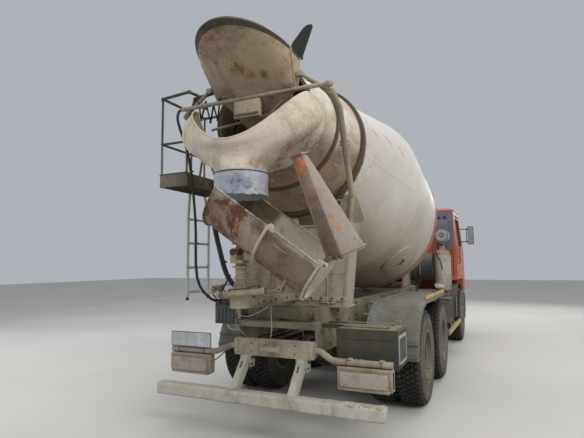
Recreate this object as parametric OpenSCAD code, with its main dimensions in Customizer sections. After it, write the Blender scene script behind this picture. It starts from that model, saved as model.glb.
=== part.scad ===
/* [Running gear] */
// Radius of a tyre
tyre_r = 540; // [500:5:560]
// Width of a rear twin tyre
tyre_w = 290; // [260:5:295]
// Width of a front tyre
front_tyre_w = 315; // [295:5:320]
// Radius of a wheel rim
rim_r = 286; // [250:1:300]
// Outer face of the rear twin wheels, from the centre line
twin_face_x = 1250; // [1230:5:1255]
// Outer face of the front wheels, from the centre line
front_face_x = 1200; // [1180:5:1210]
// Rear axle, ahead of the tail of the frame
axle_rear_y = 1490; // [1450:10:1520]
// Middle axle, ahead of the tail of the frame
axle_mid_y = 2890; // [2850:10:2920]
// Front axle, ahead of the tail of the frame
axle_front_y = 6430; // [6400:10:6440]
// Kingpin, from the centre line
kingpin_x = 790; // [780:5:795]

/* [Frame] */
// Half of the frame's outer width
rail_x = 432.5; // [425:2.5:440]
// Underside of the side rails
rail_low = 750; // [745:5:760]
// Top of the side rails
rail_top = 1050; // [1040:5:1060]
// Top of the subframe
sub_top = 1180; // [1160:5:1190]

/* [Drum] */
// Slope of the drum's axis
drum_tilt = 11.7; // [11.5:0.1:12]
// Roller ring's centre, ahead of the tail of the frame
ring_y = 618; // [600:1:630]
// Roller ring's centre height
ring_z = 2941; // [2930:1:2950]
// Roller ring's outer radius
ring_r = 803; // [800:1:806]
// Radius of the drum's widest part
drum_r = 1154; // [1140:1:1156]
// Radius of the drum's mouth
mouth_r = 500; // [490:1:510]
// Thickness of the drum's wall
drum_t = 6; // [4:1:8]
// Radius of a support roller
roller_r = 130; // [120:1:135]
// Angle of a roller from straight below the drum's axis
roller_a = 37.9; // [36:0.1:40]

/* [Chute] */
// Swing axis, behind the tail of the frame
swing_y = -660; // [-670:5:-650]
// Direction of the stowed chute, forward of straight to the right
chute_az = 10.3; // [8:0.1:12]
// Slope of the chute
chute_slope = 36.7; // [36:0.1:37.5]
// Twist of the worn chute about its own length
chute_roll = 11; // [8:0.5:12]
// Half width of the chute
chute_w = 290; // [285:1:295]
// Depth of the chute
chute_d = 400; // [390:5:400]
// Fold of the extension chute back over the main chute
fold = 146; // [144:0.5:149]

/* [Cab] */
// Half width of the cab
cab_x = 1160; // [1150:5:1165]
// Thickness of the cab's walls and doors
cab_t = 50; // [40:5:55]
// Gap round a door
door_gap = 8; // [6:1:10]
// Half width over the mirrors
mirror_x = 1420; // [1400:5:1430]

/* [Hidden] */
$fn = 64;
y_mid = 3360;            // middle of the overall length
steel = "#b9b0a0"; beige = "#c9bfae"; dark = "#3a3835"; orange = "#c8501e"; rubber = "#2b2a29"; grey = "#7d7a72";

// Everything below is laid out with x to the truck's right, y forward from the tail of the frame and z up.
module place() translate([0, y_mid, 0]) rotate([0, 0, 180]) children();
module box3(a, b) translate(a) cube([b[0] - a[0], b[1] - a[1], b[2] - a[2]]);
module rod(a, b, r) { d = b - a; l = norm(d);
  translate(a) rotate([0, acos(d[2] / l), atan2(d[1], d[0])]) cylinder(h = l, r = r, $fn = 32); }
module chain(p, r) { for (i = [0:len(p) - 2]) rod(p[i], p[i + 1], r); for (i = [1:len(p) - 2]) translate(p[i]) sphere(r = r * 1.05, $fn = 32); }
module xcyl(x0, x1, y, z, r) translate([x0, y, z]) rotate([0, 90, 0]) cylinder(h = x1 - x0, r = r);
module ycyl(y0, y1, x, z, r) translate([x, y0, z]) rotate([-90, 0, 0]) cylinder(h = y1 - y0, r = r);
module prism_x(p, x0, x1) translate([x0, 0, 0]) rotate([90, 0, 90]) linear_extrude(x1 - x0) polygon(p);   // p in (y, z)
module prism_y(p, y0, y1) translate([0, y1, 0]) rotate([90, 0, 0]) linear_extrude(y1 - y0) polygon(p);    // p in (x, z)

// A closed wall through rings of points, the last ring joined to the first.
module wall(rings) { n = len(rings[0]); m = len(rings);
  polyhedron([for (q = rings) for (p = q) p],
    [for (i = [0:m - 1]) for (j = [0:n - 1]) for (k = [0, 1]) let (a = i * n + j, b = i * n + (j + 1) % n, c = ((i + 1) % m) * n + j, d = ((i + 1) % m) * n + (j + 1) % n)
      k == 0 ? [a, c, d] : [a, d, b]]); }
// A closed body through rings of points, with both ends capped.
module loft(rings) { n = len(rings[0]); m = len(rings);
  polyhedron([for (q = rings) for (p = q) p],
    concat([[for (j = [0:n - 1]) j]], [[for (j = [n - 1:-1:0]) (m - 1) * n + j]],
      [for (i = [0:m - 2]) for (j = [0:n - 1]) for (k = [0, 1]) let (a = i * n + j, b = i * n + (j + 1) % n, c = (i + 1) * n + j, d = (i + 1) * n + (j + 1) % n)
        k == 0 ? [a, c, d] : [a, d, b]])); }

// Smooth route through hand-picked points, and a hose along it.
function cr(p, i, t) = let (a = p[max(i - 1, 0)], b = p[i], c = p[i + 1], d = p[min(i + 2, len(p) - 1)])
  0.5 * (2 * b + (c - a) * t + (2 * a - 5 * b + 4 * c - d) * t * t + (3 * b - a - 3 * c + d) * t * t * t);
function route(p, k) = concat([for (i = [0:len(p) - 2]) for (j = [0:k - 1]) cr(p, i, j / k)], [p[len(p) - 1]]);
function unit(v) = v / norm(v);
module hose(p, r) { q = route(p, 4); m = len(q);
  loft([for (i = [0:m - 1]) let (t = unit(q[min(i + 1, m - 1)] - q[max(i - 1, 0)]), u = unit(cross(t, [0.31, 0.94, 0.12])), v = cross(t, u))
    [for (j = [0:7]) q[i] + r * (cos(j * 45) * u + sin(j * 45) * v)]]); }

// ---- frame ----
module chassis_frame() place() color(steel) {
  c = [[0, rail_low], [0, rail_top], [-80, rail_top], [-80, rail_top - 9], [-9, rail_top - 9], [-9, rail_low + 9], [-80, rail_low + 9], [-80, rail_low]];
  for (s = [-1, 1]) prism_y([for (p = c) [s * (rail_x + p[0]), p[1]]], 20, 7350);
  for (y = [950, 2190, 3500, 4600, 5450]) xcyl(-rail_x + 5, rail_x - 5, y, 900, 60);
  box3([-rail_x + 5, 30, 990], [rail_x - 5, 130, 1045]);
  box3([-rail_x + 5, 7250, 800], [rail_x - 5, 7350, 1000]);
  // subframe
  for (s = [0, 1]) mirror([s, 0, 0]) box3([rail_x - 90, 200, rail_top], [rail_x, 5350, sub_top]);
  for (y = [300, 1700, 3100, 4300, 5200]) box3([-rail_x + 85, y, rail_top + 10], [rail_x - 85, y + 90, sub_top - 10]);
}
module rear_crossmember() place() color(beige) difference() {
  union() {
    difference() { box3([-rail_x, -60, 720], [rail_x, 19.5, 880]); box3([-rail_x + 12, -48, 732], [rail_x - 12, 30, 868]); }
    box3([-90, -150, 785], [90, -59, 825]);
  }
  translate([0, -110, 780]) cylinder(h = 50, r = 20);
  for (x = [-240, 240], z = [760, 840]) ycyl(-70, -40, x, z, 9);
}
module underride_guard() place() color(beige) {
  for (s = [-1, 1]) translate([s * 310, -20, 712]) rotate([-40.6, 0, 0]) translate([-35, -45, -395]) cube([70, 90, 370]);
  for (s = [-1, 1]) box3([s * 310 - 60, -60, 640], [s * 310 + 60, 30, 719.5]);
  difference() {
    union() { box3([-1180, -365, 345], [1180, -245, 415]); box3([-1180, -340, 320], [1180, -270, 440]);
      for (y = [-340, -270], z = [345, 415]) xcyl(-1180, 1180, y, z, 25); }
    box3([-1160, -345, 335], [-400, -265, 425]); }
}
module lamp_carriers() place() color(beige) for (s = [0, 1]) mirror([s, 0, 0])
{
  p = [[433.5, -25, 800], [495, -25, 800], [650, -90, 735], [1200, -90, 735]];
  for (i = [0:2]) rod(p[i], p[i + 1], 30);
  for (i = [1, 2]) translate(p[i]) rotate([0, 90, 0]) sphere(r = 31.5, $fn = 32);
  // blank plate's holder, on the left only
  if (s == 1) difference() { union() { box3([680, -135, 770], [1190, -127, 925]); box3([800, -128, 772], [1100, -80, 790]); for (x = [850, 1020]) box3([x, -100, 750], [x + 30, -80, 775]); }
    for (x = [785, 1085]) ycyl(-140, -120, x, 845, 4); } }
module tail_lamps() place() color("#d8cfc2") for (s = [0, 1]) mirror([s, 0, 0]) difference() {
  box3([690, -130, 495], [1200, -40, 700]);
  box3([715, -131, 520], [1175, -118, 660]); }
module rear_mudguards() place() color("#8d8c86") for (s = [0, 1]) mirror([s, 0, 0]) {
  // arc over the rear wheel, flat top, arc ahead of the middle wheel
  translate([640, axle_rear_y, tyre_r]) rotate([90, 0, 90]) rotate_extrude_arc(650, 644, 610, 90, 175);
  box3([640, axle_rear_y, tyre_r + 644], [1250, axle_mid_y + 260, tyre_r + 650]);
  box3([640, axle_mid_y + 254, tyre_r + 590], [1250, axle_mid_y + 260, tyre_r + 645]);
  box3([1244, axle_rear_y, tyre_r + 600], [1250, axle_mid_y + 260, tyre_r + 645]);
  for (y = [axle_rear_y + 200, axle_mid_y - 350, axle_mid_y + 170]) box3([rail_x, y, 1090], [1200, y + 40, tyre_r + 644]);
}
module rotate_extrude_arc(r1, r0, h, a0, a1) linear_extrude(h) difference() { intersection() { circle(r = r1, $fn = 128);
    polygon(concat([[0, 0]], [for (i = [0:8]) let (a = a0 + (a1 - a0) * i / 8) 2 * r1 * [cos(a), sin(a)]])); } circle(r = r0, $fn = 128); }
module toolbox() place() color("#76786c") { difference() { box3([630, 50, 665], [1204, 450, 1015]); box3([636, 56, 671], [1210, 444, 1009]); }
  box3([rail_x, 150, 1000], [640, 190, 1040]); box3([rail_x, 350, 1000], [640, 390, 1040]); }
module toolbox_lid() place() color("#76786c") { box3([1205, 52, 667], [1213, 448, 1006]); ycyl(52, 448, 1214, 1008, 7); }
module leaf_springs() place() color(dark) for (s = [0, 1]) mirror([s, 0, 0]) {
  for (i = [0:5]) translate([450, 2190, 636 + i * 15]) translate([0, -(670 - i * 90), 0]) cube([90, 2 * (670 - i * 90), 15]);
  box3([445, 2090, 726], [545, 2290, 749.5]);
  for (i = [0:3]) box3([350, axle_front_y - 700 + i * 130, 667.5 - i * 15], [430, axle_front_y + 700 - i * 130, 682.5 - i * 15]);
  for (y = [-690, 640]) box3([350, axle_front_y + y, 682.5], [430, axle_front_y + y + 50, 749.5]);
}
module front_axle() place() color(dark) difference() {
  union() {
    box3([-520, axle_front_y - 50, 425], [520, axle_front_y + 50, 530]);
    for (s = [-1, 1]) prism_y([for (p = [[500, 425], [700, 470], [760, 470], [760, 610], [700, 610], [500, 530]]) [s * p[0], p[1]]], axle_front_y - 50, axle_front_y + 50);
    for (s = [-1, 1]) translate([s * kingpin_x, axle_front_y, 470]) cylinder(h = 140, r = 50);
    for (s = [-1, 1]) box3([s * 390 - 40, axle_front_y - 60, 525], [s * 390 + 40, axle_front_y + 60, 622.5]);
  }
  for (s = [-1, 1]) translate([s * kingpin_x, axle_front_y, 460]) cylinder(h = 160, r = 20.05);
}
module knuckle(s) place() color(dark) difference() { union() {
    translate([s * kingpin_x, axle_front_y, 420]) cylinder(h = 240, r = 20);
    for (z = [[415, 462], [618, 665]]) { translate([s * kingpin_x, axle_front_y, z[0]]) cylinder(h = z[1] - z[0], r = 50);
      box3([s > 0 ? kingpin_x : -kingpin_x - 80, axle_front_y - 45, z[0]], [s > 0 ? kingpin_x + 80 : -kingpin_x, axle_front_y + 45, z[1]]); }
    box3([s > 0 ? kingpin_x + 58 : -kingpin_x - 85, axle_front_y - 60, 415], [s > 0 ? kingpin_x + 85 : -kingpin_x - 58, axle_front_y + 60, 665]);
    xcyl(s > 0 ? kingpin_x + 80 : -1120, s > 0 ? 1120 : -kingpin_x - 80, axle_front_y, tyre_r, 45);
  } }
module knuckle_left() knuckle(-1);
module knuckle_right() knuckle(1);
module rear_axles() place() color(dark) for (y = [axle_rear_y, axle_mid_y]) {
  xcyl(-600, 600, y, tyre_r, 75); xcyl(-988, 988, y, tyre_r, 50);
  translate([0, y, tyre_r]) rotate([-90, 0, 0]) rotate_extrude($fn = 64) polygon([[0, -170], [110, -170], [192, -80], [192, 80], [120, 170], [0, 170]]);
  ycyl(y > 2000 ? y - 260 : y, y + 280, 0, tyre_r + 20, 80);
  for (s = [-1, 1]) box3([s * 495 - 60, y - 70, 600], [s * 495 + 60, y + 70, 635.5]); }

// ---- drive and tanks ----
module engine() place() color(grey) box3([-330, 5750, 700], [330, 6900, 1255]);
module fuel_tank() place() color(grey) {
  translate([-860, 3640, 800]) rotate([-90, 0, 0]) linear_extrude(1250) union() { square([640, 420], center = true); square([560, 500], center = true); for (a = [-1, 1], b = [-1, 1]) translate([a * 280, b * 210]) circle(r = 40); }
  for (y = [3900, 4550]) box3([-545, y, 700], [-rail_x, y + 60, 1000]); }
module air_tanks() place() color(grey) {
  for (z = [640, 920]) ycyl(3650, 4550, 700, z, 125);
  box3([600, 4600, 560], [1150, 5150, 960]);
  for (y = [3800, 4300]) box3([rail_x, y, 720], [560, y + 60, 1000]);
  for (y = [3800, 4300]) box3([550, y, 740], [600, y + 60, 820]);
  box3([rail_x, 4800, 800], [605, 4900, 900]); }
module exhaust_silencer() place() color(beige) {
  translate([950, 5480, 1100]) cylinder(h = 730, r = 140); translate([950, 5480, 1829]) cylinder(h = 620, r = 55);
  box3([452, 5440, 1000], [1040, 5520, 1101]); box3([rail_x + 0.5, 5440, 1000], [453, 5520, 1045]);
  ycyl(5300, 5641, 965, 2160, 130);
  box3([820, 5640, 1900], [1160, 5652, 2620]); box3([820, 5480, 1850], [840, 5652, 1900]); box3([820, 5560, 1020], [860, 5652, 1900]); box3([600, 5600, 1000], [900, 5652, 1050]);
}
module water_tank() place() color("#dcdad2") { xcyl(-780, 780, 5480, 1560, 270);
  for (x = [-400, 360]) box3([x, 5400, sub_top], [x + 40, 5560, 1320]); for (s = [-1, 1]) box3([s * 420 - 30, 5352, 1050], [s * 420 + 30, 5600, sub_top + 1]);
  xcyl(-1000, -779, 5480, 1700, 60); }
module front_pedestal() place() color(beige) {
  for (s = [0, 1]) mirror([s, 0, 0]) { prism_x([[4500, sub_top], [5150, sub_top], [5050, 1900], [4800, 1900]], 330, 350);
    box3([330, 4500, sub_top], [rail_x, 5150, sub_top + 20]); }
  box3([-350, 4790, 1500], [350, 4810, 1795]); box3([-350, 5040, 1500], [350, 5060, 1840]);
}
module drum_axis() translate([0, ring_y, ring_z]) rotate([-(90 + drum_tilt), 0, 0]) children();
module drum_gearbox() place() color(grey) { drum_axis() { translate([0, 0, 4075]) cylinder(h = 380, r = 260); translate([0, 0, 4450]) cylinder(h = 260, r = 150); }
  box3([-329.5, 4700, 1850], [329.5, 5000, 1950]);
  for (s = [-1, 1]) box3([s * 300 - 29, 4815, 1700], [s * 300 + 29, 5000, 1900]); }

// ---- rear pedestal with the rollers ----
module at_roller(s) drum_axis() translate([s * (ring_r + roller_r + 0.3) * sin(roller_a), (ring_r + roller_r + 0.3) * cos(roller_a), 0]) children();
module rear_pedestal() place() color(beige) difference() { union() {
    prism_y([[-610, sub_top], [610, sub_top], [700, 2040], [-700, 2040]], 400, 410);
    prism_y([[-610, sub_top], [610, sub_top], [700, 2040], [-700, 2040]], 640, 650);
    for (s = [0, 1]) mirror([s, 0, 0]) prism_y([[600, sub_top], [610, sub_top], [700, 2040], [690, 2040]], 400, 650);
    box3([-700, 380, 2030], [700, 670, 2045]); box3([-640, 380, sub_top], [640, 670, sub_top + 15]);
    for (s = [-1, 1]) at_roller(s) for (z = [-100, 80]) translate([-70, -60, z]) cube([140, 235, 20]);
    for (s = [-1, 1]) box3([s * 573 - 110, 350, 2043], [s * 573 + 110, 640, 2060]);
    // arm that carries the chute
    box3([-60, -740, 1250], [60, 401, 1318]); prism_x([[401, sub_top + 10], [401, 1251], [-300, 1251]], -10, 10);
    translate([0, swing_y, 1250]) cylinder(h = 94.7, r = 95); translate([0, swing_y, 1300]) cylinder(h = 130, r = 35);
  }
  for (s = [-1, 1]) at_roller(s) translate([0, 0, -120]) cylinder(h = 240, r = 30.05);
}
module roller(s) place() color(grey) at_roller(s) { translate([0, 0, -60]) cylinder(h = 120, r = roller_r); translate([0, 0, -105]) cylinder(h = 210, r = 30); }
module roller_left() roller(-1);
module roller_right() roller(1);
module hopper_frame() place() color(beige) {
  for (s = [0, 1]) mirror([s, 0, 0]) { chain([[690, 325, 1900], [740, 295, 2300], [800, -230, 3080], [800, -440, 3165]], 30);
    box3([640, 340, 1860], [720, 399.5, 1960]);
    rod([800, -440, 3165], [500, -440, 3380], 20); }
  xcyl(-800, 800, -500, 3212, 20); translate([805, -500, 3212]) sphere(r = 36); }

// ---- hopper, funnel, sleeve ----
// columns: half width, sideways centre y, side z, rear reach, rear rise, front reach, front rise
hopper_rows = [[486, -420, 3534, 680, 170, 180, 80], [440, -370, 3270, 130, 20, 110, 240]];
function row_ring(r, t) = [for (i = [0:35]) let (a = i * 10, k = r[0] - t, s = sin(a))
  [k * cos(a), r[1] - (s > 0 ? (r[3] - t) * s : -(-(r[5] - t) * s)), r[2] + (s > 0 ? r[4] * s : -r[6] * s)]];
// columns: place along the drum's axis, half width, half height, rise above the axis
spout_rows = [[-935, 320, 240, 130], [-700, 300, 220, 60]];
function axis_point(s, x, v) = [x, ring_y + s * cos(drum_tilt) + v * sin(drum_tilt), ring_z - s * sin(drum_tilt) + v * cos(drum_tilt)];
function spout_ring(r, t) = [for (i = [0:35]) let (a = i * 10) axis_point(r[0], (r[1] - t) * cos(a), r[3] - (r[2] - t) * sin(a))];
module charging_hopper() place() color(beige)
  wall(concat([for (r = hopper_rows) row_ring(r, 0)], [for (r = spout_rows) spout_ring(r, 0)],
    [for (i = [1:-1:0]) spout_ring(spout_rows[i], 5)], [for (i = [1:-1:0]) row_ring(hopper_rows[i], 5)]));
module splash_flap() place() color(rubber)
  prism_y([[-420, 3620], [420, 3620], [438, 3660], [543, 3930], [530, 3960], [480, 3960], [440, 3940], [326, 3820], [250, 3700], [-420, 3700]], -226, -216);
// columns: half width, centre y, side z, rear reach, rear drop, front reach, front drop, sharpness of the dip
funnel_rows = [[620, -480, 3160, 420, 440, 190, 610, 2], [735, -485, 3020, 410, 340, 180, 500, 1.7], [700, -500, 2840, 370, 210, 150, 340, 1.2], [365, -620, 2560, 255, 0, 180, 20, 1],
  [240, swing_y, 2470, 240, 0, 240, 0, 1], [240, swing_y, 2330, 240, 0, 240, 0, 1]];
function funnel_ring(r, t) = [for (i = [0:35]) let (a = i * 10, s = sin(a))
  [(r[0] - t) * cos(a), r[1] - (s > 0 ? (r[3] - t) * s : (r[5] - t) * s), r[2] - (s > 0 ? r[4] * pow(s, r[7]) : -r[6] * s)]];
module discharge_funnel() place() color(beige)
  wall(concat([for (r = funnel_rows) funnel_ring(r, 0)], [for (i = [5:-1:0]) funnel_ring(funnel_rows[i], 5)]));
module outlet_sleeve() place() color("#6f7a8c") translate([0, swing_y, 2215]) difference() { cylinder(h = 240, r = 250); translate([0, 0, -1]) cylinder(h = 242, r = 241); }

// ---- platform, ladder, controls ----
module platform() place() color(grey) { difference() { box3([-1205, -350, 2460], [-840, 450, 2590]); box3([-1199, -344, 2450], [-846, 444, 2584]); }
  rod([-842, 150, 2520], [-790, 150, 2520], 18); rod([-870, -100, 2586], [-829, -88, 2850], 12);
  chain([[-860, 430, 3440], [-1190, 430, 3440], [-1190, -340, 3440], [-800, -390, 3440], [-780, -180, 3440]], 16);
  chain([[-860, 430, 2930], [-1190, 430, 2930], [-1190, -340, 2930], [-860, -340, 2930]], 13);
  for (p = [[-1190, 430, 3440], [-1190, -340, 3440], [-1190, 170, 3440], [-860, 430, 3440], [-860, -340, 2930]]) rod([p[0], p[1], 2588], p, 12); }
module ladder() place() color("#d9d5ca") { for (y = [140, 545]) chain([[-1180, y > 300 ? 430 : y, 2455], [-1200, y, 2200], [-1200, y, 1230]], 16);
  for (i = [0:3]) rod([-1200, 140, 1320 + i * 280], [-1200, 545, 1320 + i * 280], 14);
  rod([-1200, 340, 1320], [-660, 430, 1320], 16); }
module control_box() place() color("#5f6c7c") { box3([-760, 60, 1000], [-470, 300, 1240]); box3([-720, 90, 1240], [-500, 120, 1340]);
  for (i = [0:2]) rod([-690 + i * 80, 60, 1200], [-720 + i * 80, -60, 1330], 9); box3([-471, 150, 1100], [-rail_x, 250, 1170]); }
// points of each hose, round numbers
hose_a = [[-811, -500, 3212], [-848, -500, 3185], [-862, -480, 3080], [-820, -350, 2720], [-770, -300, 2100], [-740, -300, 1500], [-700, -100, 1270], [-640, 40, 1260]];
hose_b = [[-690, 40, 2450], [-680, -110, 2300], [-640, -160, 2100], [-560, -170, 1800], [-470, -140, 1500], [-440, 100, 1330], [-440, 250, 1300]];
module hoses() place() color(rubber) { hose(hose_a, 14); hose(hose_b, 26); }

// ---- rotating drum ----
module drum_shell() place() color("#d3cfc8") drum_axis() rotate_extrude($fn = 96) polygon([
  [mouth_r, -900], [760, -51], [760, 51], [drum_r, 1374], [drum_r, 2850], [600, 4000], [200, 4040], [200, 4068], [0, 4068], [0, 4034],
  [200, 4034], [596, 3994], [drum_r - drum_t, 2848], [drum_r - drum_t, 1375], [760 - drum_t, 51], [760 - drum_t, -50], [620, -448], [mouth_r - drum_t, -900]]);
module roller_ring() place() color("#4a3c34") drum_axis() difference() { translate([0, 0, -50]) cylinder(h = 100, r = ring_r, $fn = 128); translate([0, 0, -51]) cylinder(h = 102, r = 760, $fn = 128); }

// ---- chute; its own frame has x along the stowed direction and z up, from the swing axis ----
lift_p = [-40, 1740]; eye_p = [400, 1420]; base_p = [-110, 1365]; jack_y = -130; hinge_s = 990;
module at_column() place() translate([0, swing_y, 0]) rotate([0, 0, chute_az]) children();
module at_chute() at_column() translate([40, -17, 2237]) rotate([0, chute_slope, 0]) rotate([chute_roll, 0, 0]) children();
function trough(w, d) = concat([[-w, 0]], [for (i = [0:16]) let (a = 180 + i * 11.25) [w * cos(a), -(d - w) + w * sin(a)]], [[w, 0]]);
module u_section(w, d, t) difference() { union() { translate([0, -(d - w)]) circle(r = w, $fn = 96); translate([-w, -(d - w)]) square([2 * w, d - w]); }
  translate([0, -(d - w)]) circle(r = w - t, $fn = 96); translate([-w + t, -(d - w)]) square([2 * (w - t), d + 10]); translate([-w - 5, 0]) square([2 * w + 10, w + 50]); }
// section drawn with x across and y up, extruded along the chute
module along(s0, s1) translate([s0, 0, 0]) rotate([90, 0, 90]) linear_extrude(s1 - s0) children();
module pivot(p, y0, y1, r) translate([p[0], y0, p[1]]) rotate([-90, 0, 0]) cylinder(h = y1 - y0, r = r);
module chute_column() color(beige) at_column() difference() { union() {
    translate([0, 0, 1345]) cylinder(h = 15, r = 95); translate([0, 0, 1360]) cylinder(h = 90, r1 = 90, r2 = 52); translate([0, 0, 1440]) cylinder(h = 230, r = 50); translate([0, 0, 1600]) cylinder(h = 14, r = 75);
    for (s = [-1, 1]) { pivot(lift_p, s > 0 ? 70 : -90, s > 0 ? 90 : -70, 28); box3([-68, s > 0 ? 70 : -90, 1640], [-12, s > 0 ? 90 : -70, 1740]); }
    box3([-60, -90, 1640], [45, 90, 1669]);
    for (y = [jack_y - 52, jack_y + 37]) { pivot(base_p, y, y + 15, 26); box3([-160, y, 1345], [-100, y + 15, 1385]); }
    box3([-160, jack_y - 52, 1345.5], [-145, jack_y + 52, 1384]); box3([-120, jack_y + 37.5, 1346], [-30, jack_y + 51.5, 1384]);
  }
  translate([0, 0, 1340]) cylinder(h = 100, r = 35.05);
  pivot(lift_p, -100, 100, 20.05); pivot(base_p, jack_y - 60, jack_y + 60, 12.05); }
module u_solid(w, d) difference() { union() { translate([0, -(d - w)]) circle(r = w, $fn = 96); translate([-w, -(d - w)]) square([2 * w, d - w]); } translate([-w - 5, 0]) square([2 * w + 10, w + 50]); }
module main_chute() color(beige) {
  at_chute() {
    for (s = [-150, 420, 948]) along(s, s + 20) difference() { u_section(chute_w + 28, chute_d + 28, 31.5); translate([-400, -14]) square([800, 60]); }
    along(-156, -140) difference() { translate([0, -(chute_d - chute_w)]) circle(r = chute_w - 2.5, $fn = 96); translate([-400, -300]) square([800, 500]); }
    for (s = [-1, 1]) difference() { union() { translate([hinge_s, s > 0 ? 262 : -294, 14]) rotate([-90, 0, 0]) cylinder(h = 32, r = 28); translate([925, s > 0 ? 262 : -294, -60]) cube([47, 32, 88]); translate([930, s > 0 ? 262 : -294, -14]) cube([60, 32, 28]); }
      translate([hinge_s, s > 0 ? 250 : -305, 14]) rotate([-90, 0, 0]) cylinder(h = 55, r = 10.05); }
  }
  // trough and the brackets under it, hollowed together
  difference() {
    union() { at_chute() along(-158, 975) u_solid(chute_w, chute_d);
      at_column() { pivot(lift_p, -62, 62, 28); translate([lift_p[0], -55, lift_p[1]]) rotate([0, -53.3, 0]) translate([21, 0, -18]) cube([70, 110, 36]);
        translate([eye_p[0], jack_y - 40, eye_p[1]]) rotate([0, -53.3, 0]) for (y = [2, 67]) translate([14, y, -17]) cube([150, 11, 34]);
        for (y = [jack_y - 40, jack_y + 25]) pivot(eye_p, y, y + 15, 24); } }
    at_chute() along(-180, 1000) { translate([0, -(chute_d - chute_w)]) circle(r = chute_w - 5, $fn = 96); translate([-chute_w + 5, -(chute_d - chute_w)]) square([2 * (chute_w - 5), 200]); }
    at_column() { pivot(lift_p, -95, 95, 20); pivot(eye_p, jack_y - 42, jack_y + 42, 12); } } }
// tapered trough, its rim plane level and its axis rising towards the tip
module ext_cone(t) translate([-60, 0, -85]) rotate([0, 86, 0]) cylinder(h = 1110, r1 = 215 - t, r2 = 82 - t, $fn = 96);
module extension_chute() color(beige) at_chute() translate([hinge_s, 0, 14]) rotate([0, -fold, 0]) {
  difference() { intersection() { ext_cone(0); translate([16, -300, -420]) cube([929, 600, 406]); } ext_cone(5); }
  for (s = [-1, 1]) { translate([0, s > 0 ? 226 : -256, 0]) rotate([-90, 0, 0]) cylinder(h = 30, r = 24); translate([0, s > 0 ? 226 : -256, -24]) cube([24, 30, 48]);
    translate([14, s > 0 ? 197 : -256, -58]) cube([40, 59, 56]);
    translate([0, s > 0 ? 240 : -298, 0]) rotate([-90, 0, 0]) cylinder(h = 58, r = 10); } }
jack_a = atan2(eye_p[1] - base_p[1], eye_p[0] - base_p[0]);
jack_l = norm(eye_p - base_p);
module at_jack() at_column() translate([base_p[0], jack_y, base_p[1]]) rotate([0, -jack_a, 0]) children();
module jack_barrel() color(beige) at_jack() difference() { union() { rotate([90, 0, 0]) translate([0, 0, -30]) cylinder(h = 60, r = 26); rotate([0, 90, 0]) cylinder(h = 380, r = 27); translate([350, 0, 0]) rotate([0, 90, 0]) cylinder(h = 30, r = 32);
    rotate([90, 0, 0]) translate([0, 0, -50.5]) cylinder(h = 101, r = 12); }
  translate([30, 0, 0]) rotate([0, 90, 0]) cylinder(h = 400, r = 16.05); }
module jack_rod() color("#8e8a84") at_jack() difference() { union() { translate([120, 0, 0]) rotate([0, 90, 0]) cylinder(h = jack_l - 120 - 24, r = 16); translate([jack_l, 0, 0]) rotate([90, 0, 0]) translate([0, 0, -22]) cylinder(h = 44, r = 30);
    translate([jack_l - 40, -16, -16]) cube([20, 32, 32]); }
  translate([jack_l, 0, 0]) rotate([90, 0, 0]) translate([0, 0, -30]) cylinder(h = 60, r = 18); }

// ---- front end and cab ----
module front_mudguards() place() color(dark) for (s = [0, 1]) mirror([s, 0, 0]) {
  translate([880, axle_front_y, tyre_r]) rotate([90, 0, 90]) rotate_extrude_arc(694, 684, 275, 5, 170);
  box3([740, 7150, 360], [1150, 7560, 930]); box3([rail_x, 7160, 780], [741, 7330, 900]); box3([rail_x, 5560, 880], [900, 5620, 940]); box3([860, 5560, 600], [900, 5745, 940]);
  box3([880, 5735, 540], [1155, 5745, 700]); }
module front_bumper() place() color(dark) difference() {
  union() { box3([-1150, 7620, 450], [1150, 7820, 880]); box3([-rail_x, 7340, 600], [rail_x, 7621, 749.5]); for (s = [-1, 1]) box3([s * 400 - 30, 7351, 760], [s * 400 + 30, 7621, 860]); }
  box3([-120, 7700, 600], [120, 7830, 700]);
  translate([0, 7780, 440]) cylinder(h = 460, r = 20); }
// corner points of the cab's side and front outlines, drawn inwards by t
function cab_side(t) = [[6100 + t, 1275 + t], [7360 + t, 1275 + t], [7370 + t, 960 + t], [7740 - t, 960 + t], [7720 - t, 1700], [7640 - t, 1950], [7430 - t, 2780 - t], [7330 - t / 2, 2840 - t], [6200 + t / 2, 2800 - t], [6130 + t, 2700 - t / 2]];
function cab_front(t) = [[-cab_x + t, 900], [cab_x - t, 900], [cab_x - t, 1950], [1085 - t, 2780], [1000 - t, 2860 - t * 0.5], [-1000 + t, 2860 - t * 0.5], [-1085 + t, 2780], [-cab_x + t, 1950]];
module cab_solid(t) intersection() { prism_x(cab_side(t), -1300, 1300); prism_y(cab_front(t), 6000, 7900); }
door_p = [[6500, 1330], [7390, 1330], [7390, 2000], [7330, 2690], [6500, 2690]];
function door_in(g) = [[6500 + g + 4, 1330 + g], [7390 - g, 1330 + g], [7390 - g, 2000], [7330 - g, 2690 - g], [6500 + g + 4, 2690 - g]];
win_p = [[6590, 2010], [7300, 2010], [7250, 2600], [6590, 2600]];
screen_p = [[-1000, 2030], [1000, 2030], [940, 2690], [-940, 2690]];
module cab_shell() place() color(orange) difference() { cab_solid(0); cab_solid(cab_t);
  prism_x(door_p, -1300, 1300); prism_y(screen_p, 7300, 7900); prism_y([[-520, 2080], [520, 2080], [520, 2560], [-520, 2560]], 6000, 6400);
 }
module cab_glass() place() color([0.5, 0.6, 0.65, 0.4]) intersection() { difference() { cab_solid(20); cab_solid(26); }
  union() { prism_y(screen_p, 7300, 7900); prism_y([[-520, 2080], [520, 2080], [520, 2560], [-520, 2560]], 6000, 6400); } }
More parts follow.
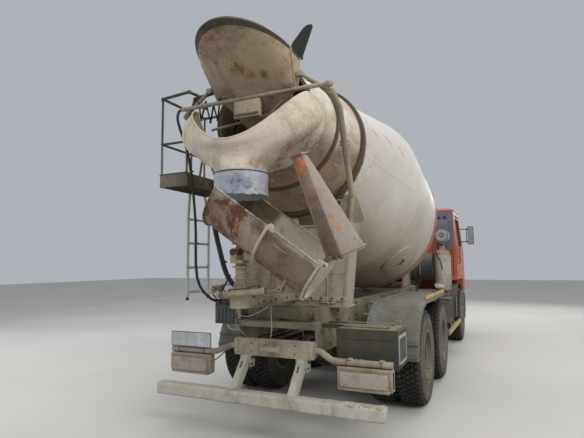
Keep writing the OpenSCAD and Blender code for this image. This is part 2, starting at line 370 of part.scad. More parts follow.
module cab_interior() place() color(dark) {
  for (x = [-620, 620]) { box3([x - 240, 6400, 1326], [x + 240, 6850, 1720]); box3([x - 240, 6280, 1720], [x + 240, 6420, 2350]); box3([x - 240, 6280, 1600], [x + 240, 6420, 1721]); }
  box3([-300, 6200, 1331], [300, 7300, 1560]);
  prism_x([[7300, 1380], [7620, 1380], [7600, 1900], [7400, 1960], [7300, 1800]], -1080, 1080);
  rod([-620, 7350, 1830], [-620, 7180, 1960], 30);
  translate([-620, 7180, 1960]) rotate([52, 0, 0]) { rotate_extrude($fn = 64) translate([220, 0]) circle(r = 16, $fn = 24); for (a = [0, 120, 240]) rotate([0, 90, a + 90]) cylinder(h = 215, r = 11, $fn = 24); } }
module mirrors() place() color(dark) for (s = [0, 1]) mirror([s, 0, 0]) { box3([1290, 7470, 2060], [mirror_x, 7530, 2480]); for (z = [2120, 2420]) rod([cab_x - (z - 1950) * 75 / 830 + 1.3, 7500, z], [1300, 7500, z], 12); }
module door(s) place() color(orange) difference() { intersection() { difference() { cab_solid(0); cab_solid(cab_t); } prism_x(door_in(door_gap), s > 0 ? 900 : -1300, s > 0 ? 1300 : -900); }
  prism_x(win_p, -1300, 1300); }
module door_glass(s) place() color([0.5, 0.6, 0.65, 0.4]) intersection() { difference() { cab_solid(20); cab_solid(26); } prism_x(win_p, s > 0 ? 900 : -1300, s > 0 ? 1300 : -900); }
module door_left() { door(-1); door_glass(-1); }
module door_right() { door(1); door_glass(1); }

// ---- wheels ----
// half section of a tyre: distance across, radius
function tyre_p(w) = [[0, rim_r], [w, rim_r], [w + 6, 360], [w + 4, 470], [w - 22, tyre_r - 14], [w - 45, tyre_r], [45, tyre_r], [22, tyre_r - 14], [-4, 470], [-6, 360]];
module spun(p, x, y) translate([x, y, tyre_r]) rotate([0, 90, 0]) rotate_extrude($fn = 96) polygon([for (q = p) [q[1], q[0]]]);
module tyre(x, w, y) color(rubber) spun(tyre_p(w), x, y);
module twin_tyres(y) { x1 = twin_face_x - 6; tyre(x1 - tyre_w, tyre_w, y); tyre(x1 - 2 * tyre_w - 40, tyre_w, y); }
module twin_rims(y) { x1 = twin_face_x - 6;
  color(grey) difference() { union() {
      for (x = [x1 - tyre_w, x1 - 2 * tyre_w - 40]) spun([[0, 262], [tyre_w, 262], [tyre_w, rim_r - 0.2], [0, rim_r - 0.2]], x, y);
      spun([[-60, 262.5], [-60, 90], [-34, 90], [-34, 250], [100, 250], [100, 262.5]], x1 - tyre_w, y);
      spun([[-260, 50.05], [-260, 130], [-40, 130], [60, 120], [60, 0], [40, 0], [40, 50.05]], x1 - tyre_w, y);
      spun([[-200, 205], [-90, 205], [-90, 125], [-110, 125], [-110, 190], [-200, 190]], x1 - tyre_w, y); }
    for (i = [0:9]) translate([x1 - tyre_w - 80, y, tyre_r]) rotate([i * 36 + 18, 0, 0]) translate([0, 0, 205]) rotate([0, 90, 0]) cylinder(h = 60, r = 24, $fn = 24); } }
module front_tyre(y) tyre(front_face_x - 6 - front_tyre_w, front_tyre_w, y);
module front_rim(y) { x0 = front_face_x - 6 - front_tyre_w; w = front_tyre_w;
  color(grey) difference() { union() {
      spun([[0, 262], [w, 262], [w, rim_r - 0.2], [0, rim_r - 0.2]], x0, y);
      spun([[w - 70, 262.5], [w - 70, 255], [w - 20, 130], [w - 20, 46], [w, 46], [w, 150], [w - 40, 262.5]], x0, y);
      spun([[w - 180, 45.05], [w - 180, 110], [w, 110], [w + 6, 60], [w + 6, 0], [w - 40, 0], [w - 40, 45.05]], x0, y);
      spun([[w - 240, 205], [w - 100, 205], [w - 100, 105], [w - 120, 105], [w - 120, 190], [w - 240, 190]], x0, y); }
    for (i = [0:9]) translate([x0 + w - 90, y, tyre_r]) rotate([i * 36, 0, 0]) translate([0, 0, 200]) rotate([0, 90, 0]) cylinder(h = 100, r = 22, $fn = 24); } }
module front_tyre_left() place() mirror([1, 0, 0]) front_tyre(axle_front_y);
module front_rim_left() place() mirror([1, 0, 0]) front_rim(axle_front_y);
module front_tyre_right() place() front_tyre(axle_front_y);
module front_rim_right() place() front_rim(axle_front_y);
module mid_tyres_left() place() mirror([1, 0, 0]) twin_tyres(axle_mid_y);
module mid_rims_left() place() mirror([1, 0, 0]) twin_rims(axle_mid_y);
module mid_tyres_right() place() twin_tyres(axle_mid_y);
module mid_rims_right() place() twin_rims(axle_mid_y);
module rear_tyres_left() place() mirror([1, 0, 0]) twin_tyres(axle_rear_y);
module rear_rims_left() place() mirror([1, 0, 0]) twin_rims(axle_rear_y);
module rear_tyres_right() place() twin_tyres(axle_rear_y);
module rear_rims_right() place() twin_rims(axle_rear_y);

chassis_frame();
rear_crossmember();
underride_guard();
lamp_carriers();
tail_lamps();
rear_mudguards();
toolbox();
toolbox_lid();
leaf_springs();
front_axle();
rear_axles();
engine();
fuel_tank();
air_tanks();
exhaust_silencer();
water_tank();
front_pedestal();
drum_gearbox();
rear_pedestal();
hopper_frame();
charging_hopper();
splash_flap();
discharge_funnel();
outlet_sleeve();
platform();
ladder();
control_box();
hoses();
front_mudguards();
front_bumper();
cab_shell();
cab_glass();
cab_interior();
mirrors();
door_left();
door_right();
knuckle_left();
knuckle_right();
drum_shell();
roller_ring();
roller_left();
roller_right();
chute_column();
main_chute();
extension_chute();
jack_barrel();
jack_rod();
front_tyre_left();
front_rim_left();
front_tyre_right();
front_rim_right();
mid_tyres_left();
mid_rims_left();
mid_tyres_right();
mid_rims_right();
rear_tyres_left();
rear_rims_left();
rear_tyres_right();
rear_rims_right();
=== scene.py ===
import bpy, bmesh, math, random
from mathutils import Vector, Matrix, noise as mnoise


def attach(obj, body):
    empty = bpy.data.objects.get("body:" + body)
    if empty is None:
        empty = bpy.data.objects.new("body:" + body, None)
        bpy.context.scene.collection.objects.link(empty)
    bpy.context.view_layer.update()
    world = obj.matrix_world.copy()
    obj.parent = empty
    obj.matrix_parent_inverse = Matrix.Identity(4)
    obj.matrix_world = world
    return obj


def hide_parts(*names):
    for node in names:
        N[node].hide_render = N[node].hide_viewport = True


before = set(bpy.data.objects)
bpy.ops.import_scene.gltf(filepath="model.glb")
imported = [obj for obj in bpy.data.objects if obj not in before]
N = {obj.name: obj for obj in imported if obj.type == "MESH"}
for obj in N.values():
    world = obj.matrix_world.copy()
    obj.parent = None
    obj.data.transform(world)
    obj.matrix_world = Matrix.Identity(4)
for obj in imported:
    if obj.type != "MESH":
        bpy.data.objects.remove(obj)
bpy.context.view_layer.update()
YM = 3.36
V = Vector
scene = bpy.context.scene


def M(x, y, z):
    """Layout metres (x to the truck's right, y forward from the frame's tail, z up) to the model's frame."""
    return V((-x, YM - y, z))


# ---------------------------------------------------------------- camera
cam = bpy.data.objects.new("camera", bpy.data.cameras.new("camera"))
scene.collection.objects.link(cam)
scene.camera = cam
cam.data.sensor_width = 36.0
cam.data.lens = 464.767 / 584 * 36
cam.data.clip_end = 200
_f = V((0.42035, -0.90219, 0.09678)).normalized()
_r = V((-0.90644, -0.42233, 0)).normalized()
_u = _r.cross(_f)
_a = math.radians(-0.5177)
_r2, _u2 = _r * math.cos(_a) + _u * math.sin(_a), _u * math.cos(_a) - _r * math.sin(_a)
_m = Matrix.Identity(4)
for _i in range(3):
    _m[_i][0], _m[_i][1], _m[_i][2] = _r2[_i], _u2[_i], -_f[_i]
_m.translation = V((-2.1668, 7.5885, 1.6281))
cam.matrix_world = _m


# ---------------------------------------------------------------- materials
def c(r, g, b):
    """Screen colour 0-255 to linear."""
    return tuple((v / 255 / 12.92) if v <= 10 else (((v / 255) + 0.055) / 1.055) ** 2.4 for v in (r, g, b))


class Graph:
    """A small helper round one material's nodes."""

    def __init__(s, name):
        s.m = bpy.data.materials.new(name)
        s.m.use_nodes = True
        s.t = s.m.node_tree
        s.n, s.l = s.t.nodes, s.t.links
        s.n.clear()
        out = s.n.new("ShaderNodeOutputMaterial")
        s.b = s.n.new("ShaderNodeBsdfPrincipled")
        s.l.new(s.b.outputs[0], out.inputs[0])
        co = s.n.new("ShaderNodeTexCoord")
        s.P, s.Nn = co.outputs["Object"], co.outputs["Normal"]

    def put(s, sock, v):
        if isinstance(v, bpy.types.NodeSocket):
            s.l.new(v, sock)
        elif isinstance(v, (tuple, list)) and len(v) == 3 and sock.type == "RGBA":
            sock.default_value = (*v, 1)
        else:
            sock.default_value = v

    def math(s, op, a, b=0.0, clamp=False):
        n = s.n.new("ShaderNodeMath")
        n.operation, n.use_clamp = op, clamp
        s.put(n.inputs[0], a)
        s.put(n.inputs[1], b)
        return n.outputs[0]

    def vmath(s, op, a, b=(0, 0, 0)):
        n = s.n.new("ShaderNodeVectorMath")
        n.operation = op
        s.put(n.inputs[0], a)
        s.put(n.inputs[1], b)
        return n.outputs["Value"] if op in ("DOT_PRODUCT", "LENGTH", "DISTANCE") else n.outputs["Vector"]

    def scaled(s, k, off=(0, 0, 0), vec=None):
        n = s.n.new("ShaderNodeMapping")
        s.put(n.inputs["Vector"], s.P if vec is None else vec)
        n.inputs["Scale"].default_value = k
        n.inputs["Location"].default_value = off
        return n.outputs[0]

    def noise(s, scale, detail=5, rough=0.6, dist=0.0, vec=None):
        n = s.n.new("ShaderNodeTexNoise")
        s.put(n.inputs["Vector"], s.P if vec is None else vec)
        n.inputs["Scale"].default_value = scale
        n.inputs["Detail"].default_value = detail
        n.inputs["Roughness"].default_value = rough
        n.inputs["Distortion"].default_value = dist
        return n.outputs["Fac"]

    def vor(s, scale, vec=None, feature="F1"):
        n = s.n.new("ShaderNodeTexVoronoi")
        n.feature = feature
        s.put(n.inputs["Vector"], s.P if vec is None else vec)
        n.inputs["Scale"].default_value = scale
        return n.outputs["Distance"]

    def step(s, x, lo, hi, a=0.0, b=1.0):
        n = s.n.new("ShaderNodeMapRange")
        n.interpolation_type = "SMOOTHSTEP"
        s.put(n.inputs["Value"], x)
        n.inputs["From Min"].default_value, n.inputs["From Max"].default_value = lo, hi
        n.inputs["To Min"].default_value, n.inputs["To Max"].default_value = a, b
        return n.outputs[0]

    def mix(s, f, a, b):
        n = s.n.new("ShaderNodeMix")
        n.data_type = "RGBA"
        s.put(n.inputs["Factor"], f)
        s.put(n.inputs[6], a)
        s.put(n.inputs[7], b)
        return n.outputs[2]

    def bump(s, h, strength=0.3, dist=0.01):
        n = s.n.new("ShaderNodeBump")
        n.inputs["Strength"].default_value = strength
        n.inputs["Distance"].default_value = dist
        s.put(n.inputs["Height"], h)
        s.l.new(n.outputs[0], s.b.inputs["Normal"])

    def xyz(s, vec=None):
        n = s.n.new("ShaderNodeSeparateXYZ")
        s.put(n.inputs[0], s.P if vec is None else vec)
        return n.outputs


DUST = c(176, 164, 142)
RUST1, RUST2 = c(92, 50, 26), c(168, 92, 40)


def worn(name, base, dust=0.45, rust=0.2, specks=0.4, streak=0.35, splat=0.15, rough=0.62, metal=0.0, var=0.5,
         dustcol=DUST, dark=0.6, seed=0.0, bump=0.35, up=0.5, fine=1.0, col=None, rustcol=(RUST1, RUST2), g=None, finish=True, below=0.0, coat=0.0, patches=(), grime=0.35, grimecol=c(112, 94, 72), grain=0.35):
    """Weathered paint: tonal drift, runs, dust on upward faces, rust with stained edges, grime patches plus painted
    shade on downward-facing faces, specks and dried concrete.
    """
    g = g or Graph(name)
    P = g.scaled((1, 1, 1), (seed * 7.31, seed * 3.17, seed * 5.71))
    nz = g.xyz(g.Nn)[2]
    n1 = g.noise(1.3, 6, 0.62, 0.4, P)
    n2 = g.noise(7.0, 8, 0.7, 0.2, P)
    base = col if col is not None else base
    shade = g.mix(g.math("MULTIPLY", g.step(n1, 0.38, 0.66), var), base, g.mix(0.5, base, dustcol))
    if isinstance(base, tuple):
        darkc = tuple(v * dark for v in base)
    else:
        darkc = g.mix(1 - dark, base, c(40, 34, 28))
    run = g.noise(1.0, 7, 0.62, 0.15, g.scaled((13, 13, 0.75), (seed, seed * 2, 0)))
    side = g.math("SUBTRACT", 1.0, g.math("ABSOLUTE", nz))
    runs = g.math("MULTIPLY", g.math("MULTIPLY", g.step(run, 0.5, 0.74), side), streak, True)
    shade = g.mix(runs, shade, darkc)
    spot = g.step(n2, 0.42, 0.72)
    dusty = g.math("ADD", g.math("MULTIPLY", spot, dust), g.math("MULTIPLY", g.step(nz, 0.15, 0.9), up), True)
    if below:
        dusty = g.math("ADD", dusty, g.math("MULTIPLY", g.step(g.xyz()[2], below, 0.2), 0.5), True)
    shade = g.mix(dusty, shade, dustcol)
    n3 = g.noise(2.6, 10, 0.72, 0.5, g.scaled((1, 1, 0.8), (seed * 2.1 + 11, 4, seed)))
    t = 0.74 - 0.2 * rust
    halo = g.math("MULTIPLY", g.step(n3, t - 0.07, t + 0.03), 0.55)
    core = g.step(n3, t, t + 0.035)
    if rust > 0:
        shade = g.mix(halo, shade, g.mix(0.45, rustcol[1], dustcol))
        shade = g.mix(core, shade, g.mix(g.step(g.noise(23, 6, 0.7, 0, P), 0.4, 0.62), rustcol[0], rustcol[1]))
    if grime:
        gr = g.noise(1.9, 13, 0.78, 0.7, g.scaled((1, 1, 0.75), (seed * 1.3, 7, seed * 0.7)))
        # painted shade: downward-facing faces are darkened with the grime colour, on top of the dirt patches
        underside_painted_shade = g.step(nz, -0.25, -0.9, 0.0, 0.55)
        shade = g.mix(g.math("MULTIPLY", g.math("ADD", g.step(gr, 0.46, 0.63), underside_painted_shade, True), grime), shade, g.mix(g.step(g.noise(17, 7, 0.75, 0, P), 0.35, 0.65), grimecol, tuple(v * 0.5 for v in grimecol)))
    if grain:
        fg = g.noise(48 * fine, 9, 0.82, 0.0, P)
        shade = g.mix(g.math("MULTIPLY", g.step(fg, 0.5, 0.72), grain), shade, tuple(v * 0.42 for v in (grimecol if grime else c(90, 84, 76))))
        shade = g.mix(g.math("MULTIPLY", g.step(fg, 0.46, 0.3), grain * 0.5), shade, tuple(min(1.0, v * 1.35 + 0.03) for v in dustcol))
    # listed soft patches: position, radius, strength and colour of each
    for i, (px, py, pz, pr, ps, pc) in enumerate(patches):
        d = g.vmath("DISTANCE", g.P, tuple(M(px, py, pz)))
        ragged = g.math("MULTIPLY", g.math("SUBTRACT", g.noise(1.5 / max(pr, 0.05), 10, 0.8, 0.5, g.scaled((1, 1, 1), (i * 3.7, 5, i))), 0.5), pr * 3.6)
        inside = g.step(g.math("ADD", d, ragged), pr * 1.25, pr * 0.35)
        bite = g.step(g.noise(16, 11, 0.82, 0.4, g.scaled((1, 1, 1), (i, 2.0 * i, 7))), 0.42, 0.60, 0.25, 1.0)
        patch_col = g.mix(g.step(g.noise(26, 8, 0.8, 0, P), 0.38, 0.62), tuple(v * 0.55 for v in pc), tuple(min(1.0, v * 1.35) for v in pc))
        shade = g.mix(g.math("MULTIPLY", g.math("MULTIPLY", inside, bite), ps), shade, patch_col)
    if specks > 0:
        vd = g.vor(46 * fine, g.scaled((1, 1, 1), (seed, 3 + seed, 9)))
        gate = g.step(g.noise(4.1, 4, 0.6, 0, P), 0.5, 0.62)
        dots = g.math("MULTIPLY", g.math("MULTIPLY", g.step(vd, 0.24, 0.14), gate), specks)
        shade = g.mix(dots, shade, c(78, 58, 42))
    n4 = g.noise(11 * fine, 12, 0.78, 0.1, g.scaled((1, 1, 0.55), (5, seed * 3, 2)))
    lump = g.step(n4, 0.66 - 0.16 * splat, 0.7 - 0.16 * splat)
    if splat > 0:
        shade = g.mix(g.math("MULTIPLY", lump, 0.85), shade, g.mix(g.noise(40, 4, 0.6, 0, P), c(150, 142, 126), c(192, 184, 166)))
    g.put(g.b.inputs["Base Color"], shade)
    g.put(g.b.inputs["Roughness"], g.math("ADD", rough - 0.12, g.math("MULTIPLY", g.noise(5, 5, 0.6, 0, P), 0.36), True))
    g.b.inputs["Metallic"].default_value = metal
    if coat:
        g.b.inputs["Coat Weight"].default_value = coat
        g.b.inputs["Coat Roughness"].default_value = 0.25
    if finish:
        h = g.math("ADD", g.math("MULTIPLY", g.noise(60 * fine, 4, 0.6, 0, P), 0.25), g.math("MULTIPLY", n2, 0.3))
        if splat > 0:
            h = g.math("ADD", h, g.math("MULTIPLY", lump, 0.8))
        if rust > 0:
            h = g.math("ADD", h, g.math("MULTIPLY", g.math("MULTIPLY", core, g.noise(70, 4, 0.7, 0, P)), 0.6))
        g.bump(h, bump, 0.006)
    return g.m


def drum_material():
    g = Graph("drum_paint_worn")
    t = math.radians(11.7)
    ax = (0.0, -math.cos(t), -math.sin(t))
    origin = M(0, 0.618, 2.941)
    rel = g.vmath("SUBTRACT", g.P, tuple(origin))
    s_ = g.vmath("DOT_PRODUCT", rel, ax)
    up = (0.0, -math.sin(t), math.cos(t))
    xx = g.vmath("DOT_PRODUCT", rel, (-1, 0, 0))
    vv = g.vmath("DOT_PRODUCT", rel, up)
    wob = g.math("MULTIPLY", g.math("SUBTRACT", g.noise(2.2, 5, 0.6), 0.5), 0.12)
    s2 = g.math("ADD", s_, wob)
    white = g.mix(g.step(g.noise(0.9, 5, 0.6, 0.5), 0.35, 0.7), c(208, 202, 195), c(192, 184, 175))
    runs = g.noise(1.0, 6, 0.6, 0.1, g.scaled((3.4, 3.4, 3.4)))
    white = g.mix(g.math("MULTIPLY", g.step(runs, 0.5, 0.8), 0.35), white, c(166, 155, 140))
    red = g.mix(g.step(g.noise(3.5, 9, 0.75, 0.4), 0.36, 0.66), c(166, 66, 46), c(150, 96, 76))
    rear = g.mix(g.step(g.noise(2.6, 8, 0.72, 0.3), 0.36, 0.66), c(150, 126, 98), c(104, 82, 60))
    rear = g.mix(g.math("MULTIPLY", g.step(g.noise(13, 8, 0.75), 0.52, 0.66), 0.8), rear, c(98, 74, 52))
    pale = g.mix(g.step(g.noise(3.1, 8, 0.7, 0.3), 0.36, 0.68), c(212, 204, 192), c(178, 160, 136))
    pale = g.mix(g.math("MULTIPLY", g.step(g.noise(14, 9, 0.78), 0.54, 0.68), 0.6), pale, c(140, 114, 84))
    side = g.math("ADD", vv, g.math("MULTIPLY", g.math("SUBTRACT", g.noise(2.4, 7, 0.7, 0.2), 0.5), 0.7))
    rear = g.mix(g.step(side, -0.42, 0.12), rear, pale)
    col = g.mix(g.step(s2, 0.0, 0.12), rear, white)
    # thrown mud just ahead of the ring, dust beyond the first seam and low down
    near = g.math("MULTIPLY", g.step(s2, 0.55, 0.05), g.step(g.noise(9, 9, 0.78), 0.52, 0.64))
    col = g.mix(g.math("MULTIPLY", near, 0.55), col, c(150, 130, 104))
    col = g.mix(g.math("MULTIPLY", g.step(s_, 1.36, 1.5), g.step(g.noise(2.4, 8, 0.7), 0.38, 0.66, 0.12, 0.5)), col, c(180, 166, 146))
    col = g.mix(g.step(s_, 2.655, 2.665), col, red)
    col = g.mix(g.step(vv, -0.2, -1.0, 0.0, 0.55), col, c(152, 136, 112))
    # three short slanted faded strokes on the right flank: start, end, in metres along the axis and degrees round it
    ang = g.math("ARCTAN2", vv, xx)
    mask = None
    for s0, a0, s1, a1 in ((0.331, 23.4, 0.427, 17.7), (0.598, 24.1, 0.728, 17.8), (0.900, 20.5, 0.998, 14.1)):
        rr = 0.76 + ((s0 + s1) / 2 - 0.051) * 0.298
        du, dw = s1 - s0, math.radians(a1 - a0) * rr
        L = math.hypot(du, dw)
        u_ = g.math("SUBTRACT", s_, s0)
        w_ = g.math("MULTIPLY", g.math("SUBTRACT", ang, math.radians(a0)), rr)
        al = g.math("ADD", g.math("MULTIPLY", u_, du / L), g.math("MULTIPLY", w_, dw / L))
        pe = g.math("ABSOLUTE", g.math("SUBTRACT", g.math("MULTIPLY", u_, dw / L), g.math("MULTIPLY", w_, du / L)))
        m_ = g.math("MULTIPLY", g.step(pe, 0.018, 0.010), g.step(g.math("ABSOLUTE", g.math("SUBTRACT", al, L / 2)), L / 2 + 0.012, L / 2 - 0.006))
        mask = m_ if mask is None else g.math("MAXIMUM", mask, m_)
    mask = g.math("MULTIPLY", mask, g.step(s_, 1.3, 1.2))
    fade = g.math("MULTIPLY", mask, g.step(g.noise(22, 8, 0.75), 0.34, 0.6, 0.35, 0.9))
    col = g.mix(fade, col, c(178, 96, 86))
    # small specks, gathered in places
    vd = g.vor(30, g.scaled((1, 1, 1), (1, 2, 3)))
    gate = g.step(g.noise(2.1, 5, 0.6), 0.5, 0.6)
    col = g.mix(g.math("MULTIPLY", g.math("MULTIPLY", g.step(vd, 0.17, 0.09), gate), 0.6), col, c(94, 76, 62))
    lump = g.math("MULTIPLY", g.step(g.noise(15, 12, 0.8), 0.57, 0.6), g.step(s2, 0.3, -0.05))
    col = g.mix(g.math("MULTIPLY", lump, 0.7), col, c(186, 174, 150))
    g.put(g.b.inputs["Base Color"], col)
    g.put(g.b.inputs["Roughness"], g.step(g.noise(3, 5, 0.6), 0.3, 0.7, 0.42, 0.68))
    h = g.math("ADD", g.math("MULTIPLY", g.noise(30, 5, 0.6), 0.2), g.math("MULTIPLY", lump, 0.9))
    g.bump(h, 0.35, 0.006)
    return g.m


def tyre_material():
    g = Graph("tyre_dusty")
    n = g.noise(5, 8, 0.7, 0.2)
    col = g.mix(g.step(n, 0.35, 0.7), c(22, 22, 22), c(44, 42, 39))
    col = g.mix(g.math("MULTIPLY", g.step(g.noise(26, 6, 0.7), 0.5, 0.7), 0.35), col, c(110, 102, 88))
    side = g.step(g.math("ABSOLUTE", g.xyz(g.Nn)[0]), 0.75, 0.95)
    col = g.mix(g.math("MULTIPLY", side, g.step(g.noise(4, 8, 0.7), 0.3, 0.65, 0.25, 0.75)), col, c(118, 110, 96))
    g.put(g.b.inputs["Base Color"], col)
    g.put(g.b.inputs["Roughness"], g.step(n, 0.3, 0.7, 0.75, 0.95))
    g.bump(g.math("ADD", g.noise(90, 3, 0.6), g.noise(12, 6, 0.7)), 0.25, 0.004)
    return g.m


def rubber_material(name, a=(38, 37, 37), b=(70, 66, 60)):
    g = Graph(name)
    n = g.noise(6, 7, 0.7, 0.2)
    g.put(g.b.inputs["Base Color"], g.mix(g.step(n, 0.4, 0.75), c(*a), c(*b)))
    g.put(g.b.inputs["Roughness"], g.step(n, 0.3, 0.7, 0.55, 0.8))
    g.bump(g.noise(70, 4, 0.6), 0.25, 0.003)
    return g.m


def glass_material(name="window_glass_tinted"):
    g = Graph(name)
    n = g.noise(3, 7, 0.7)
    g.put(g.b.inputs["Base Color"], g.mix(g.step(n, 0.4, 0.7), c(120, 138, 140), c(150, 150, 140)))
    g.put(g.b.inputs["Roughness"], g.step(n, 0.45, 0.8, 0.04, 0.3))
    g.b.inputs["Transmission Weight"].default_value = 0.85
    g.b.inputs["IOR"].default_value = 1.45
    return g.m


def metal_material(name, a, b, rough=0.35, metal=0.9):
    g = Graph(name)
    n = g.noise(14, 7, 0.7, 0.2)
    g.put(g.b.inputs["Base Color"], g.mix(g.step(n, 0.42, 0.68), c(*a), c(*b)))
    g.put(g.b.inputs["Roughness"], g.step(n, 0.3, 0.7, rough, min(1.0, rough + 0.35)))
    g.b.inputs["Metallic"].default_value = metal
    g.bump(g.noise(80, 3, 0.6), 0.15, 0.002)
    return g.m


def lens_material():
    g = Graph("lamp_lens_dusty")
    n = g.noise(9, 8, 0.75, 0.3)
    col = g.mix(g.step(n, 0.46, 0.62), c(172, 164, 154), c(152, 140, 128))
    col = g.mix(g.math("MULTIPLY", g.step(g.noise(13, 6, 0.7), 0.6, 0.7), 0.75), col, c(168, 60, 52))
    g.put(g.b.inputs["Base Color"], col)
    g.put(g.b.inputs["Roughness"], g.step(n, 0.3, 0.7, 0.35, 0.7))
    g.b.inputs["Coat Weight"].default_value = 0.3
    g.bump(g.vor(120), 0.2, 0.002)
    return g.m


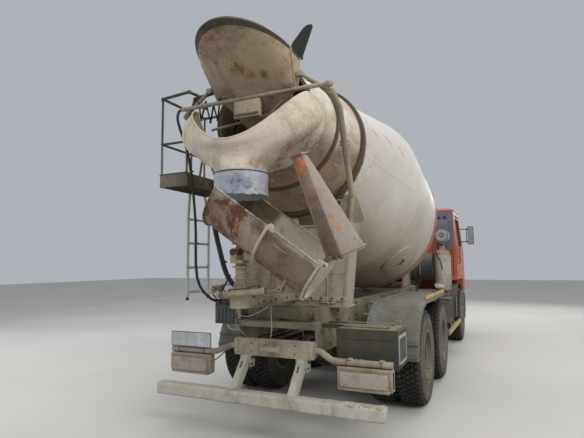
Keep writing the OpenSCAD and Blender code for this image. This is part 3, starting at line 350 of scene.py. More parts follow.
MAT = dict(
    frame=worn("frame_steel_dusty", c(142, 132, 112), dust=0.5, rust=0.25, streak=0.5, splat=0.35, seed=1, below=1.0, dustcol=c(146, 136, 116), grime=0.5, grimecol=c(84, 74, 60)),
    beige=worn("beige_paint_worn", c(168, 156, 137), dust=0.35, rust=0.3, streak=0.7, splat=0.3, seed=2, dustcol=c(168, 156, 136), grime=0.5),
    pale=worn("pale_paint_worn", c(196, 192, 182), dust=0.4, rust=0.35, streak=0.3, splat=0.3, seed=3, rustcol=(c(110, 78, 44), c(166, 132, 76)), dustcol=c(176, 168, 150), grime=0.5, grimecol=c(110, 102, 86)),
    chute=worn("chute_paint_worn", c(166, 150, 128), dust=0.35, rust=0.6, streak=0.5, splat=0.35, seed=4, grime=0.6),
    # funnel: rust spots, and broad soft darker patches high on both flanks
    funnel=worn("funnel_paint_worn", c(220, 206, 186), dust=0.25, rust=0.3, specks=0.9, streak=0.5, splat=0.15, seed=5, rustcol=(c(96, 62, 38), c(150, 104, 60)), dustcol=c(186, 174, 152), grime=0.35, grimecol=c(134, 112, 86), patches=((-0.14, -0.86, 2.52, 0.06, 0.7, c(140, 104, 66)), (0.20, -0.80, 2.50, 0.07, 0.75, c(136, 98, 58)), (0.30, -0.76, 2.53, 0.06, 0.6, c(140, 104, 66)), (0.46, -0.64, 2.62, 0.09, 0.8, c(128, 78, 44)), (0.37, -0.58, 2.56, 0.08, 0.95, c(124, 70, 38)), (0.61, -0.46, 2.69, 0.15, 0.85, c(104, 84, 60)), (0.51, -0.59, 2.675, 0.12, 0.55, c(128, 108, 82)), (0.22, -0.42, 2.53, 0.10, 0.6, c(112, 88, 58)), (0.56, -0.62, 2.78, 0.16, 0.5, c(140, 124, 106)), (0.60, -0.5, 2.95, 0.16, 0.45, c(136, 122, 104)), (-0.55, -0.6, 2.95, 0.2, 0.25, c(150, 136, 116)))),
    hopper=worn("hopper_paint_worn", c(190, 172, 144), dust=0.2, rust=0.55, specks=0.9, streak=0.35, splat=0.1, seed=6, rustcol=(c(86, 50, 26), c(166, 98, 42)), dustcol=c(172, 158, 134), grime=0.6, grimecol=c(122, 102, 76), patches=((-0.011, -0.69, 3.42, 0.085, 0.95, c(112, 62, 30)), (0.089, -0.62, 3.374, 0.045, 0.9, c(116, 66, 32)), (0.204, -0.6, 3.37, 0.05, 0.9, c(110, 64, 32)), (-0.15, -0.96, 3.62, 0.10, 0.8, c(104, 64, 38)), (0.0, -1.0, 3.64, 0.10, 0.75, c(100, 62, 36)), (-0.32, -0.85, 3.57, 0.10, 0.75, c(104, 64, 38)), (0.16, -0.95, 3.66, 0.10, 0.7, c(104, 66, 40)), (0.40, -0.76, 3.63, 0.07, 0.85, c(124, 70, 36)), (0.45, -0.66, 3.59, 0.06, 0.85, c(118, 66, 34)), (-0.25, -0.5, 3.33, 0.07, 0.6, c(120, 84, 50)))),
    column=worn("column_paint_worn", c(168, 152, 130), dust=0.4, rust=0.3, streak=0.5, splat=0.3, seed=7, grime=0.5, dustcol=c(172, 160, 140)),
    dark=worn("dark_steel_oily", c(50, 46, 42), dust=0.35, rust=0.25, streak=0.2, splat=0.25, seed=8, dustcol=c(112, 102, 88), up=0.6),
    cast=worn("cast_grey_dusty", c(96, 94, 88), dust=0.5, rust=0.3, streak=0.3, splat=0.2, seed=9, dustcol=c(140, 130, 112)),
    white=worn("white_paint_chalky", c(214, 210, 198), dust=0.25, rust=0.3, streak=0.4, splat=0.1, seed=10),
    olive=worn("toolbox_paint_dull", c(64, 62, 52), dust=0.3, rust=0.1, streak=0.5, splat=0.15, seed=11, dustcol=c(104, 98, 82), up=0.7, grime=0.4, grimecol=c(56, 50, 40)),
    fender=worn("fender_plastic_dusty", c(100, 100, 94), dust=0.5, rust=0.0, specks=0.3, streak=0.8, splat=0.1, seed=12, dustcol=c(132, 128, 112), rough=0.7, grime=0.35, grimecol=c(78, 74, 62), patches=((0.72, 1.0, 1.05, 0.16, 0.5, c(140, 148, 166)), (0.70, 1.15, 1.1, 0.13, 0.45, c(146, 152, 168)), (0.82, 0.9, 0.95, 0.1, 0.3, c(128, 134, 148)))),
    sleeve=worn("sleeve_faded_blue", c(178, 184, 198), dust=0.3, rust=0.0, specks=0.4, streak=0.6, splat=0.15, seed=13, dark=0.45, dustcol=c(176, 172, 166), rough=0.55, grime=0.35, grimecol=c(100, 100, 108), patches=((0.09, -0.88, 2.34, 0.085, 0.9, c(66, 76, 104)), (0.17, -0.84, 2.31, 0.06, 0.8, c(72, 80, 106)), (0.22, -0.75, 2.27, 0.08, 0.85, c(186, 178, 164)), (0.245, -0.66, 2.26, 0.08, 0.8, c(178, 168, 150)))),
    control=worn("control_blue_grey", c(70, 78, 92), dust=0.4, rust=0.25, streak=0.3, splat=0.15, seed=14, dustcol=c(120, 114, 104)),
    orange=worn("cab_orange_faded", c(206, 82, 38), dust=0.12, rust=0.05, specks=0.2, streak=0.25, splat=0.03, seed=15, dustcol=c(196, 130, 96), up=0.25, rough=0.42, below=1.5, coat=0.3),
    black=worn("black_plastic_dusty", c(40, 40, 41), dust=0.35, rust=0.0, specks=0.2, streak=0.3, splat=0.08, seed=16, dustcol=c(104, 98, 88), below=1.2),
    trim=worn("cab_trim_cloth", c(58, 58, 62), dust=0.2, rust=0.0, specks=0.0, streak=0.0, splat=0.0, seed=17, rough=0.9, fine=2.5),
    rim=worn("rim_dusty_grey", c(120, 116, 110), dust=0.55, rust=0.25, streak=0.1, splat=0.2, seed=18, dustcol=c(150, 142, 126)),
    ring=worn("ring_brown_steel", c(74, 56, 46), dust=0.25, rust=0.5, streak=0.1, splat=0.15, seed=19, dustcol=c(120, 104, 84), metal=0.3, rough=0.5, rustcol=(c(58, 36, 26), c(110, 66, 40))),
    grate=worn("grate_grey", c(92, 84, 74), dust=0.4, rust=0.4, streak=0.2, splat=0.2, seed=20),
    drum=drum_material(), tyre=tyre_material(), rubber=rubber_material("black_rubber_dull"),
    glass=glass_material(), lens=lens_material(),
    rod=metal_material("jack_rod_steel", (150, 146, 138), (120, 112, 100)),
    chromed=metal_material("mirror_metal", (190, 192, 196), (160, 160, 160), 0.15),
    yellow=worn("yellow_strip", c(214, 170, 52), dust=0.3, rust=0.0, specks=0.2, streak=0.2, splat=0.05, seed=21, dustcol=c(170, 150, 100)),
    amber=worn("amber_lens", c(206, 116, 30), dust=0.25, rust=0.0, specks=0.0, streak=0.0, splat=0.0, seed=22, rough=0.35),
    plate=worn("blank_sheet_white", c(214, 220, 228), dust=0.18, rust=0.0, specks=0.2, streak=0.25, splat=0.05, seed=24, rough=0.45, coat=0.2, up=0.1),
    olive2=worn("toolbox_top_dust", c(74, 71, 60), dust=0.7, rust=0.1, streak=0.1, splat=0.4, seed=25, dustcol=c(146, 136, 114)),
    bluewhite=worn("toolbox_side_pale", c(150, 158, 176), dust=0.2, rust=0.15, streak=0.5, splat=0.15, seed=26, rough=0.5),
    # crossmember: a lighter copy of the frame paint, painted light that makes up for the shade it sits in
    cross=worn("crossmember_painted_light", c(184, 173, 152), dust=0.4, rust=0.3, streak=0.5, splat=0.3, seed=28, grime=0.45, dustcol=c(176, 166, 144), grimecol=c(96, 86, 70)),
    greyblue=worn("plate_grey_blue", c(98, 102, 116), dust=0.2, rust=0.1, specks=0.3, streak=0.4, splat=0.05, seed=29, dustcol=c(128, 128, 130), grime=0.25, grimecol=c(70, 70, 76)),
    # water tank: its dark grey is painted shade, standing in for the deep shade round the tank
    tank=worn("tank_painted_shade_dark", c(52, 54, 60), dust=0.35, rust=0.15, streak=0.5, splat=0.1, seed=30, dustcol=c(104, 98, 88)),
    cap=worn("cap_pale_grey", c(166, 162, 158), dust=0.3, rust=0.0, specks=0.3, streak=0.3, splat=0.05, seed=31),
    concrete=worn("dried_concrete", c(176, 170, 154), dust=0.5, rust=0.0, specks=0.2, streak=0.1, splat=0.6, seed=23, rough=0.9, bump=0.8),
)

NODE_MAT = {
    "frame": ["chassis_frame"], "cross": ["rear_crossmember"], "tank": ["water_tank"],
    "beige": ["lamp_carriers", "rear_pedestal", "hopper_frame", "exhaust_silencer", "front_pedestal"],
    "pale": ["underride_guard"],
    "column": ["chute_column", "jack_barrel"],
    "chute": ["main_chute", "extension_chute"],
    "funnel": ["discharge_funnel"], "hopper": ["charging_hopper"],
    "dark": ["leaf_springs", "front_axle", "rear_axles", "knuckle_left", "knuckle_right", "mirrors", "roller_left", "roller_right"],
    "cast": ["engine", "drum_gearbox", "air_tanks", "fuel_tank"],
    "white": ["ladder"],
    "olive": ["toolbox", "toolbox_lid"],
    "fender": ["rear_mudguards"], "black": ["front_mudguards", "front_bumper"],
    "sleeve": ["outlet_sleeve"], "control": ["control_box"], "orange": ["cab_shell"],
    "trim": ["cab_interior"], "glass": ["cab_glass"], "drum": ["drum_shell"], "ring": ["roller_ring"],
    "grate": ["platform"], "rubber": ["splash_flap", "hoses"], "lens": ["tail_lamps"], "rod": ["jack_rod"],
}
_of = {n: k for k, ns in NODE_MAT.items() for n in ns}
for n in N:
    if "tyre" in n:
        _of[n] = "tyre"
    if "rim" in n:
        _of[n] = "rim"
    if n.startswith("door_"):
        _of[n] = "orange"
for n, o in N.items():
    m = MAT[_of[n]]
    if not o.data.materials:
        o.data.materials.append(m)
    for i in range(len(o.material_slots)):
        o.material_slots[i].material = m
    if n in ("door_left", "door_right"):
        # the pane is the part whose faces all lie inside the window's outline
        o.data.materials.append(MAT["glass"])
        for p in o.data.polygons:
            q = [o.data.vertices[v].co for v in p.vertices]
            if all(abs(abs(V((v.x, 0, 0)).x) - 1.1) < 0.2 and 2.005 < v.z < 2.605 and -3.945 <= v.y <= -3.225 for v in q) and all(
                    0.018 < (1.16 - max(0.0, v.z - 1.95) * 0.0904) - abs(v.x) < 0.028 for v in q):
                p.material_index = len(o.data.materials) - 1
    if n == "exhaust_silencer":
        o.data.materials.append(MAT["greyblue"])
        for p in o.data.polygons:
            if all(o.data.vertices[v].co.z > 1.95 for v in p.vertices) or all(o.data.vertices[v].co.z > 1.88 and o.data.vertices[v].co.y < 3.36 - 5.638 for v in p.vertices):
                p.material_index = len(o.data.materials) - 1
    if n == "platform":
        o.data.materials.append(MAT["black"])
        for p in o.data.polygons:
            if all(o.data.vertices[v].co.z > 2.605 for v in p.vertices):
                p.material_index = len(o.data.materials) - 1
    o.data.polygons.foreach_set("use_smooth", [True] * len(o.data.polygons))
    o.data.set_sharp_from_angle(angle=math.radians(28))

# ---------------------------------------------------------------- mesh building, in layout metres
rng = random.Random(7)


def frame_of(w, hint=(0, 0, 1)):
    w = V(w).normalized()
    h = V(hint)
    if abs(w.dot(h.normalized())) > 0.97:
        h = V((1, 0, 0))
    u = h.cross(w).normalized()
    return u, w.cross(u), w


def spline(pts, k=6, closed=False):
    """Catmull-Rom through the points."""
    P = [V(p) for p in pts]
    n = len(P)
    out = []
    for i in range(n if closed else n - 1):
        a, b, d, e = (P[(i - 1) % n] if closed or i > 0 else P[0]), P[i], P[(i + 1) % n], (P[(i + 2) % n] if closed or i + 2 < n else P[-1])
        for j in range(k):
            t = j / k
            out.append(0.5 * (2 * b + (d - a) * t + (2 * a - 5 * b + 4 * d - e) * t * t + (3 * b - a - 3 * d + e) * t ** 3))
    if not closed:
        out.append(P[-1].copy())
    return out


class Build:
    """Collects shapes into one mesh. Layout coordinates go in; done() writes the model's."""

    def __init__(s):
        s.v, s.f, s.m = [], [], []

    def add(s, verts, faces, mat=0):
        b = len(s.v)
        s.v += [V(p) for p in verts]
        s.f += [tuple(b + i for i in f) for f in faces]
        s.m += [mat] * len(faces)

    def _bm(s, bm, mat, mtx=None):
        bm.verts.ensure_lookup_table()
        s.add([(mtx @ v.co if mtx else v.co) for v in bm.verts], [[v.index for v in f.verts] for f in bm.faces], mat)
        bm.free()

    def box(s, lo, hi, bev=0.004, mat=0, mtx=None, seg=2):
        bm = bmesh.new()
        bmesh.ops.create_cube(bm, size=1)
        lo, hi = V([min(a, b) for a, b in zip(lo, hi)]), V([max(a, b) for a, b in zip(lo, hi)])
        d, q = hi - lo, (hi + lo) / 2
        for v in bm.verts:
            v.co = V([v.co[i] * d[i] + q[i] for i in range(3)])
        bev = min(bev, min(d) * 0.45)
        if bev > 0:
            bmesh.ops.bevel(bm, geom=bm.edges[:], offset=bev, segments=seg, profile=0.6, affect="EDGES")
        bm.verts.index_update()
        s._bm(bm, mat, mtx)

    def bar(s, a, b, w, h, bev=0.003, mat=0, hint=(0, 0, 1)):
        """A rectangular bar from a to b, w across and h along the hint's side."""
        a, b = V(a), V(b)
        u, v, t = frame_of(b - a, hint)
        m = Matrix.Identity(4)
        for i in range(3):
            m[i][0], m[i][1], m[i][2] = u[i], v[i], t[i]
        m.translation = a
        s.box((-w / 2, -h / 2, 0), (w / 2, h / 2, (b - a).length), bev, mat, m)

    def tube(s, pts, r, n=12, mat=0, closed=False, cap=True, wob=0.0):
        P = [V(p) for p in pts]
        m = len(P)
        rings = []
        t0 = (P[1] - P[0]).normalized()
        u, v, _ = frame_of(t0)
        for i in range(m):
            t = ((P[(i + 1) % m] - P[i - 1]) if closed else (P[min(i + 1, m - 1)] - P[max(i - 1, 0)])).normalized()
            u = (u - t * u.dot(t)).normalized()
            v = t.cross(u)
            rr = (r[i] if isinstance(r, (list, tuple)) else r) * (1 + wob * (mnoise.noise(P[i] * 9) if wob else 0))
            rings.append([P[i] + (u * math.cos(2 * math.pi * j / n) + v * math.sin(2 * math.pi * j / n)) * rr for j in range(n)])
        f = []
        for i in range(m if closed else m - 1):
            for j in range(n):
                a, b, c_, d = i * n + j, i * n + (j + 1) % n, ((i + 1) % m) * n + (j + 1) % n, ((i + 1) % m) * n + j
                f.append((a, b, c_, d))
        if cap and not closed:
            f.append(tuple(range(n - 1, -1, -1)))
            f.append(tuple((m - 1) * n + j for j in range(n)))
        s.add([p for q in rings for p in q], f, mat)

    def lathe(s, prof, origin, axis, n=48, mat=0, close=True, hint=(0, 0, 1), fn=None, mats=None):
        """prof: (along, radius) round the outline, closed if close. fn(point, angle, k) may move a point."""
        u, v, w = frame_of(axis, hint)
        o = V(origin)
        k = len(prof)
        verts = []
        for i in range(n):
            a = 2 * math.pi * i / n
            for q, (z, r) in enumerate(prof):
                p = o + w * z + (u * math.cos(a) + v * math.sin(a)) * r
                verts.append(fn(p, a, q) if fn else p)
        for i in range(n):
            for q in range(k if close else k - 1):
                q2 = (q + 1) % k
                if prof[q][1] < 1e-6 and prof[q2][1] < 1e-6:
                    continue
                fc = (i * k + q, ((i + 1) % n) * k + q, ((i + 1) % n) * k + q2, i * k + q2)
                s.f.append(tuple(len(s.v) + x for x in fc))
                s.m.append(mats[q] if mats else mat)
        s.v += verts

    def cyl(s, a, b, r, n=24, mat=0, bev=0.003, r2=None):
        a, b = V(a), V(b)
        L = (b - a).length
        r2 = r if r2 is None else r2
        bev = min(bev, L * 0.3, r * 0.4, r2 * 0.4)
        s.lathe([(0, 0), (0, r - bev), (bev, r), (L - bev, r2), (L, r2 - bev), (L, 0)], a, b - a, n, mat, close=False)

    def bolt(s, p, axis, r=0.012, h=0.01, mat=0, washer=True):
        p, axis = V(p), V(axis).normalized()
        a0 = rng.random() * 6.28
        u, v, w = frame_of(axis)
        if washer:
            s.lathe([(0, 0), (0, r * 1.45), (r * 0.22, r * 1.5), (r * 0.25, 0)], p, axis, 14, mat, close=False)
        ring = lambda z, k: [p + w * z + (u * math.cos(a0 + i * math.pi / 3) + v * math.sin(a0 + i * math.pi / 3)) * r * k for i in range(6)]
        vs = ring(0, 1.0) + ring(h * 0.85, 1.0) + ring(h, 0.86)
        f = [(i, (i + 1) % 6, 6 + (i + 1) % 6, 6 + i) for i in range(6)] + [(6 + i, 6 + (i + 1) % 6, 12 + (i + 1) % 6, 12 + i) for i in range(6)] + [tuple(range(12, 18))]
        s.add(vs, f, mat)

    def plate(s, poly, origin, xa, ya, th, bev=0.002, mat=0, holes=()):
        """A flat plate: outline points in the plane of xa and ya, th thick along their cross product, with a small bevel."""
        xa, ya = V(xa).normalized(), V(ya).normalized()
        za = xa.cross(ya).normalized()
        bm = bmesh.new()
        vs = [bm.verts.new(V((p[0], p[1], 0))) for p in poly]
        f = bm.faces.new(vs)
        f.normal_update()
        if f.normal.z < 0:
            f.normal_flip()
        ex = bmesh.ops.extrude_face_region(bm, geom=[f])
        top = [e for e in ex["geom"] if isinstance(e, bmesh.types.BMVert)]
        for v_ in top:
            v_.co.z += th
        if bev > 0:
            bm.normal_update()
            ed = [e for e in bm.edges if len(e.link_faces) == 2 and e.calc_face_angle(0) > 0.6]
            bmesh.ops.bevel(bm, geom=ed, offset=min(bev, th * 0.4), segments=1, profile=0.7, affect="EDGES")
        bm.verts.index_update()
        m = Matrix.Identity(4)
        for i in range(3):
            m[i][0], m[i][1], m[i][2] = xa[i], ya[i], za[i]
        m.translation = V(origin)
        s._bm(bm, mat, m)

    def shell(s, rows, th, mat=0, closed=True, fn=None, side=1, mat_in=None):
        """A wall th thick through rows of points, its normals by neighbour differences; rows all hold the same number."""
        R = [[V(p) for p in r] for r in rows]
        m, n = len(R), len(R[0])
        nor = []
        for i in range(m):
            q = []
            for j in range(n):
                a = R[i][(j + 1) % n if closed else min(j + 1, n - 1)] - R[i][(j - 1) % n if closed else max(j - 1, 0)]
                b = R[min(i + 1, m - 1)][j] - R[max(i - 1, 0)][j]
                x = a.cross(b)
                q.append(x.normalized() * side if x.length > 1e-12 else V((0, 0, 1)))
            nor.append(q)
        if fn:
            R = [[fn(R[i][j], nor[i][j], i, j) for j in range(n)] for i in range(m)]
        inner = [[R[i][j] - nor[i][j] * th for j in range(n)] for i in range(m)]
        o = m * n
        f = []
        cols = n if closed else n - 1
        for i in range(m - 1):
            for j in range(cols):
                j2 = (j + 1) % n
                a, b, c_, d = i * n + j, i * n + j2, (i + 1) * n + j2, (i + 1) * n + j
                f.append((a, b, c_, d))
                f.append((o + d, o + c_, o + b, o + a))
        for j in range(cols):
            j2 = (j + 1) % n
            f.append((j2, j, o + j, o + j2))
            f.append(((m - 1) * n + j, (m - 1) * n + j2, o + (m - 1) * n + j2, o + (m - 1) * n + j))
        if not closed:
            for i in range(m - 1):
                f.append((i * n, (i + 1) * n, o + (i + 1) * n, o + i * n))
                f.append(((i + 1) * n + n - 1, i * n + n - 1, o + i * n + n - 1, o + (i + 1) * n + n - 1))
        k0 = len(s.f)
        s.add([p for q in R for p in q] + [p for q in inner for p in q], f, mat)
        if mat_in is not None:
            for i in range(2 * (m - 1) * cols):
                if i % 2:
                    s.m[k0 + i] = mat_in

    def crust(s, pts, r=0.012, mat=0, seed=0, n=10):
        """Dried lumps along a route: small squashed rough blobs."""
        rg = random.Random(seed)
        for p in pts:
            k = r * rg.uniform(0.25, 0.85)
            bm = bmesh.new()
            bmesh.ops.create_icosphere(bm, subdivisions=2, radius=1)
            off = V((rg.uniform(-9, 9), rg.uniform(-9, 9), rg.uniform(-9, 9)))
            for v in bm.verts:
                d = 1 + 0.7 * mnoise.noise(v.co * 1.5 + off)
                v.co = V((v.co.x * k * 1.5, v.co.y * k * 1.2, v.co.z * k * 0.55)) * d + V(p)
            bm.verts.index_update()
            s._bm(bm, mat)

    def done(s, name, mats, body, replaces=(), sharp=32, merge=1e-5):
        me = bpy.data.meshes.new(name)
        me.from_pydata([M(*p) for p in s.v], [], s.f)
        for m in (mats if isinstance(mats, (list, tuple)) else [mats]):
            me.materials.append(m)
        me.polygons.foreach_set("material_index", s.m)
        bm = bmesh.new()
        bm.from_mesh(me)
        bmesh.ops.remove_doubles(bm, verts=bm.verts[:], dist=merge)
        bmesh.ops.recalc_face_normals(bm, faces=bm.faces[:])
        bm.to_mesh(me)
        bm.free()
        me.polygons.foreach_set("use_smooth", [True] * len(me.polygons))
        me.set_sharp_from_angle(angle=math.radians(sharp))
        me.update()
        o = bpy.data.objects.new(name, me)
        scene.collection.objects.link(o)
        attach(o, body)
        if replaces:
            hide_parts(*replaces)
        return o

# ==== pieces ====

# ---------------------------------------------------------------- drum
TILT = math.radians(11.7)
DO, DW, DU = V((0, 0.618, 2.941)), V((0, math.cos(TILT), -math.sin(TILT))), V((0, math.sin(TILT), math.cos(TILT)))


def D(s, r, deg):
    a = math.radians(deg)
    return DO + DW * s + (V((1, 0, 0)) * math.cos(a) + DU * math.sin(a)) * r


def drum_r(s):
    if s < -0.051:
        return 0.5 + (s + 0.9) * 0.26 / 0.849
    if s < 0.051:
        return 0.76
    if s < 1.374:
        return 0.76 + (s - 0.051) * 0.394 / 1.323
    if s < 2.85:
        return 1.154
    k = (s - 2.85) / 1.15
    return 1.154 - 0.554 * k ** 1.12


outer = []
for i in range(0, 25):
    s_ = -0.9 + i * (0.849 / 24)
    outer.append((s_, drum_r(s_)))
for i in range(0, 41):
    s_ = 0.051 + i * (1.323 / 40)
    outer.append((s_, drum_r(s_)))
for i in range(1, 41):
    s_ = 1.374 + i * (1.476 / 40)
    outer.append((s_, drum_r(s_)))
for i in range(1, 33):
    s_ = 2.85 + i * (1.15 / 32)
    outer.append((s_, drum_r(s_)))
outer += [(4.03, 0.5), (4.04, 0.26), (4.045, 0.25), (4.066, 0.245), (4.068, 0.0)]
inner_p = [(4.034, 0.0), (4.03, 0.2), (3.994, 0.594), (2.848, 1.148), (1.375, 1.148), (0.051, 0.754), (-0.05, 0.754), (-0.89, 0.494)]


def drum_dent(p, a, q):
    rel = p - DO
    s_ = rel.dot(DW)
    rad = rel - DW * s_
    if rad.length < 0.3 or -0.06 < s_ < 0.06:
        return p
    n = mnoise.noise(V((math.cos(a) * 1.6, math.sin(a) * 1.6, s_ * 1.3))) * 0.004 + mnoise.noise(V((math.cos(a) * 6, math.sin(a) * 6, s_ * 5))) * 0.0014
    return p - rad.normalized() * abs(n)


B_ = Build()
B_.lathe(outer + inner_p, DO, DW, 160, 0, fn=drum_dent)
# welded seams, mouth flange and stiffener
for s_, h, w in ((1.374, 0.0035, 0.012), (2.85, 0.0035, 0.012), (0.72, 0.002, 0.008), (2.12, 0.002, 0.008), (-0.66, 0.002, 0.006), (-0.2, 0.002, 0.006), (3.4, 0.002, 0.008)):
    r = drum_r(s_)
    B_.lathe([(s_ - w, drum_r(s_ - w) - 0.006), (s_ - w * 0.5, r - 0.005 + h * 0.7), (s_, r - 0.005 + h + 0.001), (s_ + w * 0.5, r - 0.005 + h * 0.7), (s_ + w, drum_r(s_ + w) - 0.006)], DO, DW, 128, 0, close=False)
B_.lathe([(-0.905, 0.492), (-0.905, 0.522), (-0.9, 0.527), (-0.885, 0.527), (-0.88, 0.52), (-0.88, 0.498)], DO, DW, 112, 1)
B_.lathe([(-0.47, 0.625), (-0.47, 0.652), (-0.465, 0.657), (-0.431, 0.657), (-0.426, 0.652), (-0.426, 0.63)], DO, DW, 128, 1)
# manhole: raised rim, cover and its bolts, low on the right
mh = []
for i in range(72):
    a = 2 * math.pi * i / 72
    e = 2.6
    cx, sx = math.cos(a), math.sin(a)
    mh.append((2.07 + 0.37 * math.copysign(abs(cx) ** (2 / e), cx), -50 + 12.8 * math.copysign(abs(sx) ** (2 / e), sx)))
B_.tube([D(s_, 1.158, g_) for s_, g_ in mh], 0.013, 8, 0, closed=True)
rows = []
for k in (1.0, 0.94, 0.9, 0.6, 0.25):
    rows.append([D(2.07 + (s_ - 2.07) * k, 1.154 + (0.004 if k > 0.95 else 0.012 if k > 0.8 else 0.013), -50 + (g_ + 50) * k) for s_, g_ in mh])
B_.shell(rows, 0.004, 0, side=-1)
for i in range(0, 72, 6):
    s_, g_ = mh[i]
    q = D(2.07 + (s_ - 2.07) * 0.86, 1.166, -50 + (g_ + 50) * 0.86)
    rel = q - DO
    B_.bolt(q, rel - DW * rel.dot(DW), 0.011, 0.01, 0)
# a long weld down each side
for g_ in (-8, 112, 232):
    B_.tube([D(0.06 + i * 0.066, drum_r(0.06 + i * 0.066) - 0.003, g_) for i in range(20)], 0.006, 6, 0)
    B_.tube([D(1.39 + i * 0.0735, 1.152, g_ + 24) for i in range(20)], 0.006, 6, 0)
# two spiral blades inside, seen through the mouth
for ph in (0, 180):
    rows = [[D(-0.60 + k * 1.7 / 90, drum_r(-0.60 + k * 1.7 / 90) - 0.012, ph + k * 6.2), D(-0.57 + k * 1.7 / 90, drum_r(-0.60 + k * 1.7 / 90) - 0.012 - 0.20, ph + k * 6.2)] for k in range(91)]
    B_.shell([[r[0], r[0].lerp(r[1], 0.5), r[1]] for r in rows], 0.006, 2, closed=False)
B_.done("mixing_drum", [MAT["drum"], MAT["ring"], MAT["frame"]], "drum", ["drum_shell"], sharp=30)

B_ = Build()
B_.lathe([(-0.05, 0.7605), (-0.05, 0.792), (-0.04, 0.8), (-0.032, 0.8028), (0.032, 0.8028), (0.04, 0.8), (0.05, 0.792), (0.05, 0.7605)], DO, DW, 192, 0)
for i in range(24):
    a = i * 15
    p = D(0.052, 0.772, a)
    B_.bar(D(0.051, 0.775, a), D(0.085, 0.778, a), 0.05, 0.016, 0.003, 0, hint=D(0, 1, a) - DO)
B_.done("roller_track", [MAT["ring"]], "drum", ["roller_ring"], sharp=30)

# ---------------------------------------------------------------- support rollers
for sgn, side in ((-1, "left"), (1, "right")):
    B_ = Build()
    ra = math.radians(37.9)
    R0 = 0.803 + 0.13 + 0.0003
    ro = DO + V((1, 0, 0)) * (sgn * R0 * math.sin(ra)) - DU * (R0 * math.cos(ra))
    B_.lathe([(-0.06, 0.03), (-0.06, 0.1), (-0.056, 0.118), (-0.05, 0.126), (-0.044, 0.1295), (0.044, 0.1295), (0.05, 0.126), (0.056, 0.118), (0.06, 0.1), (0.06, 0.03)], ro, DW, 64, 0)
    B_.cyl(ro - DW * 0.105, ro + DW * 0.105, 0.0298, 28, 0)
    for k in (-1, 1):
        B_.lathe([(0.0, 0.032), (0.0, 0.06), (0.008, 0.062), (0.012, 0.056), (0.012, 0.032)], ro + DW * (0.0605 if k > 0 else -0.0725), DW, 32, 1)
        for i in range(6):
            a = i * math.pi / 3
            B_.bolt(ro + DW * k * 0.0605 + (V((1, 0, 0)) * math.cos(a) + DU * math.sin(a)) * 0.085, DW * k, 0.009, 0.008, 1)
    B_.done("support_roller_" + side, [MAT["ring"], MAT["dark"]], "left_roller" if sgn < 0 else "right_roller", ["roller_" + side])
    # bearing housings with caps and bolts, on the pedestal
    B_ = Build()
    for k in (-0.09, 0.09):
        q = ro + DW * k
        B_.lathe([(-0.018, 0.031), (-0.018, 0.062), (-0.014, 0.066), (0.014, 0.066), (0.018, 0.062), (0.018, 0.031)], q, DW, 40, 0)
        for i in range(4):
            a = math.pi / 4 + i * math.pi / 2
            B_.bolt(q + DW * (0.018 if k > 0 else -0.018) + (V((1, 0, 0)) * math.cos(a) + DU * math.sin(a)) * 0.048, DW * k, 0.008, 0.007, 0)
    B_.lathe([(-0.135, 0.0), (-0.135, 0.036), (-0.13, 0.042), (-0.11, 0.045), (-0.1085, 0.045), (-0.1085, 0.0)], ro, DW, 32, 1, close=False)
    B_.crust([ro + V((rng.uniform(-0.11, 0.11), rng.uniform(-0.16, -0.11), rng.uniform(-0.17, -0.12))) for _ in range(16)], 0.022, 2, 5)
    B_.done("roller_bearings_" + side, [MAT["beige"], MAT["black"], MAT["concrete"]], "chassis")

# ---------------------------------------------------------------- hopper, flap, funnel, sleeve


def lerp_rows(rows, k):
    out = []
    n = len(rows)
    for i in range(n - 1):
        a, b, d, e = rows[max(i - 1, 0)], rows[i], rows[i + 1], rows[min(i + 2, n - 1)]
        for j in range(k):
            t = j / k
            out.append(tuple(0.5 * (2 * b[q] + (d[q] - a[q]) * t + (2 * a[q] - 5 * b[q] + 4 * d[q] - e[q]) * t * t + (3 * b[q] - a[q] - 3 * d[q] + e[q]) * t ** 3) for q in range(len(b))))
    out.append(tuple(rows[-1]))
    return out


def dent(amp=0.003, f=4.0, seed=0.0):
    return lambda p, nr, i, j: p + nr * (mnoise.noise(V(p) * f + V((seed, 0, 0))) * amp + mnoise.noise(V(p) * f * 3.1) * amp * 0.35)


NA = 96


def hop_ring(r):
    pts = []
    for i in range(NA):
        a = 2 * math.pi * i / NA
        s_ = math.sin(a)
        pts.append(V((r[0] * math.cos(a), r[1] - (r[3] * s_ if s_ > 0 else r[5] * s_), r[2] + (r[4] * s_ if s_ > 0 else -r[6] * s_))))
    return pts


HR = [(0.486, -0.42, 3.534, 0.680, 0.17, 0.18, 0.08), (0.44, -0.37, 3.27, 0.13, 0.02, 0.11, 0.24)]


def spout(s_, w, h, up):
    return [DO + DW * s_ + DU * (up - h * math.sin(2 * math.pi * i / NA)) + V((w * math.cos(2 * math.pi * i / NA), 0, 0)) for i in range(NA)]


top_rows = [hop_ring(tuple(HR[0][q] * (1 - k / 10) + HR[1][q] * k / 10 for q in range(7))) for k in range(11)]
sp_rows = [spout(-0.935 + 0.235 * k / 5, 0.32 - 0.02 * k / 5, 0.24 - 0.02 * k / 5, 0.13 - 0.07 * k / 5) for k in range(6)]
mid_rows = [[top_rows[-1][i].lerp(sp_rows[0][i], k / 6) for i in range(NA)] for k in range(1, 6)]
hop_all = top_rows + mid_rows + sp_rows
B_ = Build()
B_.shell(hop_all, 0.005, 0, fn=dent(0.004, 3.2), side=-1)
for k in range(2 * NA):
    B_.m[k] = 3
HC = V((0, -0.55, 3.56))
B_.tube([p + (V((0, -0.55, p.z)) - p).normalized() * 0.016 for p in top_rows[0]], 0.0155, 10, 1, closed=True, wob=0.18)
B_.tube([p + (V((0, -0.55, p.z)) - p).normalized() * 0.034 + V((0, 0, 0.012)) for p in top_rows[0]], 0.0075, 8, 1, closed=True, wob=0.25)
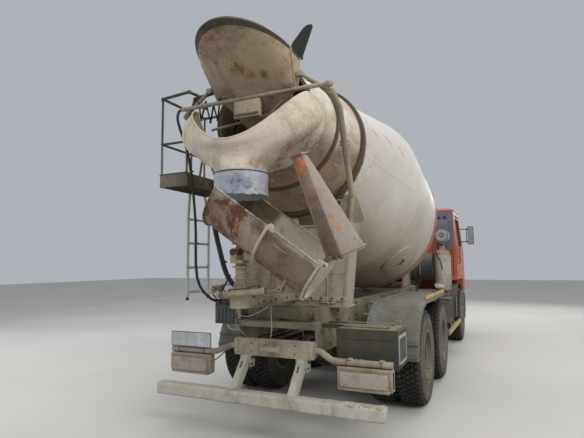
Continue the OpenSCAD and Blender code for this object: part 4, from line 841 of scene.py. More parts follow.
# stiffening strap round the lower throat, a bracket plate and the folded corner on the right
B_.tube([top_rows[-1][i] for i in range(NA)], 0.008, 8, 0, closed=True)
for sg in (1, -1):
    i0 = int(NA * (0.045 if sg > 0 else 0.455))
    B_.tube([r[i0] + V((sg * 0.004, -0.004, 0)) for r in top_rows], 0.011, 8, 0)
    i1 = int(NA * (0.01 if sg > 0 else 0.49))
    B_.tube([r[i1] + V((sg * 0.004, -0.004, 0)) for r in top_rows], 0.006, 8, 0)
B_.box((-0.17, -0.52, 3.02), (0.11, -0.47, 3.19), 0.008, 0)
B_.box((-0.16, -0.532, 3.04), (0.10, -0.519, 3.06), 0.004, 2)
B_.done("loading_hopper", [MAT["hopper"], MAT["dark"], MAT["grate"], MAT["black"]], "chassis", ["charging_hopper"])

B_ = Build()
fl = [(-0.42, 3.62), (0.42, 3.62), (0.44, 3.666), (0.486, 3.785), (0.512, 3.85), (0.541, 3.926), (0.536, 3.944), (0.528, 3.956), (0.482, 3.957), (0.46, 3.948), (0.44, 3.936), (0.384, 3.876), (0.33, 3.818), (0.286, 3.752), (0.25, 3.702), (-0.42, 3.70)]
B_.plate(fl, (0, -0.2165, 0), (1, 0, 0), (0, 0, 1), 0.009, 0.002, 0)
B_.plate([(-0.42, 3.61), (0.44, 3.61), (0.44, 3.64), (-0.42, 3.64)], (0, -0.229, 0), (1, 0, 0), (0, 0, 1), 0.004, 0.001, 1)
for i in range(7):
    B_.bolt((-0.38 + i * 0.13, -0.2335, 3.625), (0, -1, 0), 0.008, 0.006, 1)
B_.done("rubber_flap", [MAT["rubber"], MAT["dark"]], "chassis", ["splash_flap"])

FR = [(0.62, -0.48, 3.16, 0.42, 0.44, 0.19, 0.61, 2.0), (0.735, -0.485, 3.02, 0.41, 0.34, 0.18, 0.5, 1.7), (0.70, -0.50, 2.84, 0.37, 0.21, 0.15, 0.34, 1.2), (0.365, -0.62, 2.56, 0.255, 0.0, 0.18, 0.02, 1.0), (0.24, -0.66, 2.47, 0.24, 0.0, 0.24, 0.0, 1.0), (0.24, -0.66, 2.33, 0.24, 0.0, 0.24, 0.0, 1.0)]


def fun_ring(r):
    pts = []
    for i in range(NA):
        a = 2 * math.pi * i / NA
        s_ = math.sin(a)
        pts.append(V((r[0] * math.cos(a), r[1] - (r[3] * s_ if s_ > 0 else r[5] * s_), r[2] - (r[4] * s_ ** r[7] if s_ > 0 else -r[6] * s_))))
    return pts


B_ = Build()
FROWS = [fun_ring(r) for r in lerp_rows(FR, 8)]
B_.shell(FROWS, 0.005, 0, fn=dent(0.005, 3.0, 4.0), side=1)
B_.tube([p + (V((0, -0.5, p.z)) - p).normalized() * 0.006 for p in FROWS[0]], 0.009, 8, 0, closed=True, wob=0.2)
B_.tube([p + (p - V((0, -0.66, p.z))).normalized() * 0.002 for p in FROWS[-5]], 0.006, 8, 0, closed=True)
for i_, r_ in ((int(NA * 0.235), 0.0024), (int(NA * 0.09), 0.0018), (int(NA * 0.40), 0.0018)):
    B_.tube([row[i_] + V((0, -0.0005, 0)) for row in FROWS[2:-6]], r_, 6, 0)
B_.done("unloading_funnel", [MAT["funnel"]], "chassis", ["discharge_funnel"])

B_ = Build()
rows = []
for k in range(9):
    t = k / 8
    row = []
    for i in range(NA):
        a = 2 * math.pi * i / NA
        r = 0.25 - 0.006 * (1 - t) + 0.004 * math.sin(t * 9)
        z = 2.452 - t * 0.232
        if k == 8:
            z += 0.014 * mnoise.noise(V((math.cos(a) * 5, math.sin(a) * 5, 1))) + 0.01 * mnoise.noise(V((math.cos(a) * 15, math.sin(a) * 15, 1))) + 0.012
        row.append(V((r * math.cos(a), -0.66 + r * math.sin(a), min(2.455, max(z, 2.2155)))))
    rows.append(row)
B_.shell(rows, 0.006, 0, fn=lambda p, nr, i, j: p - nr * abs(mnoise.noise(p * 7)) * 0.006, side=-1)
B_.tube([V((0.2485 * math.cos(i * math.tau / 64), -0.66 + 0.2485 * math.sin(i * math.tau / 64), 2.437)) for i in range(64)], 0.0045, 6, 1, closed=True)
B_.crust([V((0.246 * math.cos(a), -0.66 + 0.246 * math.sin(a), 2.235 + rng.uniform(-0.012, 0.05))) for a in [math.radians(-62 + i * 3.2) for i in range(26)]], 0.009, 2, 3)
B_.done("chute_sleeve", [MAT["sleeve"], MAT["dark"], MAT["concrete"]], "chassis", ["outlet_sleeve"])

# ---------------------------------------------------------------- chutes
RAD = math.radians
COL = Matrix.Translation((0, -0.66, 0)) @ Matrix.Rotation(RAD(10.3), 4, "Z")
CHU = COL @ Matrix.Translation((0.04, -0.017, 2.237)) @ Matrix.Rotation(RAD(36.7), 4, "Y") @ Matrix.Rotation(RAD(11), 4, "X")
EXT = CHU @ Matrix.Translation((0.99, 0, 0.014)) @ Matrix.Rotation(RAD(-146), 4, "Y")


def mdir(d):
    return (-d[0], -d[1], d[2])


def chute_paint(name, base_a, base_b, s0, s1, rim=None, **kw):
    """Two tones along the chute's own axis, changing between s0 and s1, with a pale worn rim."""
    g = Graph(name)
    m3 = CHU.to_3x3()
    rel = g.vmath("SUBTRACT", g.P, tuple(M(*CHU.translation)))
    s_ = g.math("ADD", g.vmath("DOT_PRODUCT", rel, mdir(m3 @ V((1, 0, 0)))), g.math("MULTIPLY", g.math("SUBTRACT", g.noise(6, 6, 0.7), 0.5), 0.12))
    col = g.mix(g.step(s_, s0, s1), base_a, base_b)
    if rim:
        up_ = g.math("ADD", g.vmath("DOT_PRODUCT", rel, mdir(m3 @ V((0, 0, 1)))), g.math("MULTIPLY", g.math("SUBTRACT", g.noise(14, 8, 0.75), 0.5), 0.07))
        col = g.mix(g.step(up_, -0.055, -0.02), col, rim)
    return worn(name, None, col=col, g=g, **kw)


# outer wall: the lower length's darker brown is partly painted shade of its shadowed underside, with rust and grime
MAT["chute_out"] = chute_paint("chute_outer_worn_and_shade", c(166, 148, 124), c(116, 98, 82), 0.41, 0.44, rim=c(186, 176, 158), dust=0.25, rust=1.0, specks=0.8, streak=0.5, splat=0.2, seed=4,
                               grime=0.75, grimecol=c(104, 78, 56), rustcol=(c(76, 46, 30), c(138, 84, 46)), patches=((0.12, -0.93, 2.05, 0.10, 0.75, c(98, 66, 44)), (0.30, -0.905, 1.96, 0.09, 0.85, c(104, 66, 40)), (0.39, -0.88, 1.86, 0.09, 0.8, c(110, 70, 42)), (0.02, -0.94, 2.10, 0.06, 0.7, c(100, 68, 46))))
# inner wall: dark brown at the upper end, a dark tone with painted deep shade inside the trough; pale grey-white
# further down
MAT["chute_in"] = chute_paint("chute_inner_worn_and_shade", c(92, 76, 60), c(226, 216, 204), 0.24, 0.33, dust=0.3, rust=0.15, specks=0.6, streak=0.3, splat=0.35, seed=6, grime=0.25, grimecol=c(120, 104, 84), dustcol=c(190, 182, 168))


def ext_paint():
    """Grey-white on the right of the keel, brown and dark on its left, with rust spots and a long orange streak; the
    dark left side is a browner tone with painted shade of the side turned from the light.
    """
    g = Graph("extension_paint_and_side_shade")
    pl = g.math("ADD", g.vmath("DOT_PRODUCT", g.P, (0.884, 0.3149, -0.3457)), 1.1468 - 0.3149 * YM)
    pl = g.math("ADD", pl, g.math("MULTIPLY", g.math("SUBTRACT", g.noise(9, 8, 0.75), 0.5), 0.05))
    # painted shade on a browner tone: dark brown left of the keel, grey-white on its right
    col = g.mix(g.step(pl, -0.072, -0.05), c(152, 140, 127), c(88, 70, 54))
    return worn("extension_paint_and_side_shade", None, col=col, g=g, dust=0.2, rust=0.45, specks=0.7, streak=0.4, splat=0.15, seed=27, grime=0.3, grimecol=c(120, 98, 72), up=0.2,
                patches=((0.635, -0.765, 2.47, 0.05, 1.0, c(184, 100, 32)), (0.648, -0.765, 2.41, 0.05, 0.95, c(178, 96, 34)), (0.65, -0.77, 2.35, 0.045, 0.9, c(158, 90, 40)), (0.731, -0.755, 2.23, 0.06, 0.6, c(150, 92, 50)),
                         (0.883, -0.72, 2.00, 0.045, 1.0, c(192, 116, 40)), (0.945, -0.70, 1.915, 0.035, 0.9, c(180, 120, 50)), (0.77, -0.72, 2.16, 0.09, 0.35, c(120, 96, 70))))


MAT["ext"] = ext_paint()


def u_row(s_, w=0.29, d=0.40, n=16, top=0.0):
    pts = [V((s_, -w, top)), V((s_, -w, -(d - w) * 0.5))]
    pts += [V((s_, -w * math.cos(math.pi * i / n), -(d - w) - w * math.sin(math.pi * i / n))) for i in range(n + 1)]
    return pts + [V((s_, w, -(d - w) * 0.5)), V((s_, w, top))]


def u_plate(B, mt, s0, s1, w0, w1, top, mat=0, d0=None, d1=None, k=24):
    """A U-shaped flange between two U outlines."""
    a = [(-w0, top), *[(-w0 * math.cos(math.pi * i / k), -0.11 - w0 * math.sin(math.pi * i / k)) for i in range(k + 1)], (w0, top)]
    b = [(-w1, top), *[(-w1 * math.cos(math.pi * i / k), -0.11 - w1 * math.sin(math.pi * i / k)) for i in range(k + 1)], (w1, top)]
    n = len(a)
    bv = 0.002
    rings = []
    for s_, q in ((s0, 0), (s0 + bv, 1), (s1 - bv, 1), (s1, 0)):
        rings.append([V((s_, p[0], p[1])) for p in a] + [V((s_, p[0] * (1 if q else 0.996), p[1])) for p in reversed(b)])
    v = [mt @ p for r in rings for p in r]
    m = 2 * n
    f = []
    for i in range(3):
        for j in range(m):
            f.append((i * m + j, i * m + (j + 1) % m, (i + 1) * m + (j + 1) % m, (i + 1) * m + j))
    for e in (0, 3):
        for j in range(n - 1):
            f.append((e * m + j, e * m + j + 1, e * m + m - 2 - j, e * m + m - 1 - j))
    B.add(v, f, mat)


B_ = Build()
rows = [[CHU @ p for p in u_row(-0.158 + 1.133 * k / 36)] for k in range(37)]
B_.shell(rows, 0.005, 0, closed=False, fn=dent(0.003, 4.5, 2.0), side=1, mat_in=3)
for sg in (-1, 1):
    B_.tube([CHU @ V((-0.157 + 1.13 * k / 20, sg * 0.2885, -0.003)) for k in range(21)], 0.008, 8, 0, wob=0.2)
u_plate(B_, CHU, -0.15, -0.142, 0.287, 0.312, -0.014)
u_plate(B_, CHU, 0.420, 0.440, 0.287, 0.3175, -0.014, 4)
u_plate(B_, CHU, 0.948, 0.968, 0.287, 0.3175, -0.014, 4)
# small upright ears on the rim at the joint of the two lengths
for sg in (-1, 1):
    B_.plate([(0.40, -0.02), (0.50, -0.02), (0.47, 0.03), (0.45, 0.038), (0.435, 0.035)][::sg], CHU @ V((0, sg * 0.289, 0)), CHU.to_3x3() @ V((1, 0, 0)), CHU.to_3x3() @ V((0, 0, 1)), 0.007, 0.002, 4)
# closing sill at the upper end
B_.plate([(-0.21, -0.305), (0.21, -0.305)] + [(0.284 * math.cos(a), -0.11 + 0.284 * math.sin(a)) for a in [-math.radians(43 + i * 94 / 14) for i in range(15)]], CHU @ V((-0.156, 0, 0)), CHU.to_3x3() @ V((0, 1, 0)), CHU.to_3x3() @ V((0, 0, 1)), 0.014, 0.002, 0)
# hinge lugs with their pin bosses
for sg in (-1, 1):
    y0, y1 = (0.262, 0.294) if sg > 0 else (-0.294, -0.262)
    B_.lathe([(0, 0.0105), (0, 0.026), (0.002, 0.028), (0.03, 0.028), (0.032, 0.026), (0.032, 0.0105)], CHU @ V((0.99, y0, 0.014)), CHU.to_3x3() @ V((0, 1, 0)), 28, 0)
    B_.box((0.925, y0, -0.06), (0.97, y1, 0.028), 0.004, 0, CHU)
    B_.box((0.95, y0 + 0.001, -0.014), (0.974, y1 - 0.001, 0.034), 0.003, 0, CHU)
# strap handles and dried concrete on the outer wall and rims
for sg in (-1, 1):
    B_.tube([CHU @ V(p) for p in spline([(0.55, sg * 0.29, -0.09), (0.56, sg * 0.306, -0.09), (0.62, sg * 0.312, -0.09), (0.68, sg * 0.306, -0.09), (0.69, sg * 0.29, -0.09)], 4)], 0.006, 8, 0)
pts = []
for k in range(60):
    s_ = rng.uniform(0.5, 0.97)
    pts.append(CHU @ V((s_, -0.289 + rng.uniform(-0.004, 0.012), rng.uniform(-0.02, 0.004))))
for k in range(46):
    pts.append(CHU @ V((rng.uniform(0.945, 0.972), 0, 0)) + (CHU.to_3x3() @ V((0, 0, -1))) * 0)
B_.crust(pts[:60], 0.011, 1, 11)
# swing bracket and jack eye under the trough
lp, ep = (-0.04, 1.74), (0.40, 1.42)
for p, y0, y1, r, hr in ((lp, -0.062, 0.062, 0.028, 0.0), (ep, -0.17, -0.155, 0.024, 0.0), (ep, -0.105, -0.09, 0.024, 0.0)):
    B_.cyl(COL @ V((p[0], y0, p[1])), COL @ V((p[0], y1, p[1])), r, 28, 0)
cdir = V((math.sin(RAD(-53.3)) * -1, 0, 0))
BR = COL @ Matrix.Translation((lp[0], -0.055, lp[1])) @ Matrix.Rotation(RAD(-53.3), 4, "Y")
B_.box((0.018, 0, -0.018), (0.088, 0.110, 0.018), 0.003, 0, BR)
BE = COL @ Matrix.Translation((ep[0], -0.17, ep[1])) @ Matrix.Rotation(RAD(-53.3), 4, "Y")
for y in (0.002, 0.067):
    B_.box((0.012, y, -0.017), (0.13, y + 0.011, 0.017), 0.002, 0, BE)
B_.cyl(COL @ V((lp[0], -0.095, lp[1])), COL @ V((lp[0], 0.095, lp[1])), 0.0198, 24, 2)
B_.cyl(COL @ V((ep[0], -0.172, ep[1])), COL @ V((ep[0], -0.088, ep[1])), 0.0118, 20, 2)
B_.done("swing_chute", [MAT["chute_out"], MAT["concrete"], MAT["dark"], MAT["chute_in"], MAT["pale"]], "main_chute", ["main_chute"])

B_ = Build()


def e_row(x, n=20):
    R = 0.215 - 0.1198 * (x + 0.06)
    zc = -0.085 + (x + 0.06) * 0.0699
    a0 = math.asin(max(-1, min(1, (-0.014 - zc) / R)))
    return [V((x, R * math.cos(a0 + (math.pi - 2 * a0 - 2 * math.pi) * i / n), zc + R * math.sin(a0 + (math.pi - 2 * a0 - 2 * math.pi) * i / n))) for i in range(n + 1)]


rows = [[EXT @ p for p in e_row(0.016 + 0.928 * k / 30)] for k in range(31)]
B_.shell(rows, 0.005, 0, closed=False, fn=dent(0.003, 4.5, 8.0), side=-1)
for e in (0, -1):
    B_.tube([EXT @ e_row(0.018 + 0.925 * k / 20)[e] for k in range(21)], 0.008, 8, 0, wob=0.2)
for x in (0.03, 0.92):
    rr = [e_row(x), e_row(x + 0.012)]
    B_.shell([[EXT @ (p + V((0, 0, 0))) for p in rr[0]], [EXT @ p for p in rr[1]]], 0.004, 0, closed=False, side=-1, fn=lambda p, nr, i, j: p + nr * 0.016)
for sg in (-1, 1):
    y0, y1 = (0.226, 0.256) if sg > 0 else (-0.256, -0.226)
    B_.cyl(EXT @ V((0, y0, 0)), EXT @ V((0, y1, 0)), 0.024, 28, 0)
    B_.box((0.0, y0, -0.022), (0.03, y1, 0.022), 0.004, 0, EXT)
    B_.box((0.014, sg * 0.197, -0.058), (0.054, sg * 0.256, -0.002), 0.004, 0, EXT)
    B_.cyl(EXT @ V((0, 0.24 if sg > 0 else -0.298, 0)), EXT @ V((0, 0.298 if sg > 0 else -0.24, 0)), 0.0098, 20, 2)
B_.tube([EXT @ V(p) for p in spline([(0.70, 0.12, -0.05), (0.71, 0.14, -0.05), (0.77, 0.142, -0.05), (0.83, 0.132, -0.048), (0.84, 0.102, -0.048)], 4)], 0.006, 8, 0)
B_.crust([EXT @ (e_row(0.02 + rng.random() * 0.1)[rng.randint(2, 18)]) for _ in range(26)], 0.009, 1, 21)
B_.done("folding_chute", [MAT["ext"], MAT["concrete"], MAT["dark"]], "extension", ["extension_chute"])

# ---------------------------------------------------------------- tyres and wheel fittings


def tyre_mesh(B, x0, w, y, sg, drive, seed):
    """One tyre: a lathed carcass with stepped sidewalls and rows of tread blocks round it."""
    o, ax = V((sg * x0, y, 0.54)), V((sg, 0, 0))
    half = [(0.012, 0.2862), (-0.001, 0.290), (-0.005, 0.304), (-0.0035, 0.3075), (-0.0048, 0.312), (-0.006, 0.34), (-0.006, 0.352), (-0.0035, 0.3545), (-0.0035, 0.358), (-0.0058, 0.3605),
            (-0.0058, 0.40), (-0.005, 0.436), (-0.004, 0.462), (-0.0015, 0.4645), (-0.001, 0.468), (-0.0032, 0.4705), (0.002, 0.488), (0.010, 0.503), (0.016, 0.508)]
    tr0, tr1 = 0.024, w - 0.024
    grooves = [tr0 + (tr1 - tr0) * q for q in ((0.2, 0.4, 0.6, 0.8) if drive else (0.24, 0.5, 0.76))]
    deep = 0.524 if drive else 0.5265
    prof = half + [(0.022, 0.516)]
    if drive:
        prof += [(0.034, deep - 0.001), (w - 0.034, deep - 0.001)]
    else:
        q = 0.026
        prof += [(q, 0.530), (0.046, 0.5394)]
        for gx in grooves:
            prof += [(gx - 0.009, 0.5399), (gx - 0.006, deep), (gx + 0.006, deep), (gx + 0.009, 0.5399)]
        prof += [(w - 0.046, 0.5394), (w - q, 0.530)]
    prof += [(w - 0.022, 0.516)] + [(w - a, r) for a, r in reversed(half)]
    B.lathe(prof, o, ax, 96, 0)
    u, v, a_ = frame_of(ax)
    rg = random.Random(seed)

    def block(xa, xb, a0, a1, r0, ra, rb, sl=0.0, ch=0.003):
        """A tread block between two angles; ra and rb are its outer radii at its two sides."""
        pts = []
        for (xx_, rr) in ((xa, ra), (xb, rb)):
            for k, ang in enumerate((a0, a1)):
                an = ang + (sl if xx_ == xb else 0)
                e = V((0, 0, 0)) + u * math.cos(an) + v * math.sin(an)
                pts.append(o + a_ * xx_ + e * r0)
                ins = (a1 - a0) * 0.06 * (1 if k == 0 else -1)
                e2 = u * math.cos(an + ins) + v * math.sin(an + ins)
                pts.append(o + a_ * (xx_ + (ch if xx_ == xa else -ch)) + e2 * rr)
        f = [(0, 2, 3, 1), (4, 5, 7, 6), (0, 1, 5, 4), (2, 6, 7, 3), (1, 3, 7, 5)]
        B.add(pts, f, 0)
    nb = 54 if drive else 72
    st = math.tau / nb
    if drive:
        edges = [tr0] + grooves + [tr1]
        for row in range(5):
            xa, xb = edges[row] + (0.005 if row else -0.006), edges[row + 1] - (0.005 if row < 4 else -0.006)
            for i in range(nb):
                a0 = i * st + (row % 2) * st * 0.5 + rg.uniform(-0.003, 0.003)
                ra = 0.529 if row == 0 else 0.5397
                rb = 0.529 if row == 4 else 0.5397
                block(xa, xb, a0, a0 + st * 0.72, 0.519, ra, rb, 0.01 if row % 2 else -0.01)
                if row == 0:
                    block(xa + 0.024, xb, a0, a0 + st * 0.72, 0.519, 0.5395, 0.5397, -0.005)
                if row == 4:
                    block(xa, xb - 0.024, a0, a0 + st * 0.72, 0.519, 0.5397, 0.5395, -0.005)
        for side, x_ in ((0, -0.001), (1, w + 0.001)):
            for i in range(nb):
                a0 = i * st + (0 if side == 0 else 0) + 0.01
                block(x_ - 0.003, x_ + 0.012 if side == 0 else x_ + 0.003, a0, a0 + st * 0.5, 0.47, 0.497, 0.497) if side == 0 else block(x_ - 0.012, x_ + 0.003, a0, a0 + st * 0.5, 0.47, 0.497, 0.497)
    else:
        for side in (0, 1):
            for i in range(nb):
                a0 = i * st
                block(0.004 if side == 0 else w - 0.03, 0.03 if side == 0 else w - 0.004, a0, a0 + st * 0.55, 0.50, 0.514 if side == 0 else 0.532, 0.532 if side == 0 else 0.514)


def nuts(B, x, y, r, n, size, ln, sg, mat=0, stud=True):
    for i in range(n):
        a = math.tau * i / n + 0.2
        p = V((sg * x, y + r * math.cos(a), 0.54 + r * math.sin(a)))
        B.bolt(p, (sg, 0, 0), size, ln, mat)
        if stud:
            B.cyl(p, p + V((sg * (ln + 0.012), 0, 0)), size * 0.5, 10, mat, 0.002)


AXY = {"rear": 1.49, "mid": 2.89, "front": 6.43}
for wh in ("rear", "mid", "front"):
    for sg, side in ((-1, "left"), (1, "right")):
        y = AXY[wh]
        body = "front_%s_wheel" % side if wh == "front" else "%s_%s_wheels" % (wh, side)
        B_ = Build()
        if wh == "front":
            tyre_mesh(B_, 0.879, 0.315, y, sg, False, 3)
        else:
            tyre_mesh(B_, 0.954, 0.29, y, sg, True, 4)
            tyre_mesh(B_, 0.624, 0.29, y, sg, True, 5)
        B_.done("%s_%s_%s" % (wh, "tyre" if wh == "front" else "twin_tyres", side), [MAT["tyre"]], body, ["front_tyre_" + side if wh == "front" else "%s_tyres_%s" % (wh, side)], sharp=28)
        B_ = Build()
        if wh == "front":
            nuts(B_, 1.194, y, 0.1285, 10, 0.0165, 0.018, sg)
            B_.lathe([(0.3155, 0.0), (0.3155, 0.088), (0.317, 0.09), (0.3195, 0.088), (0.3205, 0.06), (0.3205, 0.0)], (sg * 0.879, y, 0.54), (sg, 0, 0), 48, 1, close=False)
            for i in range(8):
                a = i * math.pi / 4
                B_.bolt((sg * 1.1985, y + 0.075 * math.cos(a), 0.54 + 0.075 * math.sin(a)), (sg, 0, 0), 0.006, 0.001, 1, washer=False)
            xo, xi = 1.194, 0.879
            B_.tube(spline([(sg * 1.17, y + 0.15, 0.72), (sg * 1.186, y + 0.153, 0.725), (sg * 1.19, y + 0.135, 0.70)], 4), 0.004, 8, 1)
        else:
            nuts(B_, 0.9205, y, 0.165, 10, 0.0165, 0.03, sg)
            nuts(B_, 1.0142, y, 0.095, 8, 0.010, 0.009, sg, stud=False)
            B_.lathe([(0.0605, 0.0), (0.0605, 0.105), (0.063, 0.11), (0.066, 0.106), (0.067, 0.075), (0.072, 0.07), (0.074, 0.0)], (sg * 0.954, y, 0.54), (sg, 0, 0), 48, 1, close=False)
            B_.tube(spline([(sg * 0.925, y + 0.10, 0.75), (sg * 0.99, y + 0.115, 0.78), (sg * 1.06, y + 0.12, 0.785)], 4), 0.004, 8, 1)
            xo, xi = 1.244, 0.954
        for x_, d in ((xo, 1), (xi, -1)):
            B_.lathe([(0.0, 0.262), (0.0, 0.294), (0.004 * d, 0.2965), (0.006 * d, 0.294), (0.006 * d, 0.284), (-0.004 * d, 0.272), (-0.016 * d, 0.2615)], (sg * x_, y, 0.54), (sg, 0, 0), 72, 0)
            B_.lathe([(-0.075 * d, 0.2615), (-0.07 * d, 0.252), (-0.055 * d, 0.252), (-0.05 * d, 0.2615)], (sg * x_, y, 0.54), (sg, 0, 0), 64, 0)
        for i in range(5):
            a = i * 1.26 + 0.5
            B_.box((-0.016, -0.006, 0), (0.016, 0.006, 0.006), 0.002, 1, Matrix.Translation((sg * (xo - 0.03), y + 0.257 * math.cos(a), 0.54 + 0.257 * math.sin(a))))
        B_.done("%s_wheel_fittings_%s" % (wh, side), [MAT["rim"], MAT["cast"]], body, sharp=30)

# ---------------------------------------------------------------- rear mudguards with ribs, rolled edge and strips
for sg, side in ((-1, "left"), (1, "right")):
    B_ = Build()
    cx = [0.6415, 0.66, 0.70, 0.78, 0.86, 0.94, 1.02, 1.10, 1.17, 1.215, 1.236, 1.2455, 1.2495]
    dz = [-0.030, -0.004, 0.0, 0.0, 0.0, 0.0, 0.0, 0.0, 0.0, -0.001, -0.005, -0.013, -0.040]
    path = []          # (y, z, normal y, normal z) down the rear arc, along the deck and over the front fold
    for i in range(0, 53):
        a = math.radians(175 - 85 * i / 52)
        rr = 0.6492
        if i % 8 in (3, 4):
            rr += 0.0
        else:
            rr -= 0.0022
        path.append((1.49 + rr * math.cos(a), 0.54 + rr * math.sin(a), math.cos(a), math.sin(a)))
    for i in range(1, 30):
        yy = 1.49 + 1.645 * i / 29
        path.append((yy, 1.1892 - (0.0 if i % 5 in (2,) else 0.0018), 0, 1))
    for a in (60, 30, 5):
        path.append((3.135 + 0.0145 * math.cos(math.radians(a)), 1.1745 + 0.0145 * math.sin(math.radians(a)), math.cos(math.radians(a)), math.sin(math.radians(a))))
    path.append((3.1495, 1.133, 1, 0))
    rows = [[V((sg * x, py + ny * d, pz + nz * d)) for x, d in zip(cx, dz)] for py, pz, ny, nz in path]
    B_.shell(rows, 0.0045, 0, closed=False, fn=lambda p, nr, i, j: p - nr * (0.003 * abs(mnoise.noise(p * 5)) + 0.0015 * abs(mnoise.noise(p * 17))), side=-sg)
    # stiffening lip across the foot of the arc, its angle bracket, and clamp plates with bolts
    for ang, dr in ((172, 0.004), (160.5, 0.006)):
        a = math.radians(ang)
        c0 = V((0, 1.49 + (0.649 + dr) * math.cos(a), 0.54 + (0.649 + dr) * math.sin(a)))
        B_.bar(c0 + V((sg * 0.65, 0, 0)), c0 + V((sg * 1.245, 0, 0)), 0.012, 0.03, 0.004, 0, hint=(0, math.cos(a), math.sin(a)))
    for ang in (150, 137):
        a = math.radians(ang)
        for x_ in (0.99, 1.03):
            p = V((sg * x_, 1.49 + 0.650 * math.cos(a), 0.54 + 0.650 * math.sin(a)))
            B_.bolt(p, (0, math.cos(a), math.sin(a)), 0.011, 0.009, 1)
    a = math.radians(143)
    B_.bar(V((sg * 1.01, 1.49 + 0.653 * math.cos(math.radians(152)), 0.54 + 0.653 * math.sin(math.radians(152)))), V((sg * 1.01, 1.49 + 0.653 * math.cos(math.radians(147)), 0.54 + 0.653 * math.sin(math.radians(147)))), 0.05, 0.006, 0.002, 1, hint=(0, math.cos(a), math.sin(a)))
    for ang in (103, 128, 155):
        a = math.radians(ang)
        pts = [V((sg * x_, 1.49 + 0.636 * math.cos(a), 0.54 + 0.636 * math.sin(a))) for x_ in (0.60, 0.9, 1.2)]
        B_.tube(pts, 0.016, 10, 1)
    # brackets from the frame, each a boxed arm with a base plate and bolts
    for y in (1.69, 2.54, 3.06):
        B_.box((sg * 0.446, y, 1.092), (sg * 1.2, y + 0.04, 1.183), 0.006, 1)
        B_.box((sg * 0.4335, y - 0.035, 1.06), (sg * 0.446, y + 0.075, 1.2), 0.003, 1)
        for yy, z in ((y - 0.02, 1.085), (y + 0.06, 1.085), (y - 0.02, 1.18), (y + 0.06, 1.18)):
            B_.bolt((sg * 0.446, yy, z), (sg, 0, 0), 0.010, 0.009, 1)
        for x_ in (0.72, 0.95, 1.15):
            B_.bolt((sg * x_, y + 0.02, 1.1895), (0, 0, 1), 0.011, 0.008, 1)
    # the lateral arm behind, carrying the arc's foot
    B_.tube([V((sg * 0.436, 1.02, 0.86)), V((sg * 0.60, 1.0, 0.86)), V((sg * 0.66, 0.93, 0.80)), V((sg * 1.18, 0.93, 0.80))], 0.019, 12, 1)
    # a rusty cleat and dried lumps on the deck
    B_.bar((sg * 0.74, 1.62, 1.1935), (sg * 0.735, 2.62, 1.1935), 0.06, 0.008, 0.003, 2, hint=(0, 0, 1))
    B_.crust([V((sg * rng.uniform(0.68, 1.2), rng.uniform(1.2, 2.9), 1.19)) if k % 3 else V((sg * rng.uniform(0.68, 1.15), 1.49 - 0.649 * math.sin(0.35), 0.54 + 0.649 * math.cos(0.35))) for k in range(34)], 0.013, 3, 31)
    B_.done("rear_fenders_" + side, [MAT["fender"], MAT["frame"], MAT["grate"], MAT["concrete"]], "chassis", ["rear_mudguards"] if sg > 0 else [], sharp=34)
    # strip along the outer edge with its carrier and a strap
    B_ = Build()
    B_.box((sg * 1.236, 1.47, 1.188), (sg * 1.2492, 3.11, 1.192), 0.0015, 1)
    B_.box((sg * 1.2395, 1.47, 1.188), (sg * 1.2445, 3.11, 1.240), 0.0015, 1)
    for k in range(3):
        B_.box((sg * 1.2445, 1.48 + k * 0.545, 1.194), (sg * 1.2485, 1.48 + k * 0.545 + 0.53, 1.237), 0.0015, 0)
    for k in range(7):
        B_.bolt((sg * 1.2392, 1.52 + k * 0.26, 1.2), (-sg, 0, 0), 0.006, 0.005, 1)
    B_.tube(spline([(sg * 1.19, 2.06, 1.196), (sg * 1.234, 2.14, 1.255), (sg * 1.2455, 2.2, 1.235), (sg * 1.245, 2.26, 1.185)], 5), 0.0045, 8, 2)
    B_.done("fender_strip_" + side, [MAT["yellow"], MAT["frame"], MAT["rubber"]], "chassis", sharp=30)
    # low side rail with its strip
    B_ = Build()
    B_.box((sg * 1.218, 3.63, 0.475), (sg * 1.246, 5.47, 0.555), 0.006, 1)
    for k in range(4):
        B_.box((sg * 1.2455, 3.66 + k * 0.455, 0.487), (sg * 1.2492, 3.66 + k * 0.455 + 0.43, 0.543), 0.0015, 0)
    for y, x_, z in ((3.95, 0.84, 0.60), (4.72, 1.15 if sg > 0 else 0.56, 0.62), (5.08, 1.15 if sg > 0 else 0.56, 0.62)):
        if sg < 0:
            x_, z = 1.10, 0.62
        B_.box((sg * x_, y - 0.02, 0.495), (sg * 1.225, y + 0.02, 0.535), 0.004, 1)
        B_.box((sg * (x_ - 0.006), y - 0.03, 0.495), (sg * (x_ + 0.006), y + 0.03, z + 0.04), 0.003, 1)
        B_.bolt((sg * (x_ + 0.006), y, z + 0.015), (sg, 0, 0), 0.009, 0.008, 1)
    B_.done("side_rail_" + side, [MAT["yellow"], MAT["frame"]], "chassis", sharp=30)

# ---------------------------------------------------------------- tail lamps, blank plate, carriers


def round_rect(x0, x1, z0, z1, r, n=6):
    out = []
    for cx_, cz_, a0 in ((x1 - r, z1 - r, 0), (x0 + r, z1 - r, 90), (x0 + r, z0 + r, 180), (x1 - r, z0 + r, 270)):
        out += [(cx_ + r * math.cos(math.radians(a0 + 90 * i / n)), cz_ + r * math.sin(math.radians(a0 + 90 * i / n))) for i in range(n + 1)]
    return out


